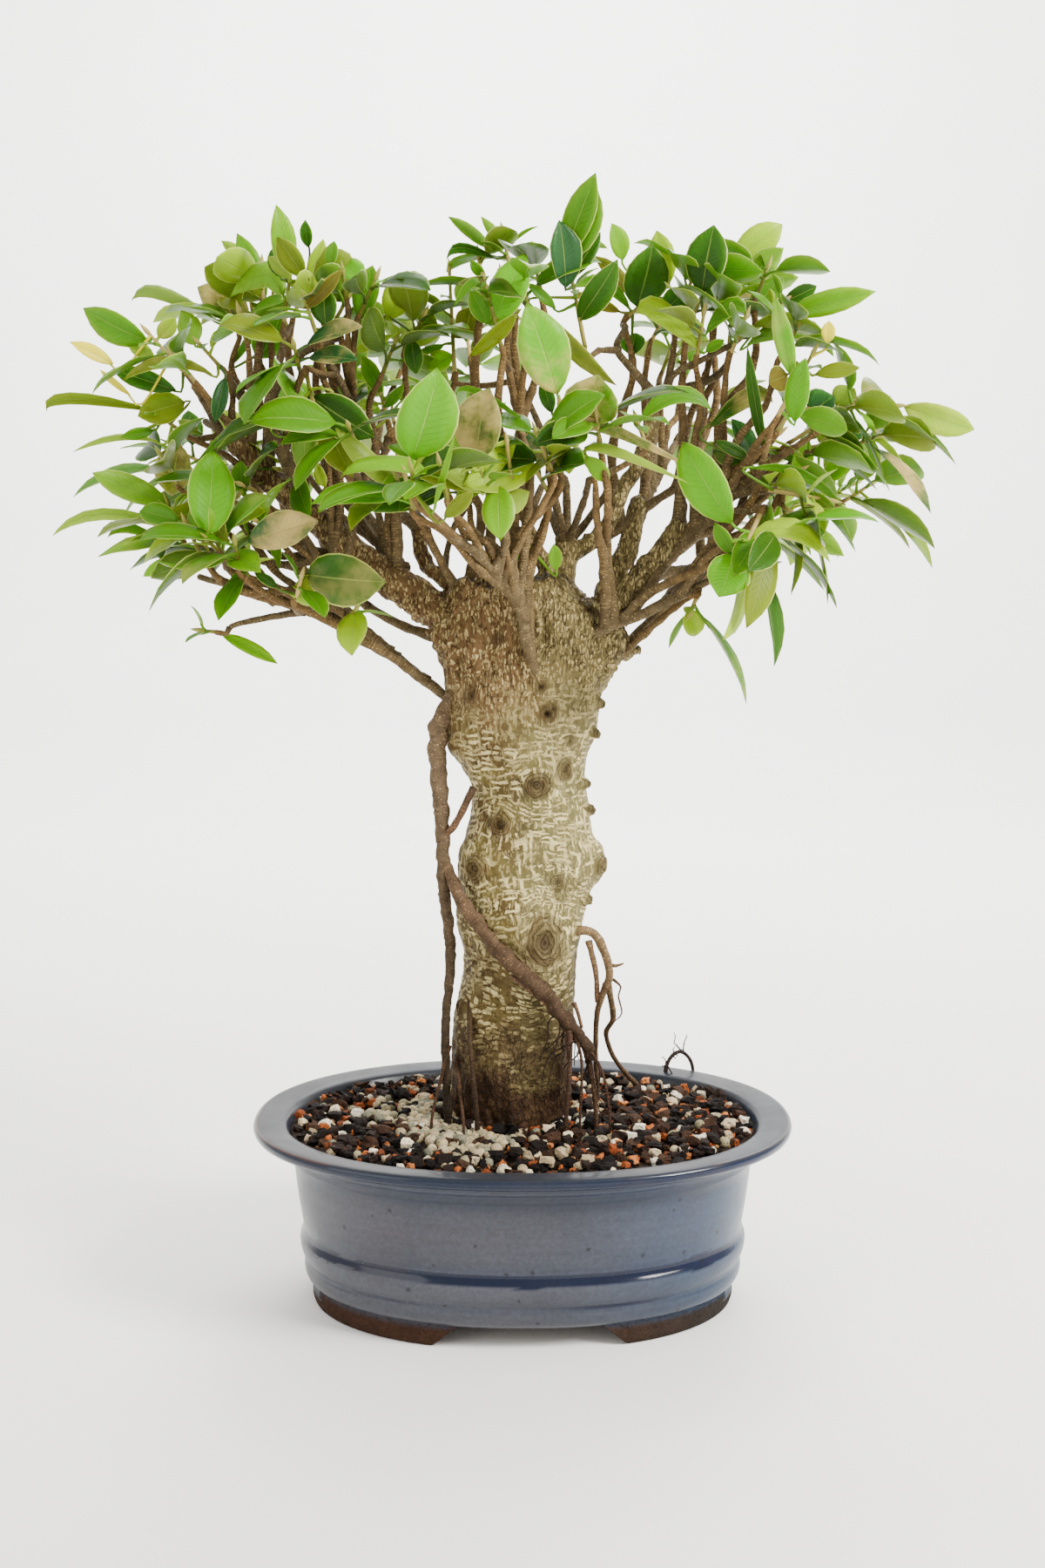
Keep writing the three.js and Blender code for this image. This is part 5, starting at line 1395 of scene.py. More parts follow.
@dataclass
class Pot:
    """The oval glazed pot: its walls and bands, its broad rim, bare feet and drain holes."""

    glaze: GlazeFinish
    bare: GritFinish
    oval: float = 31.0
    power: float = 2.2
    sides: int = 160
    wall: tuple[Point, ...] = numbers("""
        112 12, 120.6 12, 122.6 12.6, 124.6 13.8, 126.2 15.4, 127.2 17.6, 127.6 20, 127.5 22, 127 23.4,
        126.6 24.4, 126.8 25.4, 127.3 26.4, 128.1 27.8, 129.1 30.4, 129.8 33.4, 130 36, 129.8 37.6,
        129.3 38.8, 128.8 39.6, 128.3 40.6, 127.9 41.8, 127.7 43.2, 127.8 44.4, 128.1 46.2, 128.6 49,
        129.4 54, 130.6 62, 131.6 70, 132.5 78, 133.3 83.6, 134.4 85, 134.9 86.4, 135.1 88.6,
        136.4 90.4, 138.6 91.6, 139.2 93.2, 140.2 95.2, 143.4 96.7, 148 97.6, 152.6 98.7, 154.6 99.7,
        155.6 101.1, 156 102.8, 155.7 104.3, 154.6 105.2, 153 105.5, 150 105.4, 144 105, 139.6 104.4,
        137.6 103.6, 136.6 102.1, 135.2 99, 134 96.5, 128 85.5, 124 52, 120.2 23, 118.4 19.8, 113 19
    """)
    tones: tuple[Point, ...] = numbers("""
        5.4 42 26 18, 6.6 22 18 22, 8 38 40 52, 12 52 54 62, 17 58 59 66, 27 52 55 64, 31 62 63 70,
        36 62 63 71, 46 52 55 66, 50 58 60 68, 60 62 62 70, 76 60 61 69, 82.5 52 55 64, 85.2 16 24 44,
        86.8 50 54 64, 90.2 26 34 52, 92 50 54 66, 95.6 18 26 42, 97.6 2 15 36, 101.5 0 16 40,
        103.8 4 20 40, 104.9 34 38 46, 105.3 74 42 26
    """)
    pools: tuple[Point, ...] = ((41.0, 3.1, 0.95), (25.0, 1.1, 0.35))
    pool_tone: Point = (0, 10, 34)
    wet: float = 1.55
    rim_tone: Point = (20, 24, 33)
    inside_tone: Point = (30, 34, 42)
    blue_side: Point = (-0.5, -0.12, 0.25)
    foot_profile: tuple[Point, ...] = numbers("""
        110 13, 110.4 5, 111 1.2, 112 0, 121 0, 122.3 0.8, 122.9 2.6, 123 4.6, 122.9 5.8, 122.7 7,
        122.6 9, 122.7 13
    """)
    foot_tone: Point = (52, 34, 24)
    arch_low: float = 54.0
    arch_high: float = 37.5
    arch_shift: float = 4.0
    arch_top: float = 14.5
    clay_top: float = 5.4
    foot_top: float = 12.3
    foot_half: float = 121.5
    wet_band: Point = (96.5, 104.4)
    rim_from: Point = (103.2, 153.8)
    inside_band: Point = (19.5, 103.3)
    drain_spacing: float = 62.0
    drain_radius: float = 8.0

    def build(self) -> Piece:
        """Build the pot's piece.

        Returns:
            The pot, which stands for its solid.
        """
        bowl = self.bowl()
        feet = self.feet()
        for side in (-1, 1):
            self.drill(bowl, side * self.drain_spacing)
        self.arch(feet)
        pick_only(bowl, feet)
        bpy.ops.object.join()
        self.colour(bowl)
        to_metres(bowl)
        bpy.ops.object.shade_smooth_by_angle(angle=math.radians(50))
        return settle(bowl, "pot_glaze", "pot")

    def rows(self, profile: Iterable[Point]) -> list[Point]:
        """Turn a profile of half lengths and heights into rows to draw up."""
        return [(half, half - self.oval, height, 0.0) for half, height in profile]

    def bowl(self) -> Piece:
        """Draw the bowl up from its underside, over the rim and down to its floor.

        Returns:
            The bowl, without its feet.
        """
        rows = self.rows(self.wall)
        bowl = ring_of("glazed_pot", self.sides, rows[0], self.power)
        draw_up(rows)
        close_up()
        return bowl

    def feet(self) -> Piece:
        """Draw the foot ring as one closed loop of rows round the pot.

        Returns:
            The feet, before the arch is cut.
        """
        rows = self.rows((*self.foot_profile, self.foot_profile[0]))
        feet = ring_of("pot_feet", self.sides, rows[0], self.power)
        bpy.ops.mesh.delete(type="ONLY_FACE")
        bpy.ops.mesh.select_all(action="SELECT")
        draw_up(rows, filled=False)
        bpy.ops.mesh.select_all(action="SELECT")
        bpy.ops.mesh.remove_doubles(threshold=0.01)
        close_up()
        return feet

    @staticmethod
    def cut(piece: Piece, cutter: Piece) -> None:
        """Take a cutter's shape out of a piece and remove the cutter."""
        apply_modifier(piece, "BOOLEAN", object=cutter, operation="DIFFERENCE", solver="EXACT")
        bpy.data.objects.remove(cutter)

    def drill(self, bowl: Piece, x: float) -> None:
        """Drill one drain hole through the floor."""
        hole = fresh("cylinder", vertices=40, radius=self.drain_radius, depth=20, location=(x, 0, 14))
        self.cut(bowl, hole)

    def arch(self, feet: Piece) -> None:
        """Cut the arch between the feet.

        Args:
            feet: The foot ring.
        """
        cutter = fresh("cube", size=1)
        for vertex in cutter.data.vertices:
            upper = vertex.co.z > 0
            half = self.arch_high if upper else self.arch_low + 3
            x = self.arch_shift + math.copysign(half, vertex.co.x)
            vertex.co = (x, vertex.co.y * 300, self.arch_top if upper else -3.0)
        open_up()
        bpy.ops.mesh.subdivide(number_cuts=3)
        close_up(outward=False)
        self.cut(feet, cutter)

    def colour(self, bowl: Piece) -> None:
        """Set each point's tone by its place on the wall, and the bare clay of the feet.

        Args:
            bowl: The pot, in its own millimetres.
        """
        places = read_points(bowl)
        half = self.reach(places[:, 0], places[:, 1])
        heights = places[:, 2]
        known = [height for height, *_ in self.tones]
        wall = np.array([linear(tone) for _, *tone in self.tones])
        tones = np.stack([np.interp(heights, known, wall[:, channel]) for channel in range(4)], axis=1)
        around = places * np.array((1.0, 1.0, 0.0))
        for height, thickness, share in self.pools:
            thick = thickness * (1 + 0.35 * ripple(around, 60.0, int(height)))
            shown = smoothstep(-0.3, 0.3, ripple(around, 150.0, int(height) + 1) + 2 * share - 0.7)
            ends = 1 - smoothstep(112.0, 124.0, np.abs(places[:, 0]))
            pooled = (np.abs(heights - height) < thick) * shown * ends
            tones += pooled[:, None] * (np.array((*linear(self.pool_tone)[:3], self.wet)) - tones)
        wet, inside = (
            (heights > low) & (heights < high) for low, high in (self.wet_band, self.inside_band)
        )
        tones[wet, 3] = self.wet
        rim_height, rim_half = self.rim_from
        tones[(heights > rim_height) & (half < rim_half)] = (*linear(self.rim_tone)[:3], 0.0)
        tones[self.inner(places) & inside] = linear(self.inside_tone)
        holes = (heights < 19.3) & (np.hypot(places[:, 0], places[:, 1]) < 80)
        under = (heights < self.foot_top) & (half < self.foot_half)
        tones[(heights < self.clay_top) | under | holes] = linear(self.foot_tone)
        tones[heights < self.foot_top + 0.5, 3] = 0.0
        bluer = smoothstep(10.0, 125.0, places[:, 0]) * (places[:, 1] < 40)
        tones[:, :3] *= 1 + bluer[:, None] * np.array(self.blue_side)
        note(bowl, "tone", tones)
        dress(bowl, self.glaze.material(), self.bare.material())
        for face in bowl.data.polygons:
            x, y, z = face.center
            under = z < self.foot_top + 0.1 and self.reach(x, y) <= self.foot_half
            face.material_index = int(z < self.clay_top + 0.2 or under)

    def reach(self, x: Any, y: Any) -> Any:
        """Return about half the length of the oval that passes a place."""
        return (np.abs(x) ** self.power + (np.abs(y) * 1.24) ** self.power) ** (1 / self.power)

    def inner(self, places: Array) -> Array:
        """Tell which places lie on the inner wall rather than the outer one.

        Args:
            places: Places on the pot.

        Returns:
            True for those on the inner wall.
        """
        halves, heights = zip(*self.wall[1:43])
        middle = np.interp(places[:, 2], heights, halves) - 3
        x, y = np.abs(places[:, :2]).T
        return (x / middle) ** self.power + (y / (middle - self.oval)) ** self.power < 1.0


@dataclass
class DrainScreens:
    """The plastic mesh squares over the two drain holes, which keep their own solids."""

    finish: PlainFinish

    def build(self) -> None:
        """Give both screens their plastic."""
        material = self.finish.material()
        for node in ("drain_screen_left", "drain_screen_right"):
            dress(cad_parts[node], material, smooth=False)
            log.info("%s keeps its solid", node)


@dataclass(frozen=True)
class Grain:
    """One kind of granule in the soil mix: how many, how large and what shape and tones."""

    name: str
    count: int
    sizes: Point
    tones: tuple[Point, ...]
    flatness: Point = (0.7, 1.0)
    roughness: float = 0.16
    seed: int = 1
    patches: tuple[Point, ...] = ()


GRAINS = (
    Grain("dark_bark", 900, (2.0, 5.4), numbers("34 24 19, 24 18 15, 56 38 27, 16 13 12"),
          flatness=(0.4, 0.8), roughness=0.24, seed=7),
    Grain("fired_clay", 330, (1.6, 3.8), numbers("160 84 40, 132 64 30, 176 106 58, 98 52 30"), seed=5),
    Grain("pumice", 200, (1.9, 4.7), numbers("208 194 166, 184 166 134, 220 210 188, 156 138 108"),
          seed=3),
    Grain("fine_grit", 640, (0.9, 2.1), numbers("82 56 38, 56 38 26, 134 98 64, 34 24 18"), seed=9),
    Grain("prills", 330, (2.7, 3.5), numbers("144 134 104, 164 148 114, 118 116 96, 178 162 130"),
          flatness=(0.94, 1.0), roughness=0.02, seed=11,
          patches=numbers("-62 14 36, -56 -6 32, -42 -36 26, -22 -62 22")),
)
PRILL_BED = ((-60, 8, 40, 34), (-34, -50, 26, 20))


@dataclass
class Soil:
    """The filling of the pot: a dark bed with its granules lying on it."""

    finish: GritFinish
    stone: GritFinish
    power: float = 2.2
    oval: float = 31.0
    edge_half: float = 135.2
    edge_height: float = 100.5
    mound: float = 3.5
    sides: int = 96
    bed_tone: Point = (38, 27, 20)
    crumbs: tuple[Point, ...] = ((0.9, 8.0), (0.6, 3.5))
    kept_off: float = 0.82

    def build(self) -> list[Piece]:
        """Build the bed and one piece for each kind of granule."""
        return [self.bed(), *(self.spread(grain) for grain in GRAINS)]

    def height(self, x: Array, y: Array) -> Array:
        """Return the height of the soil's surface, as its solid has it.

        Args:
            x: Places sideways.
            y: Places in depth.

        Returns:
            The height at each, in mm.
        """
        share = self.share(x, y)
        relief = np.sin(x / 5.1 + 2 * np.sin(y / 7)) * np.cos(y / 4.3 + np.sin(x / 9))
        return self.edge_height + self.mound * (1 - share ** 2) + 0.9 * relief

    def share(self, x: Array, y: Array) -> Array:
        """Return how far out a place lies, from 0 at the middle to 1 at the pot's wall."""
        across, deep = np.abs(x) / self.edge_half, np.abs(y) / (self.edge_half - self.oval)
        return (across ** self.power + deep ** self.power) ** (1 / self.power)

    def bed(self) -> Piece:
        """Draw the bed up from the pot's floor and inset its top into rings.

        Returns:
            The bed, which stands for the soil's solid.
        """
        profile = ((118.6, 20.0), (127.3, 85.5), (133.2, 96.5), (self.edge_half, self.edge_height))
        rows = [(half, half - self.oval, height, 0.0) for half, height in profile]
        bed = ring_of("soil_bed", self.sides, rows[0], self.power)
        top = [(self.edge_half * share, (self.edge_half - self.oval) * share, self.edge_height, 0.0)
               for share in (1.0, *np.linspace(0.985, 0.03, 40))]
        draw_up([*rows, *top[1:]])
        close_up()
        places = read_points(bed)
        upper = places[:, 2] > self.edge_height - 0.1
        x, y = places[:, 0], places[:, 1]
        bumps = ripples(places, self.crumbs, 4)
        places[:, 2] = np.where(upper, self.height(x, y) - 1.6 + bumps, places[:, 2])
        move_points(bed, places)
        note(bed, "tone", np.tile(linear(self.bed_tone), (len(places), 1)))
        dress(bed, self.finish.material())
        to_metres(bed)
        return settle(bed, "soil_mix", "soil")

    def template(self, grain: Grain) -> tuple[Array, list[tuple[int, ...]]]:
        """Model one granule: a small ball, knocked into shape.

        Args:
            grain: The kind of granule.

        Returns:
            Its points, about one unit from its middle, and its faces.
        """
        ball = fresh("cube", size=1.2)
        open_up()
        bpy.ops.mesh.subdivide(number_cuts=2 if grain.patches else 1)
        bpy.ops.transform.tosphere(value=1.0 if grain.patches else 0.62)
        close_up(outward=False)
        places, faces = taken_apart(ball)
        return places / np.linalg.norm(places, axis=1).mean(), faces

    def spots(self, grain: Grain, draw: np.random.Generator) -> Iterable[tuple[float, float]]:
        """Choose where a kind's granules lie: over all the soil, or in its own patches.

        Args:
            grain: The kind of granule.
            draw: The seeded draw.

        Returns:
            The x and y of each granule.
        """
        for i in range(grain.count):
            if grain.patches and i % 6:
                x, y, reach = grain.patches[i % len(grain.patches)]
                x, y = x + draw.normal() * reach * 0.45, y + draw.normal() * reach * 0.4
            else:
                share = math.sqrt((i + 0.5) / grain.count) * 0.985
                angle = i * GOLDEN_TURN + grain.seed
                x = self.edge_half * share * math.cos(angle) + draw.normal() * 2.5
                y = (self.edge_half - self.oval) * share * math.sin(angle) + draw.normal() * 2.5
            crowded = not grain.patches and self.among_prills(x, y) and draw.random() < self.kept_off
            in_pot = self.share(np.array(x), np.array(y)) < 0.975
            if not crowded and in_pot and math.hypot((x + 6) / 30, y / 28) > 1:
                yield x, y

    @staticmethod
    def among_prills(x: float, y: float) -> bool:
        """Tell whether a place lies where the round prills are thick."""
        return any(math.hypot((x - bed[0]) / bed[2], (y - bed[1]) / bed[3]) < 1 for bed in PRILL_BED)

    def spread(self, grain: Grain) -> Piece:
        """Spread the copies of one kind of granule over the bed, each with its own turn, size and tone.

        Args:
            grain: The kind of granule.

        Returns:
            The piece.
        """
        points, faces = self.template(grain)
        draw = np.random.default_rng(grain.seed)
        skin = Skin()
        corners = [(0.0, 0.0)] * sum(map(len, faces))
        tones = [np.array(linear(tone)) for tone in grain.tones]
        for x, y in self.spots(grain, draw):
            size = draw.uniform(*grain.sizes)
            knocked = points * (1 + grain.roughness * draw.normal(size=(len(points), 1)))
            shaped = knocked * size * np.array((1.0, draw.uniform(0.94 if grain.patches else 0.65, 1.0),
                                                draw.uniform(*grain.flatness)))
            shaped = self.turn(shaped, draw)
            lift = float(self.height(np.array(x), np.array(y))) - 1.0 + size * draw.uniform(0.25, 0.75)
            tone = tones[draw.integers(len(tones))] * draw.uniform(0.8, 1.12)
            skin.add(shaped + np.array((x, y, lift)), faces, corners, np.tile(tone, (len(points), 1)))
        return settle(skin.piece(grain.name, self.stone.material(), smooth=bool(grain.patches)), "soil_mix")

    @staticmethod
    def turn(points: Array, draw: np.random.Generator) -> Array:
        """Turn points a little about a level axis and freely about the upright one.

        Args:
            points: A granule's points.
            draw: The seeded draw.

        Returns:
            The turned points.
        """
        tilt, spin = draw.uniform(-0.6, 0.6), draw.uniform(0, 2 * math.pi)
        c, s = math.cos(tilt), math.sin(tilt)
        tilted = points @ np.array(((1, 0, 0), (0, c, -s), (0, s, c))).T
        c, s = math.cos(spin), math.sin(spin)
        return tilted @ np.array(((c, -s, 0), (s, c, 0), (0, 0, 1))).T


@dataclass
class RootLoop:
    """The dark surface root that loops out of the soil at the right back."""

    finish: StemFinish
    points: tuple[Point, ...] = numbers(
        "81 -166 92, 83 -161 92, 87 -155 93, 92 -154 94, 97 -160 95, 99 -166 95")
    tone: Point = (44, 34, 30)
    hairs: int = 9

    def build(self) -> Piece:
        """Build the loop with its ends sunk in the soil.

        Returns:
            The root loop.
        """
        path = SKETCH.path(self.points)
        path[0][2] -= 8
        path[-1][2] -= 8
        skin = Skin()
        Stem(path, np.linspace(1.3, 1.1, len(path)), sides=10, step=1.5, knobbly=0.12, seed=88).lay(
            skin, linear(self.tone))
        lay_hairs(skin, np.repeat(path[1:4], self.hairs // 3, axis=0), UP * 0.1, 12.0, self.tone, 31)
        return settle(skin.piece("root_loop", self.finish.material()), "bark")


@dataclass(frozen=True)
class Knot:
    """A knot or scar: place on the sketch, size, how far it stands out, and how deep its middle is."""

    x: float
    h: float
    radius: float
    rise: float = 1.6
    hollow: float = 1.0
    dark: float = 0.6
    rings: float = 0.0
    tallness: float = 1.0


KNOTS = [Knot(*row) for row in numbers("""
    -30.5 51 4.8 1.5 0.8, -21 63 2.8 0.9 0.6, 12 54 3.8 1.2 2.4 1, 16 39.5 4.6 1.3 2.8 1,
    28.5 24 3.4 1.6 0.6, 25.5 8 6.4 3.2 1.2, 8.5 -2.5 7.4 1.5 1.6 0.6 0.45,
    -13.5 -23 6.4 3.6 0.4 0.6 0.35, -28.5 -48.5 7.8 3.2 1 0.6 0.4, 21 -58 4.8 1.6 0.9,
    14.5 -92 10.5 1.8 1.5 0.8 0.35 1.4, 16.5 -79.5 2.8 0.8 0.8, -37.5 -128.5 4.8 1.6 0.8,
    -42.5 20 2.4 1 0.4, 49 44.5 3.2 4.6 0 1, 45.5 28 3 4.2 0 1, 39 -1 3.2 4.4 0 1, 44 -15 3.4 4.6 0 1,
    46 -47 5.5 2.6 0.6, 41 -68 3 3.8 0 1, 40 101 5 1.5 3.5 1, -15 83 3.2 1.2 1, 18.5 42 3 1 1.2,
    4 98 3.4 2.2 0.4
""")]


@dataclass
class Trunk:
    """The thick trunk with its limbs, modelled as one skin that flows from one into the other."""

    finish: BarkFinish
    silhouette: tuple[Point, ...] = numbers("""
        -195 -39 26, -172 -40.5 27, -152 -40.5 28, -135 -39.5 29, -111 -34.5 30.5, -95 -33.5 32,
        -77 -38 35, -60 -36.5 40, -50 -38 46, -37 -36.5 46, -28 -32.5 40, -9 -29 38, -1 -29 36,
        10 -34.5 36, 18 -42 37, 30 -45 42.5, 50 -44 45, 63 -44.5 51.5, 74 -47.5 58, 84 -52 60,
        97 -50 52, 112 -41 30
    """)
    sawn_edge: tuple[Point, ...] = numbers("""
        -52 7, -41 6, -37.5 9.5, -32 7.5, -23.5 3.5, -18 2, -10 4.5, -2 7.5, 10 8.5, 22 10.5, 30 5
    """)
    cut_stubs: tuple[Point, ...] = numbers(
        "60 75 6 7 2 3.4, -47 84 -10 -6 3 3, 44 100 10 5 7 4.2, -20 112 -16 -3 9 3.6")
    lumps: tuple[Point, ...] = ((0.7, 30.0), (0.4, 12.0), (0.25, 7.0, 1.0, 2.2))
    sinews: tuple[Point, ...] = ((1.9, 13.0, 1.5, 0.4), (1.2, 7.0, 1.8, 0.55))
    depth_ratio: float = 0.9
    most_half_depth: float = 33.0
    sides: int = 72
    row_step: float = 4.0
    voxel: float = 1.25
    back_knots: int = 11
    seed: int = 52

    def build(self) -> Piece:
        """Build the trunk's piece.

        Returns:
            The trunk, which stands for the wood's solid.
        """
        trunk = self.raised()
        pick_only(trunk, self.limbs(), self.stubs())
        bpy.ops.object.join()
        apply_modifier(trunk, "REMESH", mode="VOXEL", voxel_size=self.voxel)
        apply_modifier(trunk, "SMOOTH", factor=0.5, iterations=7)
        self.relief(trunk)
        to_metres(trunk)
        dress(trunk, self.finish.material())
        return settle(trunk, "bark", "trunk_and_branches")

    def rows(self) -> list[Point]:
        """Return the trunk's rings from below the soil to the sawn top.

        Returns:
            Half width, half depth, height and sideways place of each ring.
        """
        read = []
        for h, left, right in self.silhouette:
            a, b = SKETCH.seen(left, h, 0), SKETCH.seen(right, h, 0)
            read.append((a[2], (b[0] - a[0]) / 2, (a[0] + b[0]) / 2))
        low = read[0]
        read = [(81.5, low[1] * 0.98, low[2]), (93.5, low[1] * 1.03, low[2]), *read]
        curve, _ = smooth_path(np.array(read), np.zeros(len(read)), self.row_step)
        return [(half, min(half * self.depth_ratio, self.most_half_depth), height, middle)
                for height, half, middle in curve]

    def raised(self) -> Piece:
        """Draw the bare trunk up from below the soil and lump it as its solid is lumped.

        Returns:
            The bare trunk, in the pot's millimetres.
        """
        rows = self.rows()
        trunk = ring_of("trunk", self.sides, rows[0], 2.0)
        draw_up(rows)
        for _ in range(3):
            bpy.ops.mesh.inset(thickness=rows[-1][1] * 0.22)
        close_up()
        places = read_points(trunk)
        table = np.array(rows)
        half, deep, middle = (np.interp(places[:, 2], table[:, 2], table[:, i]) for i in (0, 1, 3))
        off = places[:, 0] - middle
        angle = np.arctan2(places[:, 1] / deep, off / half)
        lump = 1 + 0.06 * np.sin(3 * angle + places[:, 2] / 17) * np.sin(angle) ** 2
        places[:, 0] = middle + off * lump
        places[:, 1] *= lump
        top = smoothstep(rows[-1][2] - 9, rows[-1][2], places[:, 2])
        edge = np.interp(places[:, 0], *np.array(self.sawn_edge).T) * 0.9
        edge = edge + 2.3 * ripple(places, 8.0, self.seed)
        places[:, 2] += top * (edge - 2)
        move_points(trunk, places)
        return trunk

    def limbs(self) -> Piece:
        """Lay the thick limbs, with a collar where each leaves the wood.

        Returns:
            The limbs, in the pot's millimetres.
        """
        skin = Skin()
        for index, branch in enumerate(BRANCHES):
            if branch.is_limb():
                collar = 0.28 if branch.first < 16 else 0.12
                Stem(branch.path(), branch.halves(), sides=18, step=4.0, knobbly=0.07, collar=collar,
                     seed=index).lay(skin)
        return in_millimetres(skin.piece("limbs"))

    def stubs(self) -> Piece:
        """Lay the short cut stubs of lost branches.

        Returns:
            The stubs, in the pot's millimetres.
        """
        skin = Skin()
        for x, h, depth, dx, dh, half in self.cut_stubs:
            start, end = SKETCH.seen(x, h, depth), SKETCH.seen(x + dx, h + dh, depth)
            Stem(np.array((start - (end - start), start, end)), np.array((half * 1.5, half * 1.1, half)),
                 sides=14, step=3.0, knobbly=0.1).lay(skin)
        return in_millimetres(skin.piece("stubs"))

    def relief(self, trunk: Piece) -> None:
        """Give the bark its unevenness, sinews and knots, and mark for its finish where they are.

        Args:
            trunk: The trunk's skin, in the pot's millimetres.
        """
        places, normals = read_points(trunk), read_points(trunk, "normal")
        heights = places[:, 2]
        push = ripples(places, self.lumps, self.seed)
        sinews = ripples(places, self.sinews, self.seed + len(self.lumps))
        upper = smoothstep(335.0, 380.0, heights) * (1 - 0.8 * smoothstep(385.0, 412.0, heights))
        push += sinews * np.maximum(upper, 0.7 - 0.7 * smoothstep(105.0, 165.0, heights))
        flow = places.copy()
        marks = np.tile((0.0, 1.0, 0.0, 1.0), (len(places), 1))
        for knot, middle in (*self.front_knots(places), *self.hidden_knots(places, normals)):
            off = (places - middle) / np.array((1.0, 1.0, knot.tallness))
            wobble = 1 + 0.12 * ripple(places, knot.radius * 1.6, int(abs(knot.x * 7)) + 3)
            u = np.linalg.norm(off, axis=1) / (knot.radius * wobble)
            near = u < KNOT_REACH
            bank = np.exp(-((u - 0.72) / 0.3) ** 2)
            pit = np.exp(-(u / 0.42) ** 2)
            grooves = (0.3 + knot.rings) * np.cos(u * 10.5) * np.exp(-(u / 1.7) ** 4)
            push = np.where(near, push + knot.rise * (bank * 0.75 + 0.5 * np.exp(-(u / 0.8) ** 2)), push)
            push = np.where(near, push - knot.hollow * pit + grooves, push)
            swept = np.exp(-(u / 1.7) ** 2)[:, None] * np.array((-0.4, -0.4, 0.95))
            flow -= (places - middle) * swept
            nearer = u / KNOT_REACH < marks[:, 1]
            marks[:, 0] = np.maximum(marks[:, 0], knot.dark * pit)
            marks[nearer, 1] = u[nearer] / KNOT_REACH
            marks[nearer, 2] = min(1.0, 0.45 + knot.rings + knot.radius / 20)
        top = self.rows()[-1][2]
        sawn = smoothstep(0.5, 0.8, normals[:, 2]) * (places[:, 2] > top - 8) * (np.abs(places[:, 0]) < 46)
        marks[:, 0] = np.maximum(marks[:, 0], 0.5 * sawn)
        push += sawn * 1.3 * ripple(places * np.array((1.0, 0.35, 1.0)), 5.0, self.seed + 5)
        places += normals * push[:, None]
        move_points(trunk, places)
        note(trunk, "marks", np.clip(marks, 0, 1))
        note(trunk, "flow", (flow + POT_PLACE) * MM)

    @staticmethod
    def front_knots(places: Array) -> Iterable[tuple[Knot, Array]]:
        """Find where each knot of the photograph lies on the skin.

        Args:
            places: The skin's points.

        Returns:
            Each knot with its place on the skin.
        """
        eye = np.array(SKETCH.eye)
        for knot in KNOTS:
            ray = unit(SKETCH.seen(knot.x, knot.h, 0) - eye)
            reach = (places - eye) @ ray
            aside = np.linalg.norm(places - eye - reach[:, None] * ray, axis=1)
            close = aside < aside.min() + 1.5
            yield knot, places[close][reach[close].argmin()]

    def hidden_knots(self, places: Array, normals: Array) -> Iterable[tuple[Knot, Array]]:
        """Choose seeded knots for the sides and back, which the photograph doesn't show.

        Args:
            places: The skin's points.
            normals: Its normals.

        Returns:
            Each knot with its place on the skin.
        """
        draw = np.random.default_rng(self.seed)
        behind = places[(normals[:, 1] > 0.3) & (places[:, 2] > 120) & (places[:, 2] < 480)
                        & (np.abs(places[:, 0]) < 45)]
        for place in behind[draw.choice(len(behind), self.back_knots, replace=False)]:
            size = draw.uniform(2.8, 7.0)
            yield Knot(float(place[0]), float(place[2]), size, size * 0.35, size * draw.uniform(0.1, 0.35),
                       rings=draw.choice((0.0, 0.35))), place


def inner_shoots(most: int = 150, seed: int = 17) -> list[Array]:
    """Place the shoots inside the crown that the photograph half hides, midway between its sprays.

    Args:
        most: How many there are at most.
        seed: Which pairs of sprays they lie between.

    Returns:
        The path of each shoot.
    """
    draw = np.random.default_rng(seed)
    paths = [spray.path() for spray in SPRAYS]
    ends = [path[-1] for path in paths]
    pairs = [(i, j) for i in range(len(paths)) for j in range(i)
             if 24 < np.linalg.norm(ends[i] - ends[j]) < (66 if ends[i][1] + ends[j][1] < 70 else 95)]
    shoots: list[Array] = []
    for k in draw.permutation(len(pairs)):
        i, j = pairs[k]
        end = (ends[i] + ends[j]) / 2 + draw.normal(size=3) * 5
        bare = end[2] < 462 - 0.32 * abs(end[0] + 20) and end[1] < 20
        if len(shoots) < most and not bare and min(np.linalg.norm(end - other) for other in ends) > 13:
            way = unit(unit(paths[i][-1] - paths[i][0]) + unit(paths[j][-1] - paths[j][0]) + UP * 0.5)
            shoots.append(np.array((end - way * draw.uniform(14, 22), end)))
            ends.append(end)
    return shoots


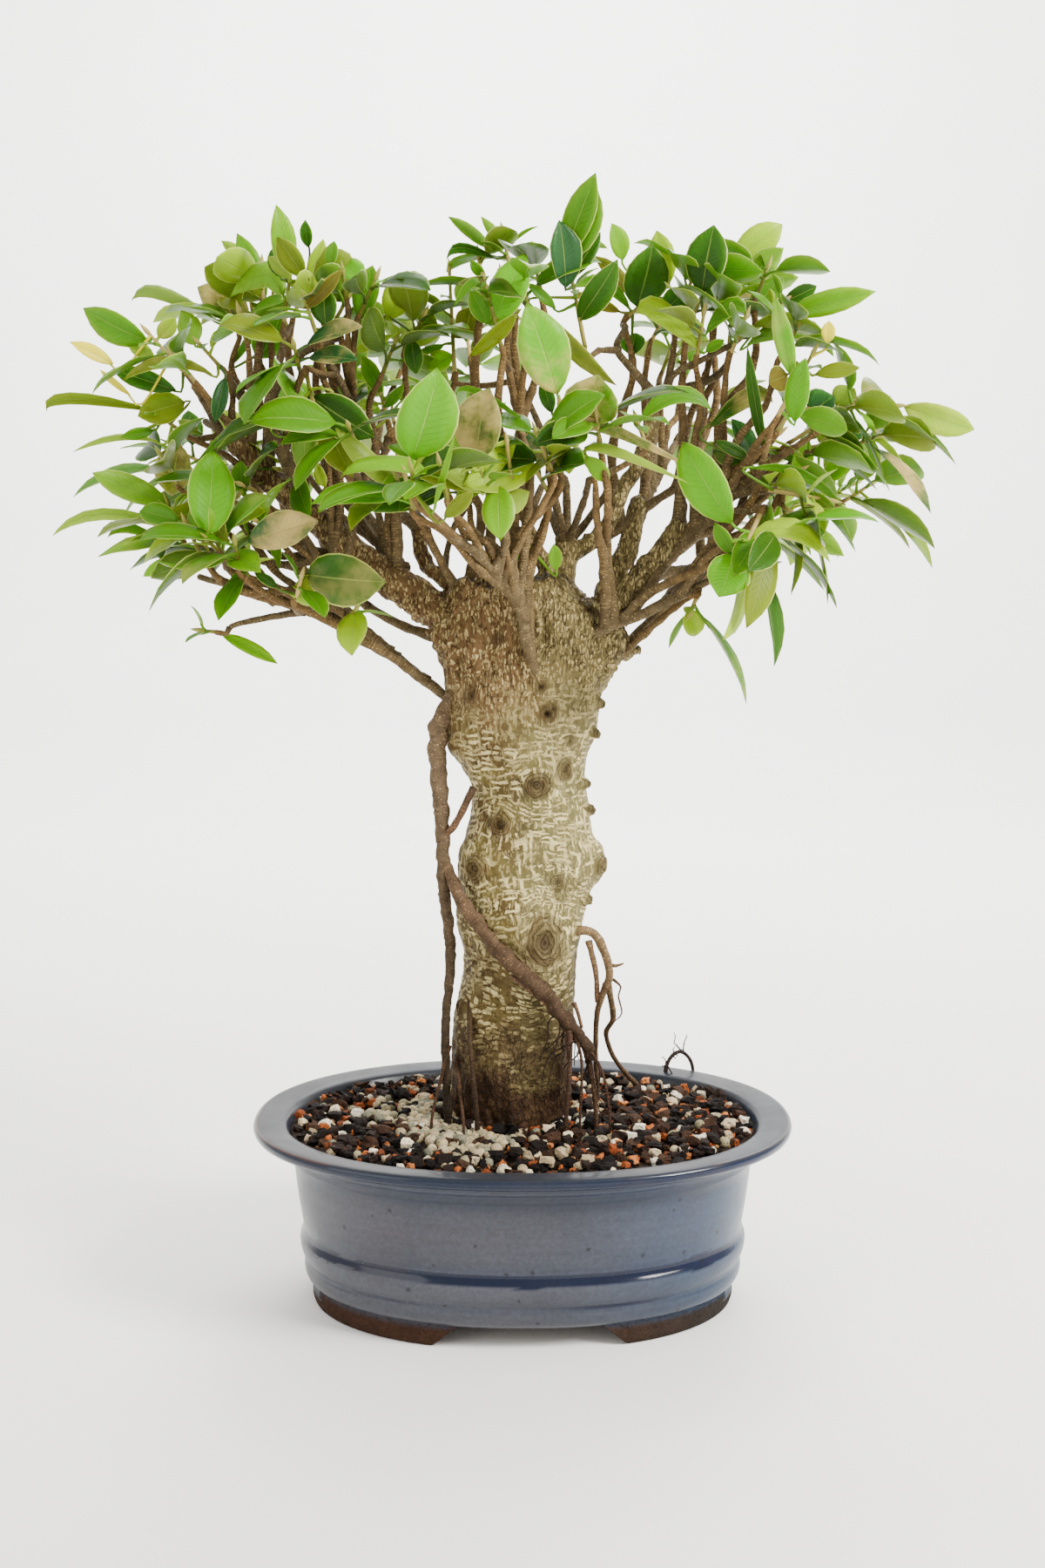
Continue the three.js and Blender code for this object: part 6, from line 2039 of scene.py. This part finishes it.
@dataclass
class Branches:
    """The thinner branches and the twigs that carry the sprays."""

    finish: StemFinish
    bark_tone: Point = (88, 74, 50)
    twig_tone: Point = (104, 80, 46)

    def build(self) -> Piece:
        """Build the piece of branches and twigs.

        Returns:
            The piece, which stands for the wood's solid.
        """
        skin = Skin()
        for index, branch in enumerate(BRANCHES):
            if not branch.is_limb():
                sides = 12 if branch.first > 5.5 else 9
                Stem(branch.path(), branch.halves(), sides=sides, step=3.0, knobbly=0.13, collar=0.35,
                     seed=index).lay(skin, linear(self.bark_tone))
        places = list(self.wood_places())
        for index, spray in enumerate(SPRAYS):
            self.lay_twig(skin, SKETCH.path(spray.shoot), places, index)
            if index % 4 != 3:
                self.lay_riser(skin, SKETCH.path(spray.shoot), places, index + 100)
        for index, shoot in enumerate(inner_shoots()):
            self.lay_riser(skin, shoot, places, index + 200)
        return settle(skin.piece("branches", self.finish.material()), "bark", "trunk_and_branches")

    @staticmethod
    def wood_places() -> Iterable[tuple[Array, float]]:
        """Give places along all drawn wood, with half the thickness there.

        Returns:
            Each place with its half thickness.
        """
        for branch in BRANCHES:
            path, halves = branch.path(), branch.halves()
            for i in range(len(path) - 1):
                for share in (0, 0.25, 0.5, 0.75):
                    half = halves[i] + (halves[i + 1] - halves[i]) * share
                    yield path[i] + (path[i + 1] - path[i]) * share, half
            yield path[-1], halves[-1]

    def lay_twig(self, skin: Skin, shoot: Array, places: Sequence[tuple[Array, float]], seed: int) -> None:
        """Lead a twig from the nearest wood to a shoot, in line with it at the end.

        Args:
            skin: Where it is laid.
            shoot: The shoot that it carries.
            places: Where twigs may start.
            seed: Which unevenness it has.
        """
        onward = unit(shoot[1] - shoot[0])
        turn = shoot[0] - onward * 5
        place, half = min(places, key=lambda known: np.linalg.norm(known[0] - turn)
                          + max(0.0, known[0][2] - turn[2]) * 0.8)
        reach = float(np.linalg.norm(place - turn))
        path = [place]
        halves = [min(half, 1.5 + reach / 60)]
        if reach > 25:
            path.append((place + turn) / 2 - UP * reach * 0.06)
            halves.append(1.7)
        path.extend((turn, shoot[0] + onward * 1.2))
        halves.extend((1.5, 1.3))
        Stem(np.array(path), np.array(halves), sides=8, step=3.0, knobbly=0.1, collar=0.3,
             seed=seed).lay(skin, linear(self.bark_tone), linear(self.twig_tone))

    def lay_riser(self, skin: Skin, shoot: Array, places: Sequence[tuple[Array, float]], seed: int) -> None:
        """Lead a long straight stem from wood well below up to a shoot.

        Args:
            skin: Where it is laid.
            shoot: The shoot that it carries.
            places: Where it may start.
            seed: Which unevenness it has.
        """
        onward = unit(shoot[1] - shoot[0])
        turn = shoot[0] - onward * 4
        lower = [known for known in places if 350 < known[0][2] < turn[2] - 40 and known[1] > 2.4]
        if not lower:
            return self.lay_twig(skin, shoot, places, seed)
        place, half = min(lower, key=lambda known: math.hypot(*(known[0] - turn)[:2])
                          + (turn[2] - known[0][2]) * 0.12)
        reach = float(np.linalg.norm(turn - place))
        draw = np.random.default_rng(seed)
        aside = draw.normal(size=3) * reach * 0.035
        path = np.array((place, place + (turn - place) * 0.35 + UP * reach * 0.05 + aside,
                         place + (turn - place) * 0.72 - aside, turn, shoot[0] + onward))
        first = min(half, 3.4, 1.8 + reach / 60)
        halves = np.array((first, first * 0.84, 1.5 + reach / 150, 1.6, 1.4))
        Stem(path, halves, sides=8, step=3.2, knobbly=0.17, collar=0.35,
             seed=seed).lay(skin, linear(self.bark_tone), linear(self.twig_tone))


def lay_hairs(skin: Skin, starts: Array, way: Array, reach: float, tone: Point, seed: int) -> None:
    """Lay fine hair roots that wind about.

    Args:
        skin: Where they are laid.
        starts: Where each begins.
        way: Where they tend, longer for straighter ones.
        reach: The length of the longest, in mm.
        tone: Their colour.
        seed: Which way each winds.
    """
    draw = np.random.default_rng(seed)
    for start in starts:
        lean, wander = draw.normal(size=3), draw.normal(size=(5, 3))
        steps = (way + lean * 0.5 + wander * 0.5) * reach * draw.uniform(0.5, 1.0) / 5
        path = start + np.cumsum(np.vstack((np.zeros((1, 3)), steps)), axis=0)
        Stem(path, np.linspace(0.55, 0.28, len(path)), sides=5, step=2.0).lay(skin, linear(tone))


@dataclass
class AerialRoots:
    """The roots that hang down the trunk, the thin ones among them and the hairs at their feet."""

    finish: StemFinish
    soil_below: float = -170.0
    buried_height: float = 89.5
    hair_tone: Point = (38, 26, 18)
    hairs: int = 22

    def build(self) -> Piece:
        """Build the piece of aerial roots.

        Returns:
            The piece, which stands for the wood's solid.
        """
        skin = Skin()
        for index, root in enumerate(AERIAL_ROOTS):
            path = SKETCH.path(root.points)
            halves = np.array(root.thickness) / 2
            if root.points[-1][1] < self.soil_below:
                path = np.vstack((path, (path[-1][0], path[-1][1], self.buried_height)))
                halves = np.append(halves, halves[-1])
            thick = root.thickness[0] > 5
            Stem(path, halves, sides=14 if thick else 8, step=2.0 if thick else 2.6, knobbly=root.knobbly,
                 collar=0.2, seed=index + 60).lay(skin, *map(linear, root.tones))
        low, high = SKETCH.seen(40, -158, -30), SKETCH.seen(20, -131, -36)
        starts = low + (high - low) * np.linspace(0, 1, self.hairs)[:, None]
        lay_hairs(skin, starts, UP * -1.6, 19.0, self.hair_tone, 77)
        return settle(skin.piece("aerial_roots", self.finish.material()), "bark", "trunk_and_branches")


LEAF_SHARES = (0.0, 0.09, 0.22, 0.36, 0.5, 0.65, 0.8, 0.92, 1.0)
LEAF_WIDTHS = (0.06, 0.44, 0.78, 0.95, 1.0, 0.93, 0.66, 0.28, 0.0)


@dataclass
class Leaf:
    """One leaf: a blade along a bow from base to tip, and the petiole that leads to it."""

    root: Array
    base: Array
    tip: Array
    side: Array
    face: Array
    half_width: float
    bend: Array

    def point(self, t: float) -> Array:
        """Return the midrib's place at a share of its length."""
        return self.base * (1 - t) ** 2 + self.bend * 2 * t * (1 - t) + self.tip * t ** 2

    def tangent(self, t: float) -> Array:
        """Return the midrib's direction at a share of its length."""
        return unit((self.bend - self.base) * (1 - t) + (self.tip - self.bend) * t)

    def across(self, t: float) -> tuple[Array, Array]:
        """Return the directions across the blade and out of its upper face.

        Args:
            t: A share of the midrib's length.

        Returns:
            The two directions.
        """
        direction = self.tangent(t)
        level = unit(self.side - direction * self.side.dot(direction))
        return level, np.cross(level, direction)

    def edge(self, t: float, share: float) -> Array:
        """Return where the solid's edge lies at a station."""
        return self.point(t) + self.across(t)[0] * self.half_width * share

    def marks(self) -> Array:
        """Return the two points by which the leaf is known in its solid: the tip and a widest edge."""
        t, share = (0.5, 1.0) if self.half_width * 2 > 12 else (0.72, 0.8)
        return np.array((self.tip, self.edge(t, share)))


def leaf_between(
    root: Array, base: Array, tip: Array, side: Array, half_width: float,
    middle: Array | None = None,
) -> Leaf:
    """Shape a leaf between its base and its tip.

    Args:
        root: Where its petiole leaves the shoot.
        base: Where its blade starts.
        tip: Its tip.
        side: The direction across its blade.
        half_width: Half its width at the widest.
        middle: A point that its midrib passes, or None for a light bow.

    Returns:
        The leaf.
    """
    face = np.cross(side, unit(tip - base))
    if middle is None:
        bend = (base + tip) / 2 + face * 0.09 * np.linalg.norm(tip - base)
    else:
        bend = 2 * middle - 0.5 * base - 0.5 * tip
    return Leaf(root, base, tip, side, face, half_width, bend)


def along(path: Array, share: float) -> Array:
    """Return the point at a share of a path's length.

    Args:
        path: The path.
        share: The share, from 0 to 1.

    Returns:
        The point.
    """
    lengths = np.linalg.norm(np.diff(path, axis=0), axis=1)
    left = share * lengths.sum()
    for i, length in enumerate(lengths):
        if left <= length or i == len(lengths) - 1:
            return path[i] + (path[i + 1] - path[i]) * (left / length)
        left -= length
    return path[0]


def nearest_on(path: Array, point: Array) -> Array:
    """Return the nearest of 25 places along a shoot."""
    places = [along(path, 0.12 + 0.86 * i / 24) for i in range(25)]
    return min(places, key=lambda place: np.linalg.norm(place - point))


def read_leaf(row: Point, shoot: Array, tilt: float, roll: float, step: float) -> Leaf:
    """Shape a leaf that was read from the photograph.

    Args:
        row: Its base and tip on the sketch, its width, and a middle point where it has one.
        shoot: The shoot's path.
        tilt: How far the tip leans away from the eye, per mm of length.
        roll: How far the blade rolls round its midrib.
        step: How far it lies behind the shoot.

    Returns:
        The leaf.
    """
    base_x, base_h, tip_x, tip_h, width, *middle = row
    depth = nearest_on(shoot, SKETCH.seen(base_x, base_h, shoot[0][1]))[1] + step
    length = math.hypot(tip_x - base_x, tip_h - base_h)
    base = SKETCH.seen(base_x, base_h, depth)
    tip = SKETCH.seen(tip_x, tip_h, depth + tilt * length)
    midrib = unit(tip - base)
    across = turned(unit(np.cross(midrib, unit(np.array(SKETCH.eye) - base))), midrib, roll)
    scale = (depth - SKETCH.eye[1]) / -SKETCH.eye[1] / math.cos(roll) / 2
    through = SKETCH.seen(*middle, depth + tilt * length / 2) if middle else None
    root = nearest_on(shoot, base)
    return leaf_between(root, base, tip, across * math.copysign(1, width), abs(width) * scale, through)


def rule_leaf(shoot: Array, order: int, count: int, turn: float, length: float) -> Leaf:
    """Shape a leaf that grows by rule at its turn round the shoot.

    Args:
        shoot: The shoot's path.
        order: Which leaf of the shoot it is.
        count: How many the shoot has.
        turn: How far it is turned round the shoot beyond its rule.
        length: Its length.

    Returns:
        The leaf.
    """
    root = along(shoot, 0.15 + 0.8 * (order + 0.5) / count)
    stem = unit(shoot[-1] - shoot[0])
    flat = unit(np.cross(stem, np.array((1.0, 0.0, 0.0)) if abs(stem[2]) > 0.9 else UP))
    outward = turned(flat, stem, order * GOLDEN_TURN + turn)
    way = stem * math.cos(1.05) + outward * math.sin(1.05)
    base = root + way * 8
    tip = base + way * length - UP * 0.35 * length
    level = np.cross(unit(tip - base), UP)
    side = unit(outward if np.linalg.norm(level) < 0.2 else level)
    return leaf_between(root, base, tip, side, length * 0.44 / 2)


class LeafTemplate:
    """The blade that every leaf is a copy of, modelled once: flat, from (0, 0) to (1, 0), half width 1."""

    def __init__(self) -> None:
        """Model the blade and keep its points, faces and shares."""
        self.places, faces = taken_apart(self.model())
        self.faces = [face[::-1] for face in faces]

    @staticmethod
    def model() -> Piece:
        """Model the blade as a grid, drawn out to a leaf and doubled into a thin wedge.

        Returns:
            The blade, where x is the share along it, y the share across and z the side of the skin.
        """
        steps = len(LEAF_SHARES) - 1
        piece = fresh("grid", x_subdivisions=steps, y_subdivisions=4, size=2)
        open_up()
        bpy.ops.mesh.extrude_region_move(TRANSFORM_OT_translate={"value": (0.0, 0.0, -1.0)})
        close_up()
        for vertex in piece.data.vertices:
            place = round((vertex.co.x + 1) / 2 * steps)
            at_tip = place == steps
            vertex.co = (LEAF_SHARES[place], 0.0 if at_tip else vertex.co.y, 0.0 if at_tip else vertex.co.z)
        open_up()
        bpy.ops.mesh.remove_doubles(threshold=0.001)
        close_up(outward=False)
        return piece

    def lay(self, skin: Skin, leaf: Leaf, tone: Array, under: Array, look: dict[str, float]) -> None:
        """Lay a leaf's blade and petiole into its spray.

        Args:
            skin: The spray.
            leaf: The leaf.
            tone: Its upper side's colour with alpha.
            under: Its lower side's colour with alpha.
            look: How strongly it folds, waves and curls its tip.
        """
        shares, offs, sides = self.places.T
        lower = sides < -0.5
        rows = np.array([(leaf.point(share), *leaf.across(share)) for share in LEAF_SHARES])
        nearest = np.abs(shares[:, None] - np.array(LEAF_SHARES)).argmin(axis=1)
        centres, levels, faces = rows[nearest].swapaxes(0, 1)
        widths = np.interp(shares, LEAF_SHARES, LEAF_WIDTHS) * leaf.half_width
        fold = look["fold"] * np.abs(offs) * widths
        swing = np.sin(shares * look["pitch"] + offs * 1.3 + look["phase"])
        wave = look["wave"] * swing * np.abs(offs) * widths
        thickness = np.where(lower, 0.9 * (1 - np.abs(offs)) + 0.12, 0.0)
        thickness = thickness * np.minimum(1.0, 1.15 - shares * 0.9)
        droop = -look["curl"] * np.maximum(0.0, shares - 0.75) ** 2 * leaf.half_width * 6
        lift = fold + wave - thickness + droop
        points = centres + levels * (offs * widths)[:, None] + faces * lift[:, None]
        tones = np.where(lower[:, None], np.array(under), np.array(tone))
        corners = [(float(shares[i]), float(offs[i] / 2 + 0.5)) for face in self.faces for i in face]
        skin.add(points, self.faces, corners, tones)
        self.lay_petiole(skin, leaf, under)

    @staticmethod
    def lay_petiole(skin: Skin, leaf: Leaf, tone: Array) -> None:
        """Lead a curved petiole from the shoot to a little way under the blade.

        Args:
            skin: The spray.
            leaf: The leaf.
            tone: Its colour.
        """
        reach = float(np.linalg.norm(leaf.root - leaf.base))
        face = leaf.across(0.1)[1]
        end = leaf.point(0.14) - face * 0.75
        if reach < 1.5:
            path = np.array((leaf.root, end))
        else:
            arrive = leaf.base - leaf.tangent(0.0) * reach * 0.25 - face * 0.5
            path = np.array((leaf.root, arrive, end))
        halves = np.linspace(0.8, 0.55, len(path))
        Stem(path, halves, sides=5, step=3.5, collar=0.5).lay(skin, tone)


class LeafTone(Enum):
    """The greens of the crown, each with the letter that the spray rows use."""

    VIVID = ("v", (84, 150, 0))
    BRIGHT = ("b", (102, 154, 0))
    MID = ("m", (66, 114, 2))
    DARK = ("d", (38, 70, 6))
    TEAL = ("t", (34, 70, 34))
    OLIVE = ("o", (96, 110, 6))
    PALE = ("p", (126, 154, 30))
    YELLOW = ("y", (216, 200, 30))
    # The golden tone also serves as a painted highlight on the last leaf of right_low.
    GOLDEN = ("g", (138, 170, 12))
    BROWN = ("n", (96, 84, 22))
    SAGE = ("s", (92, 118, 34))

    @classmethod
    def of(cls, letter: str) -> LeafTone:
        """Return the tone with a letter."""
        return next(tone for tone in cls if tone.value[0] == letter.lower())

    @property
    def colour(self) -> Array:
        """Return the tone as a linear colour with alpha."""
        return np.array(linear(self.value[1]))


@dataclass
class Foliage:
    """The crown's leafy sprays, each one piece with its shoot, petioles, blades and end bud."""

    finish: LeafFinish
    match_within: float = 0.15
    shoot_tone: Point = (104, 106, 34)
    bud_tone: Point = (140, 140, 60)
    seed: int = 90210
    small_shares: Point = (0.3, 0.55)
    steps: Point = (0, -4, 4, -8, 8, -12, 12, -16, 16, -21, 21, -27, 27, -34, 34, -42)
    turns: Point = (0, 0.7, -0.7, 1.4, -1.4, 2.1, -2.1, 2.8)
    rule_tones: str = "mdobmg"
    inner_tones: str = "vbmmmddogT"
    small_tones: str = "bgmp"
    underside: Point = (128, 146, 60)
    room: float = 3.0

    def __post_init__(self) -> None:
        """Prepare the blade that is copied and the seeded rows."""
        self.blade = LeafTemplate()
        self.draw = np.random.default_rng(self.seed)
        self.taken = np.zeros((0, 3))

    def build(self) -> list[Piece]:
        """Build one piece for each spray.

        Returns:
            The pieces.
        """
        material = self.finish.material()
        sprays = self.grown()
        for spray, leaves in sprays.items():
            for leaf, _ in leaves:
                self.occupy(leaf)
        outer = [self.dress(spray, leaves, material) for spray, leaves in sprays.items()]
        return [*outer, self.inner(material)]

    def inner(self, material: Material) -> Piece:
        """Grow the leaves of the shoots inside the crown, each where there is room for it.

        Args:
            material: The leaf material.

        Returns:
            The piece that holds them all.
        """
        skin = Skin()
        middle = np.mean([spray.path()[-1] for spray in SPRAYS], axis=0) - UP * 60
        for path in inner_shoots():
            self.lay_shoot(skin, path)
            for order in range(6):
                turn, length = self.draw.uniform(0, 0.8), self.draw.uniform(30, 52)
                leaf = self.turned_out(rule_leaf(path, order, 6, turn, length), middle)
                if self.is_free(leaf):
                    self.occupy(leaf)
                    self.lay_leaf(skin, leaf, str(self.draw.choice(list(self.inner_tones))))
        return settle(skin.piece("inner_leaves", material), "leaf_mid")

    def turned_out(self, leaf: Leaf, middle: Array) -> Leaf:
        """Turn a leaf's blade to the light outside the crown.

        Args:
            leaf: The leaf as it grew by rule.
            middle: The crown's middle.

        Returns:
            The leaf with its upper face turned up and outwards.
        """
        midrib = unit(leaf.tip - leaf.base)
        outward = unit((leaf.base - middle) * np.array((1.0, 1.4, 0.5)))
        light = outward + UP * 0.7 + self.draw.normal(size=3) * 0.35
        side = unit(np.cross(midrib, light))
        half_width = leaf.half_width * self.draw.uniform(0.95, 1.2)
        return leaf_between(leaf.root, leaf.base, leaf.tip, side, half_width)

    def grown(self) -> dict[Spray, list[tuple[Leaf, str]]]:
        """Find for every leaf the place that its solid took, in the order in which the solids grew.

        Returns:
            The leaves of each spray, each with its tone letter.
        """
        row = SeededRow(self.seed)
        found: dict[Spray, list[tuple[Leaf, str]]] = {}
        solids = {spray: self.solid_points(spray) for spray in SPRAYS}
        for spray in SPRAYS:
            path = spray.path()
            found[spray] = []
            for leaf, letter in zip(spray.leaves, spray.tones):
                tilt, roll = row.between(-0.5, 0.25), row.between(-0.5, 0.5)
                choices = (read_leaf(leaf, path, tilt, turn, step)
                           for step in self.steps for turn in (roll, -roll))
                self.keep(found[spray], self.first_match(choices, solids[spray]), letter)
        for index, spray in enumerate(SPRAYS):
            count = (1, 0)[index % 2] if spray.leaves else 6
            first = 1.6 if spray.leaves else 0.0
            for order in range(count):
                length = row.between(28, 44)
                choices = (rule_leaf(spray.path(), order, count, first + turn, length)
                           for turn in self.turns)
                letter = self.rule_tones[(index + order) % len(self.rule_tones)]
                self.keep(found[spray], self.first_match(choices, solids[spray]), letter)
        log.info("leaves matched to their solids: %d", sum(map(len, found.values())))
        return found

    @staticmethod
    def solid_points(spray: Spray) -> Array:
        """Return the corners of a spray's solid, in the pot's millimetres."""
        return read_points(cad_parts[f"leaf_spray_{spray.name}"]) / MM - POT_PLACE

    def first_match(self, choices: Iterable[Leaf], solid: Array) -> Leaf | None:
        """Return the first choice whose marks are corners of the solid, or None.

        Args:
            choices: Places that the leaf may have.
            solid: The corners of its spray's solid.

        Returns:
            The leaf, or None where the solid has none.
        """
        for leaf in choices:
            apart = np.linalg.norm(leaf.marks()[:, None] - solid[None], axis=2).min(axis=1)
            if apart.max() < self.match_within:
                return leaf
        return None

    @staticmethod
    def keep(leaves: list[tuple[Leaf, str]], leaf: Leaf | None, letter: str) -> None:
        """Add a leaf to its spray where its solid has it."""
        if leaf is not None:
            leaves.append((leaf, letter))

    @staticmethod
    def samples(leaf: Leaf) -> Array:
        """Return points spread over a blade."""
        return np.array([leaf.edge(t, share) for t in (0.2, 0.45, 0.7, 0.95) for share in (-0.7, 0.0, 0.7)])

    def occupy(self, leaf: Leaf) -> None:
        """Remember where a blade lies."""
        self.taken = np.vstack((self.taken, self.samples(leaf)))

    def is_free(self, leaf: Leaf) -> bool:
        """Tell whether a blade has room round it."""
        apart = np.linalg.norm(self.samples(leaf)[:, None] - self.taken[None], axis=2)
        return bool(apart.min() > self.room)

    def small_leaves(self, path: Array) -> Iterable[tuple[Leaf, str]]:
        """Grow the small young leaves near a shoot's end, where there is room for them.

        Args:
            path: The shoot's path.

        Returns:
            Each leaf with its tone letter.
        """
        for order in range(3):
            length = self.draw.uniform(9, 20)
            turn = self.draw.uniform(0, 2 * math.pi)
            leaf = rule_leaf(path, order + 3, 6, turn, length)
            base = leaf.root + (leaf.base - leaf.root) * self.draw.uniform(*self.small_shares)
            leaf = leaf_between(leaf.root, base, leaf.tip, leaf.side, leaf.half_width * 0.9)
            if self.is_free(leaf):
                self.occupy(leaf)
                yield leaf, str(self.draw.choice(list(self.small_tones)))

    def dress(self, spray: Spray, leaves: list[tuple[Leaf, str]], material: Material) -> Piece:
        """Make a spray's piece.

        Args:
            spray: The spray.
            leaves: Its leaves with their tone letters.
            material: The leaf material.

        Returns:
            The piece, which stands for the spray's solid.
        """
        skin = Skin()
        path = spray.path()
        self.lay_shoot(skin, path)
        for leaf, letter in (*leaves, *self.small_leaves(path)):
            self.lay_leaf(skin, leaf, letter)
        piece = skin.piece(f"spray_{spray.name}", material)
        slot = ("leaf_light", "leaf_mid", "leaf_dark")[SPRAYS.index(spray) % 3]
        return settle(piece, slot, f"leaf_spray_{spray.name}")

    def lay_shoot(self, skin: Skin, path: Array) -> None:
        """Lay the green shoot and the pointed bud at its end.

        Args:
            skin: The spray.
            path: The shoot's path.
        """
        onward = unit(path[-1] - path[-2])
        halves = np.linspace(1.35, 0.95, len(path))
        Stem(path, halves, sides=7, step=3.0, knobbly=0.08).lay(skin, linear(self.shoot_tone))
        bud = np.array([path[-1] + onward * reach for reach in (-1.0, 2.2, 5.0, 8.0)])
        Stem(bud, np.array((0.9, 1.45, 1.0, 0.15)), sides=7, step=1.2).lay(skin, linear(self.bud_tone))

    def lay_leaf(self, skin: Skin, leaf: Leaf, letter: str) -> None:
        """Lay one leaf with its own tone, paler beneath, and a tan patch where the letter is a capital.

        Args:
            skin: The spray.
            leaf: The leaf.
            letter: Its tone letter.
        """
        tone = LeafTone.of(letter).colour * self.draw.uniform(0.88, 1.1)
        tone[3] = 0.9 if letter.isupper() else self.draw.choice((0.0, 0.0, 0.0, 0.0, 0.3))
        under = tone * 0.78 + np.array(linear(self.underside)) * 0.22
        under[3] = 0.0
        spans = {"fold": (0.14, 0.34), "wave": (0.02, 0.08), "pitch": (7, 12), "phase": (0, 6.3),
                 "curl": (-0.2, 0.8)}
        look = {name: self.draw.uniform(*span) for name, span in spans.items()}
        self.blade.lay(skin, leaf, tone, under, look)


@dataclass(frozen=True)
class Lamp:
    """One soft lamp: where it stands, what it looks at, its side in metres, its power and its colour."""

    name: str
    place: Point
    target: Point
    size: float
    power: float
    colour: Point = (1.0, 1.0, 1.0)


@dataclass
class Studio:
    """The pale floor, the soft lamps and the camera at the photograph's place."""

    finish: PlainFinish
    focal_pixels: float = 2040.0
    frame_pixels: float = 1800.0
    sensor: float = 36.0
    sky: Point = (1.0, 0.99, 0.965)
    sky_strength: float = 1.3
    lamps: tuple[Lamp, ...] = (
        Lamp("key_lamp", (1.7, -1.0, 1.5), (0.0, 0.0, 0.3), 0.8, 110.0, (1.0, 0.98, 0.94)),
        Lamp("fill_lamp", (-1.7, -1.3, 1.0), (0.0, 0.0, 0.3), 1.4, 16.0, (1.0, 0.98, 0.95)),
        Lamp("back_lamp", (0.4, 1.8, 1.9), (0.0, 0.0, 0.35), 1.4, 50.0),
        Lamp("backdrop_lamp", (0.0, 2.0, 3.6), (0.0, 5.2, 1.2), 2.4, 420.0),
    )

    def build(self) -> None:
        """Set up the floor, the light and the camera."""
        self.floor()
        self.light()
        self.camera()

    def floor(self) -> None:
        """Lay the floor as a wide disc, curved up far behind the tree."""
        floor = fresh("grid", x_subdivisions=24, y_subdivisions=24, size=12)
        floor.name = "floor"
        for vertex in floor.data.vertices:
            vertex.co.z = 0.55 * max(0.0, vertex.co.y - 2.5) ** 2
        dress(floor, self.finish.material())

    def light(self) -> None:
        """Place the soft lamps and the pale sky."""
        for lamp in self.lamps:
            data = bpy.data.lights.new(lamp.name, "AREA")
            data.size, data.energy, data.color = lamp.size, lamp.power, lamp.colour
            made = bpy.data.objects.new(lamp.name, data)
            made.location = lamp.place
            way = unit(np.array(lamp.target) - np.array(lamp.place))
            made.rotation_euler = (math.pi / 2 + math.asin(way[2]), 0.0, math.atan2(-way[0], way[1]))
            bpy.context.scene.collection.objects.link(made)
        world = bpy.data.worlds.new("studio_sky")
        world.use_nodes = True
        sky = world.node_tree.nodes["Background"]
        sky.inputs["Color"].default_value = (*self.sky, 1.0)
        sky.inputs["Strength"].default_value = self.sky_strength
        bpy.context.scene.world = world

    def camera(self) -> None:
        """Stand the camera where the photograph was taken from."""
        data = bpy.data.cameras.new("photo_camera")
        data.sensor_width = self.sensor
        data.lens = self.focal_pixels / self.frame_pixels * self.sensor
        data.clip_start, data.clip_end = 0.05, 50.0
        made = bpy.data.objects.new("photo_camera", data)
        made.location = tuple((np.array(SKETCH.eye) + POT_PLACE) * MM)
        made.rotation_euler = (math.pi / 2 - SKETCH.pitch, 0.0, 0.0)
        bpy.context.scene.collection.objects.link(made)
        bpy.context.scene.camera = made


def main() -> None:
    """Build the bonsai piece by piece, and stand it in its studio."""
    logging.basicConfig(level=logging.INFO, format="%(name)s: %(message)s")
    stem = StemFinish("grown_bark", 0.7)
    grit = GritFinish("bare_clay", 0.9, scale=200.0)
    Pot(GlazeFinish("mauve_grey_glaze", 0.32, sheen=0.25), grit).build()
    DrainScreens(PlainFinish("screen_plastic", 0.5)).build()
    Soil(GritFinish("damp_soil", 0.95), GritFinish("granule", 0.92, scale=320.0, amount=0.5)).build()
    RootLoop(stem).build()
    Trunk(BarkFinish("tiger_bark", 0.62)).build()
    Branches(stem).build()
    AerialRoots(stem).build()
    Foliage(LeafFinish("waxy_leaf", 0.38, sheen=0.14)).build()
    floor = PlainFinish("pale_floor", 0.9, tone=(250, 249, 246), scale=3.0, amount=0.05, pebbled=False)
    Studio(floor).build()
    log.info("all pieces built")


if __name__ == "__main__":
    main()
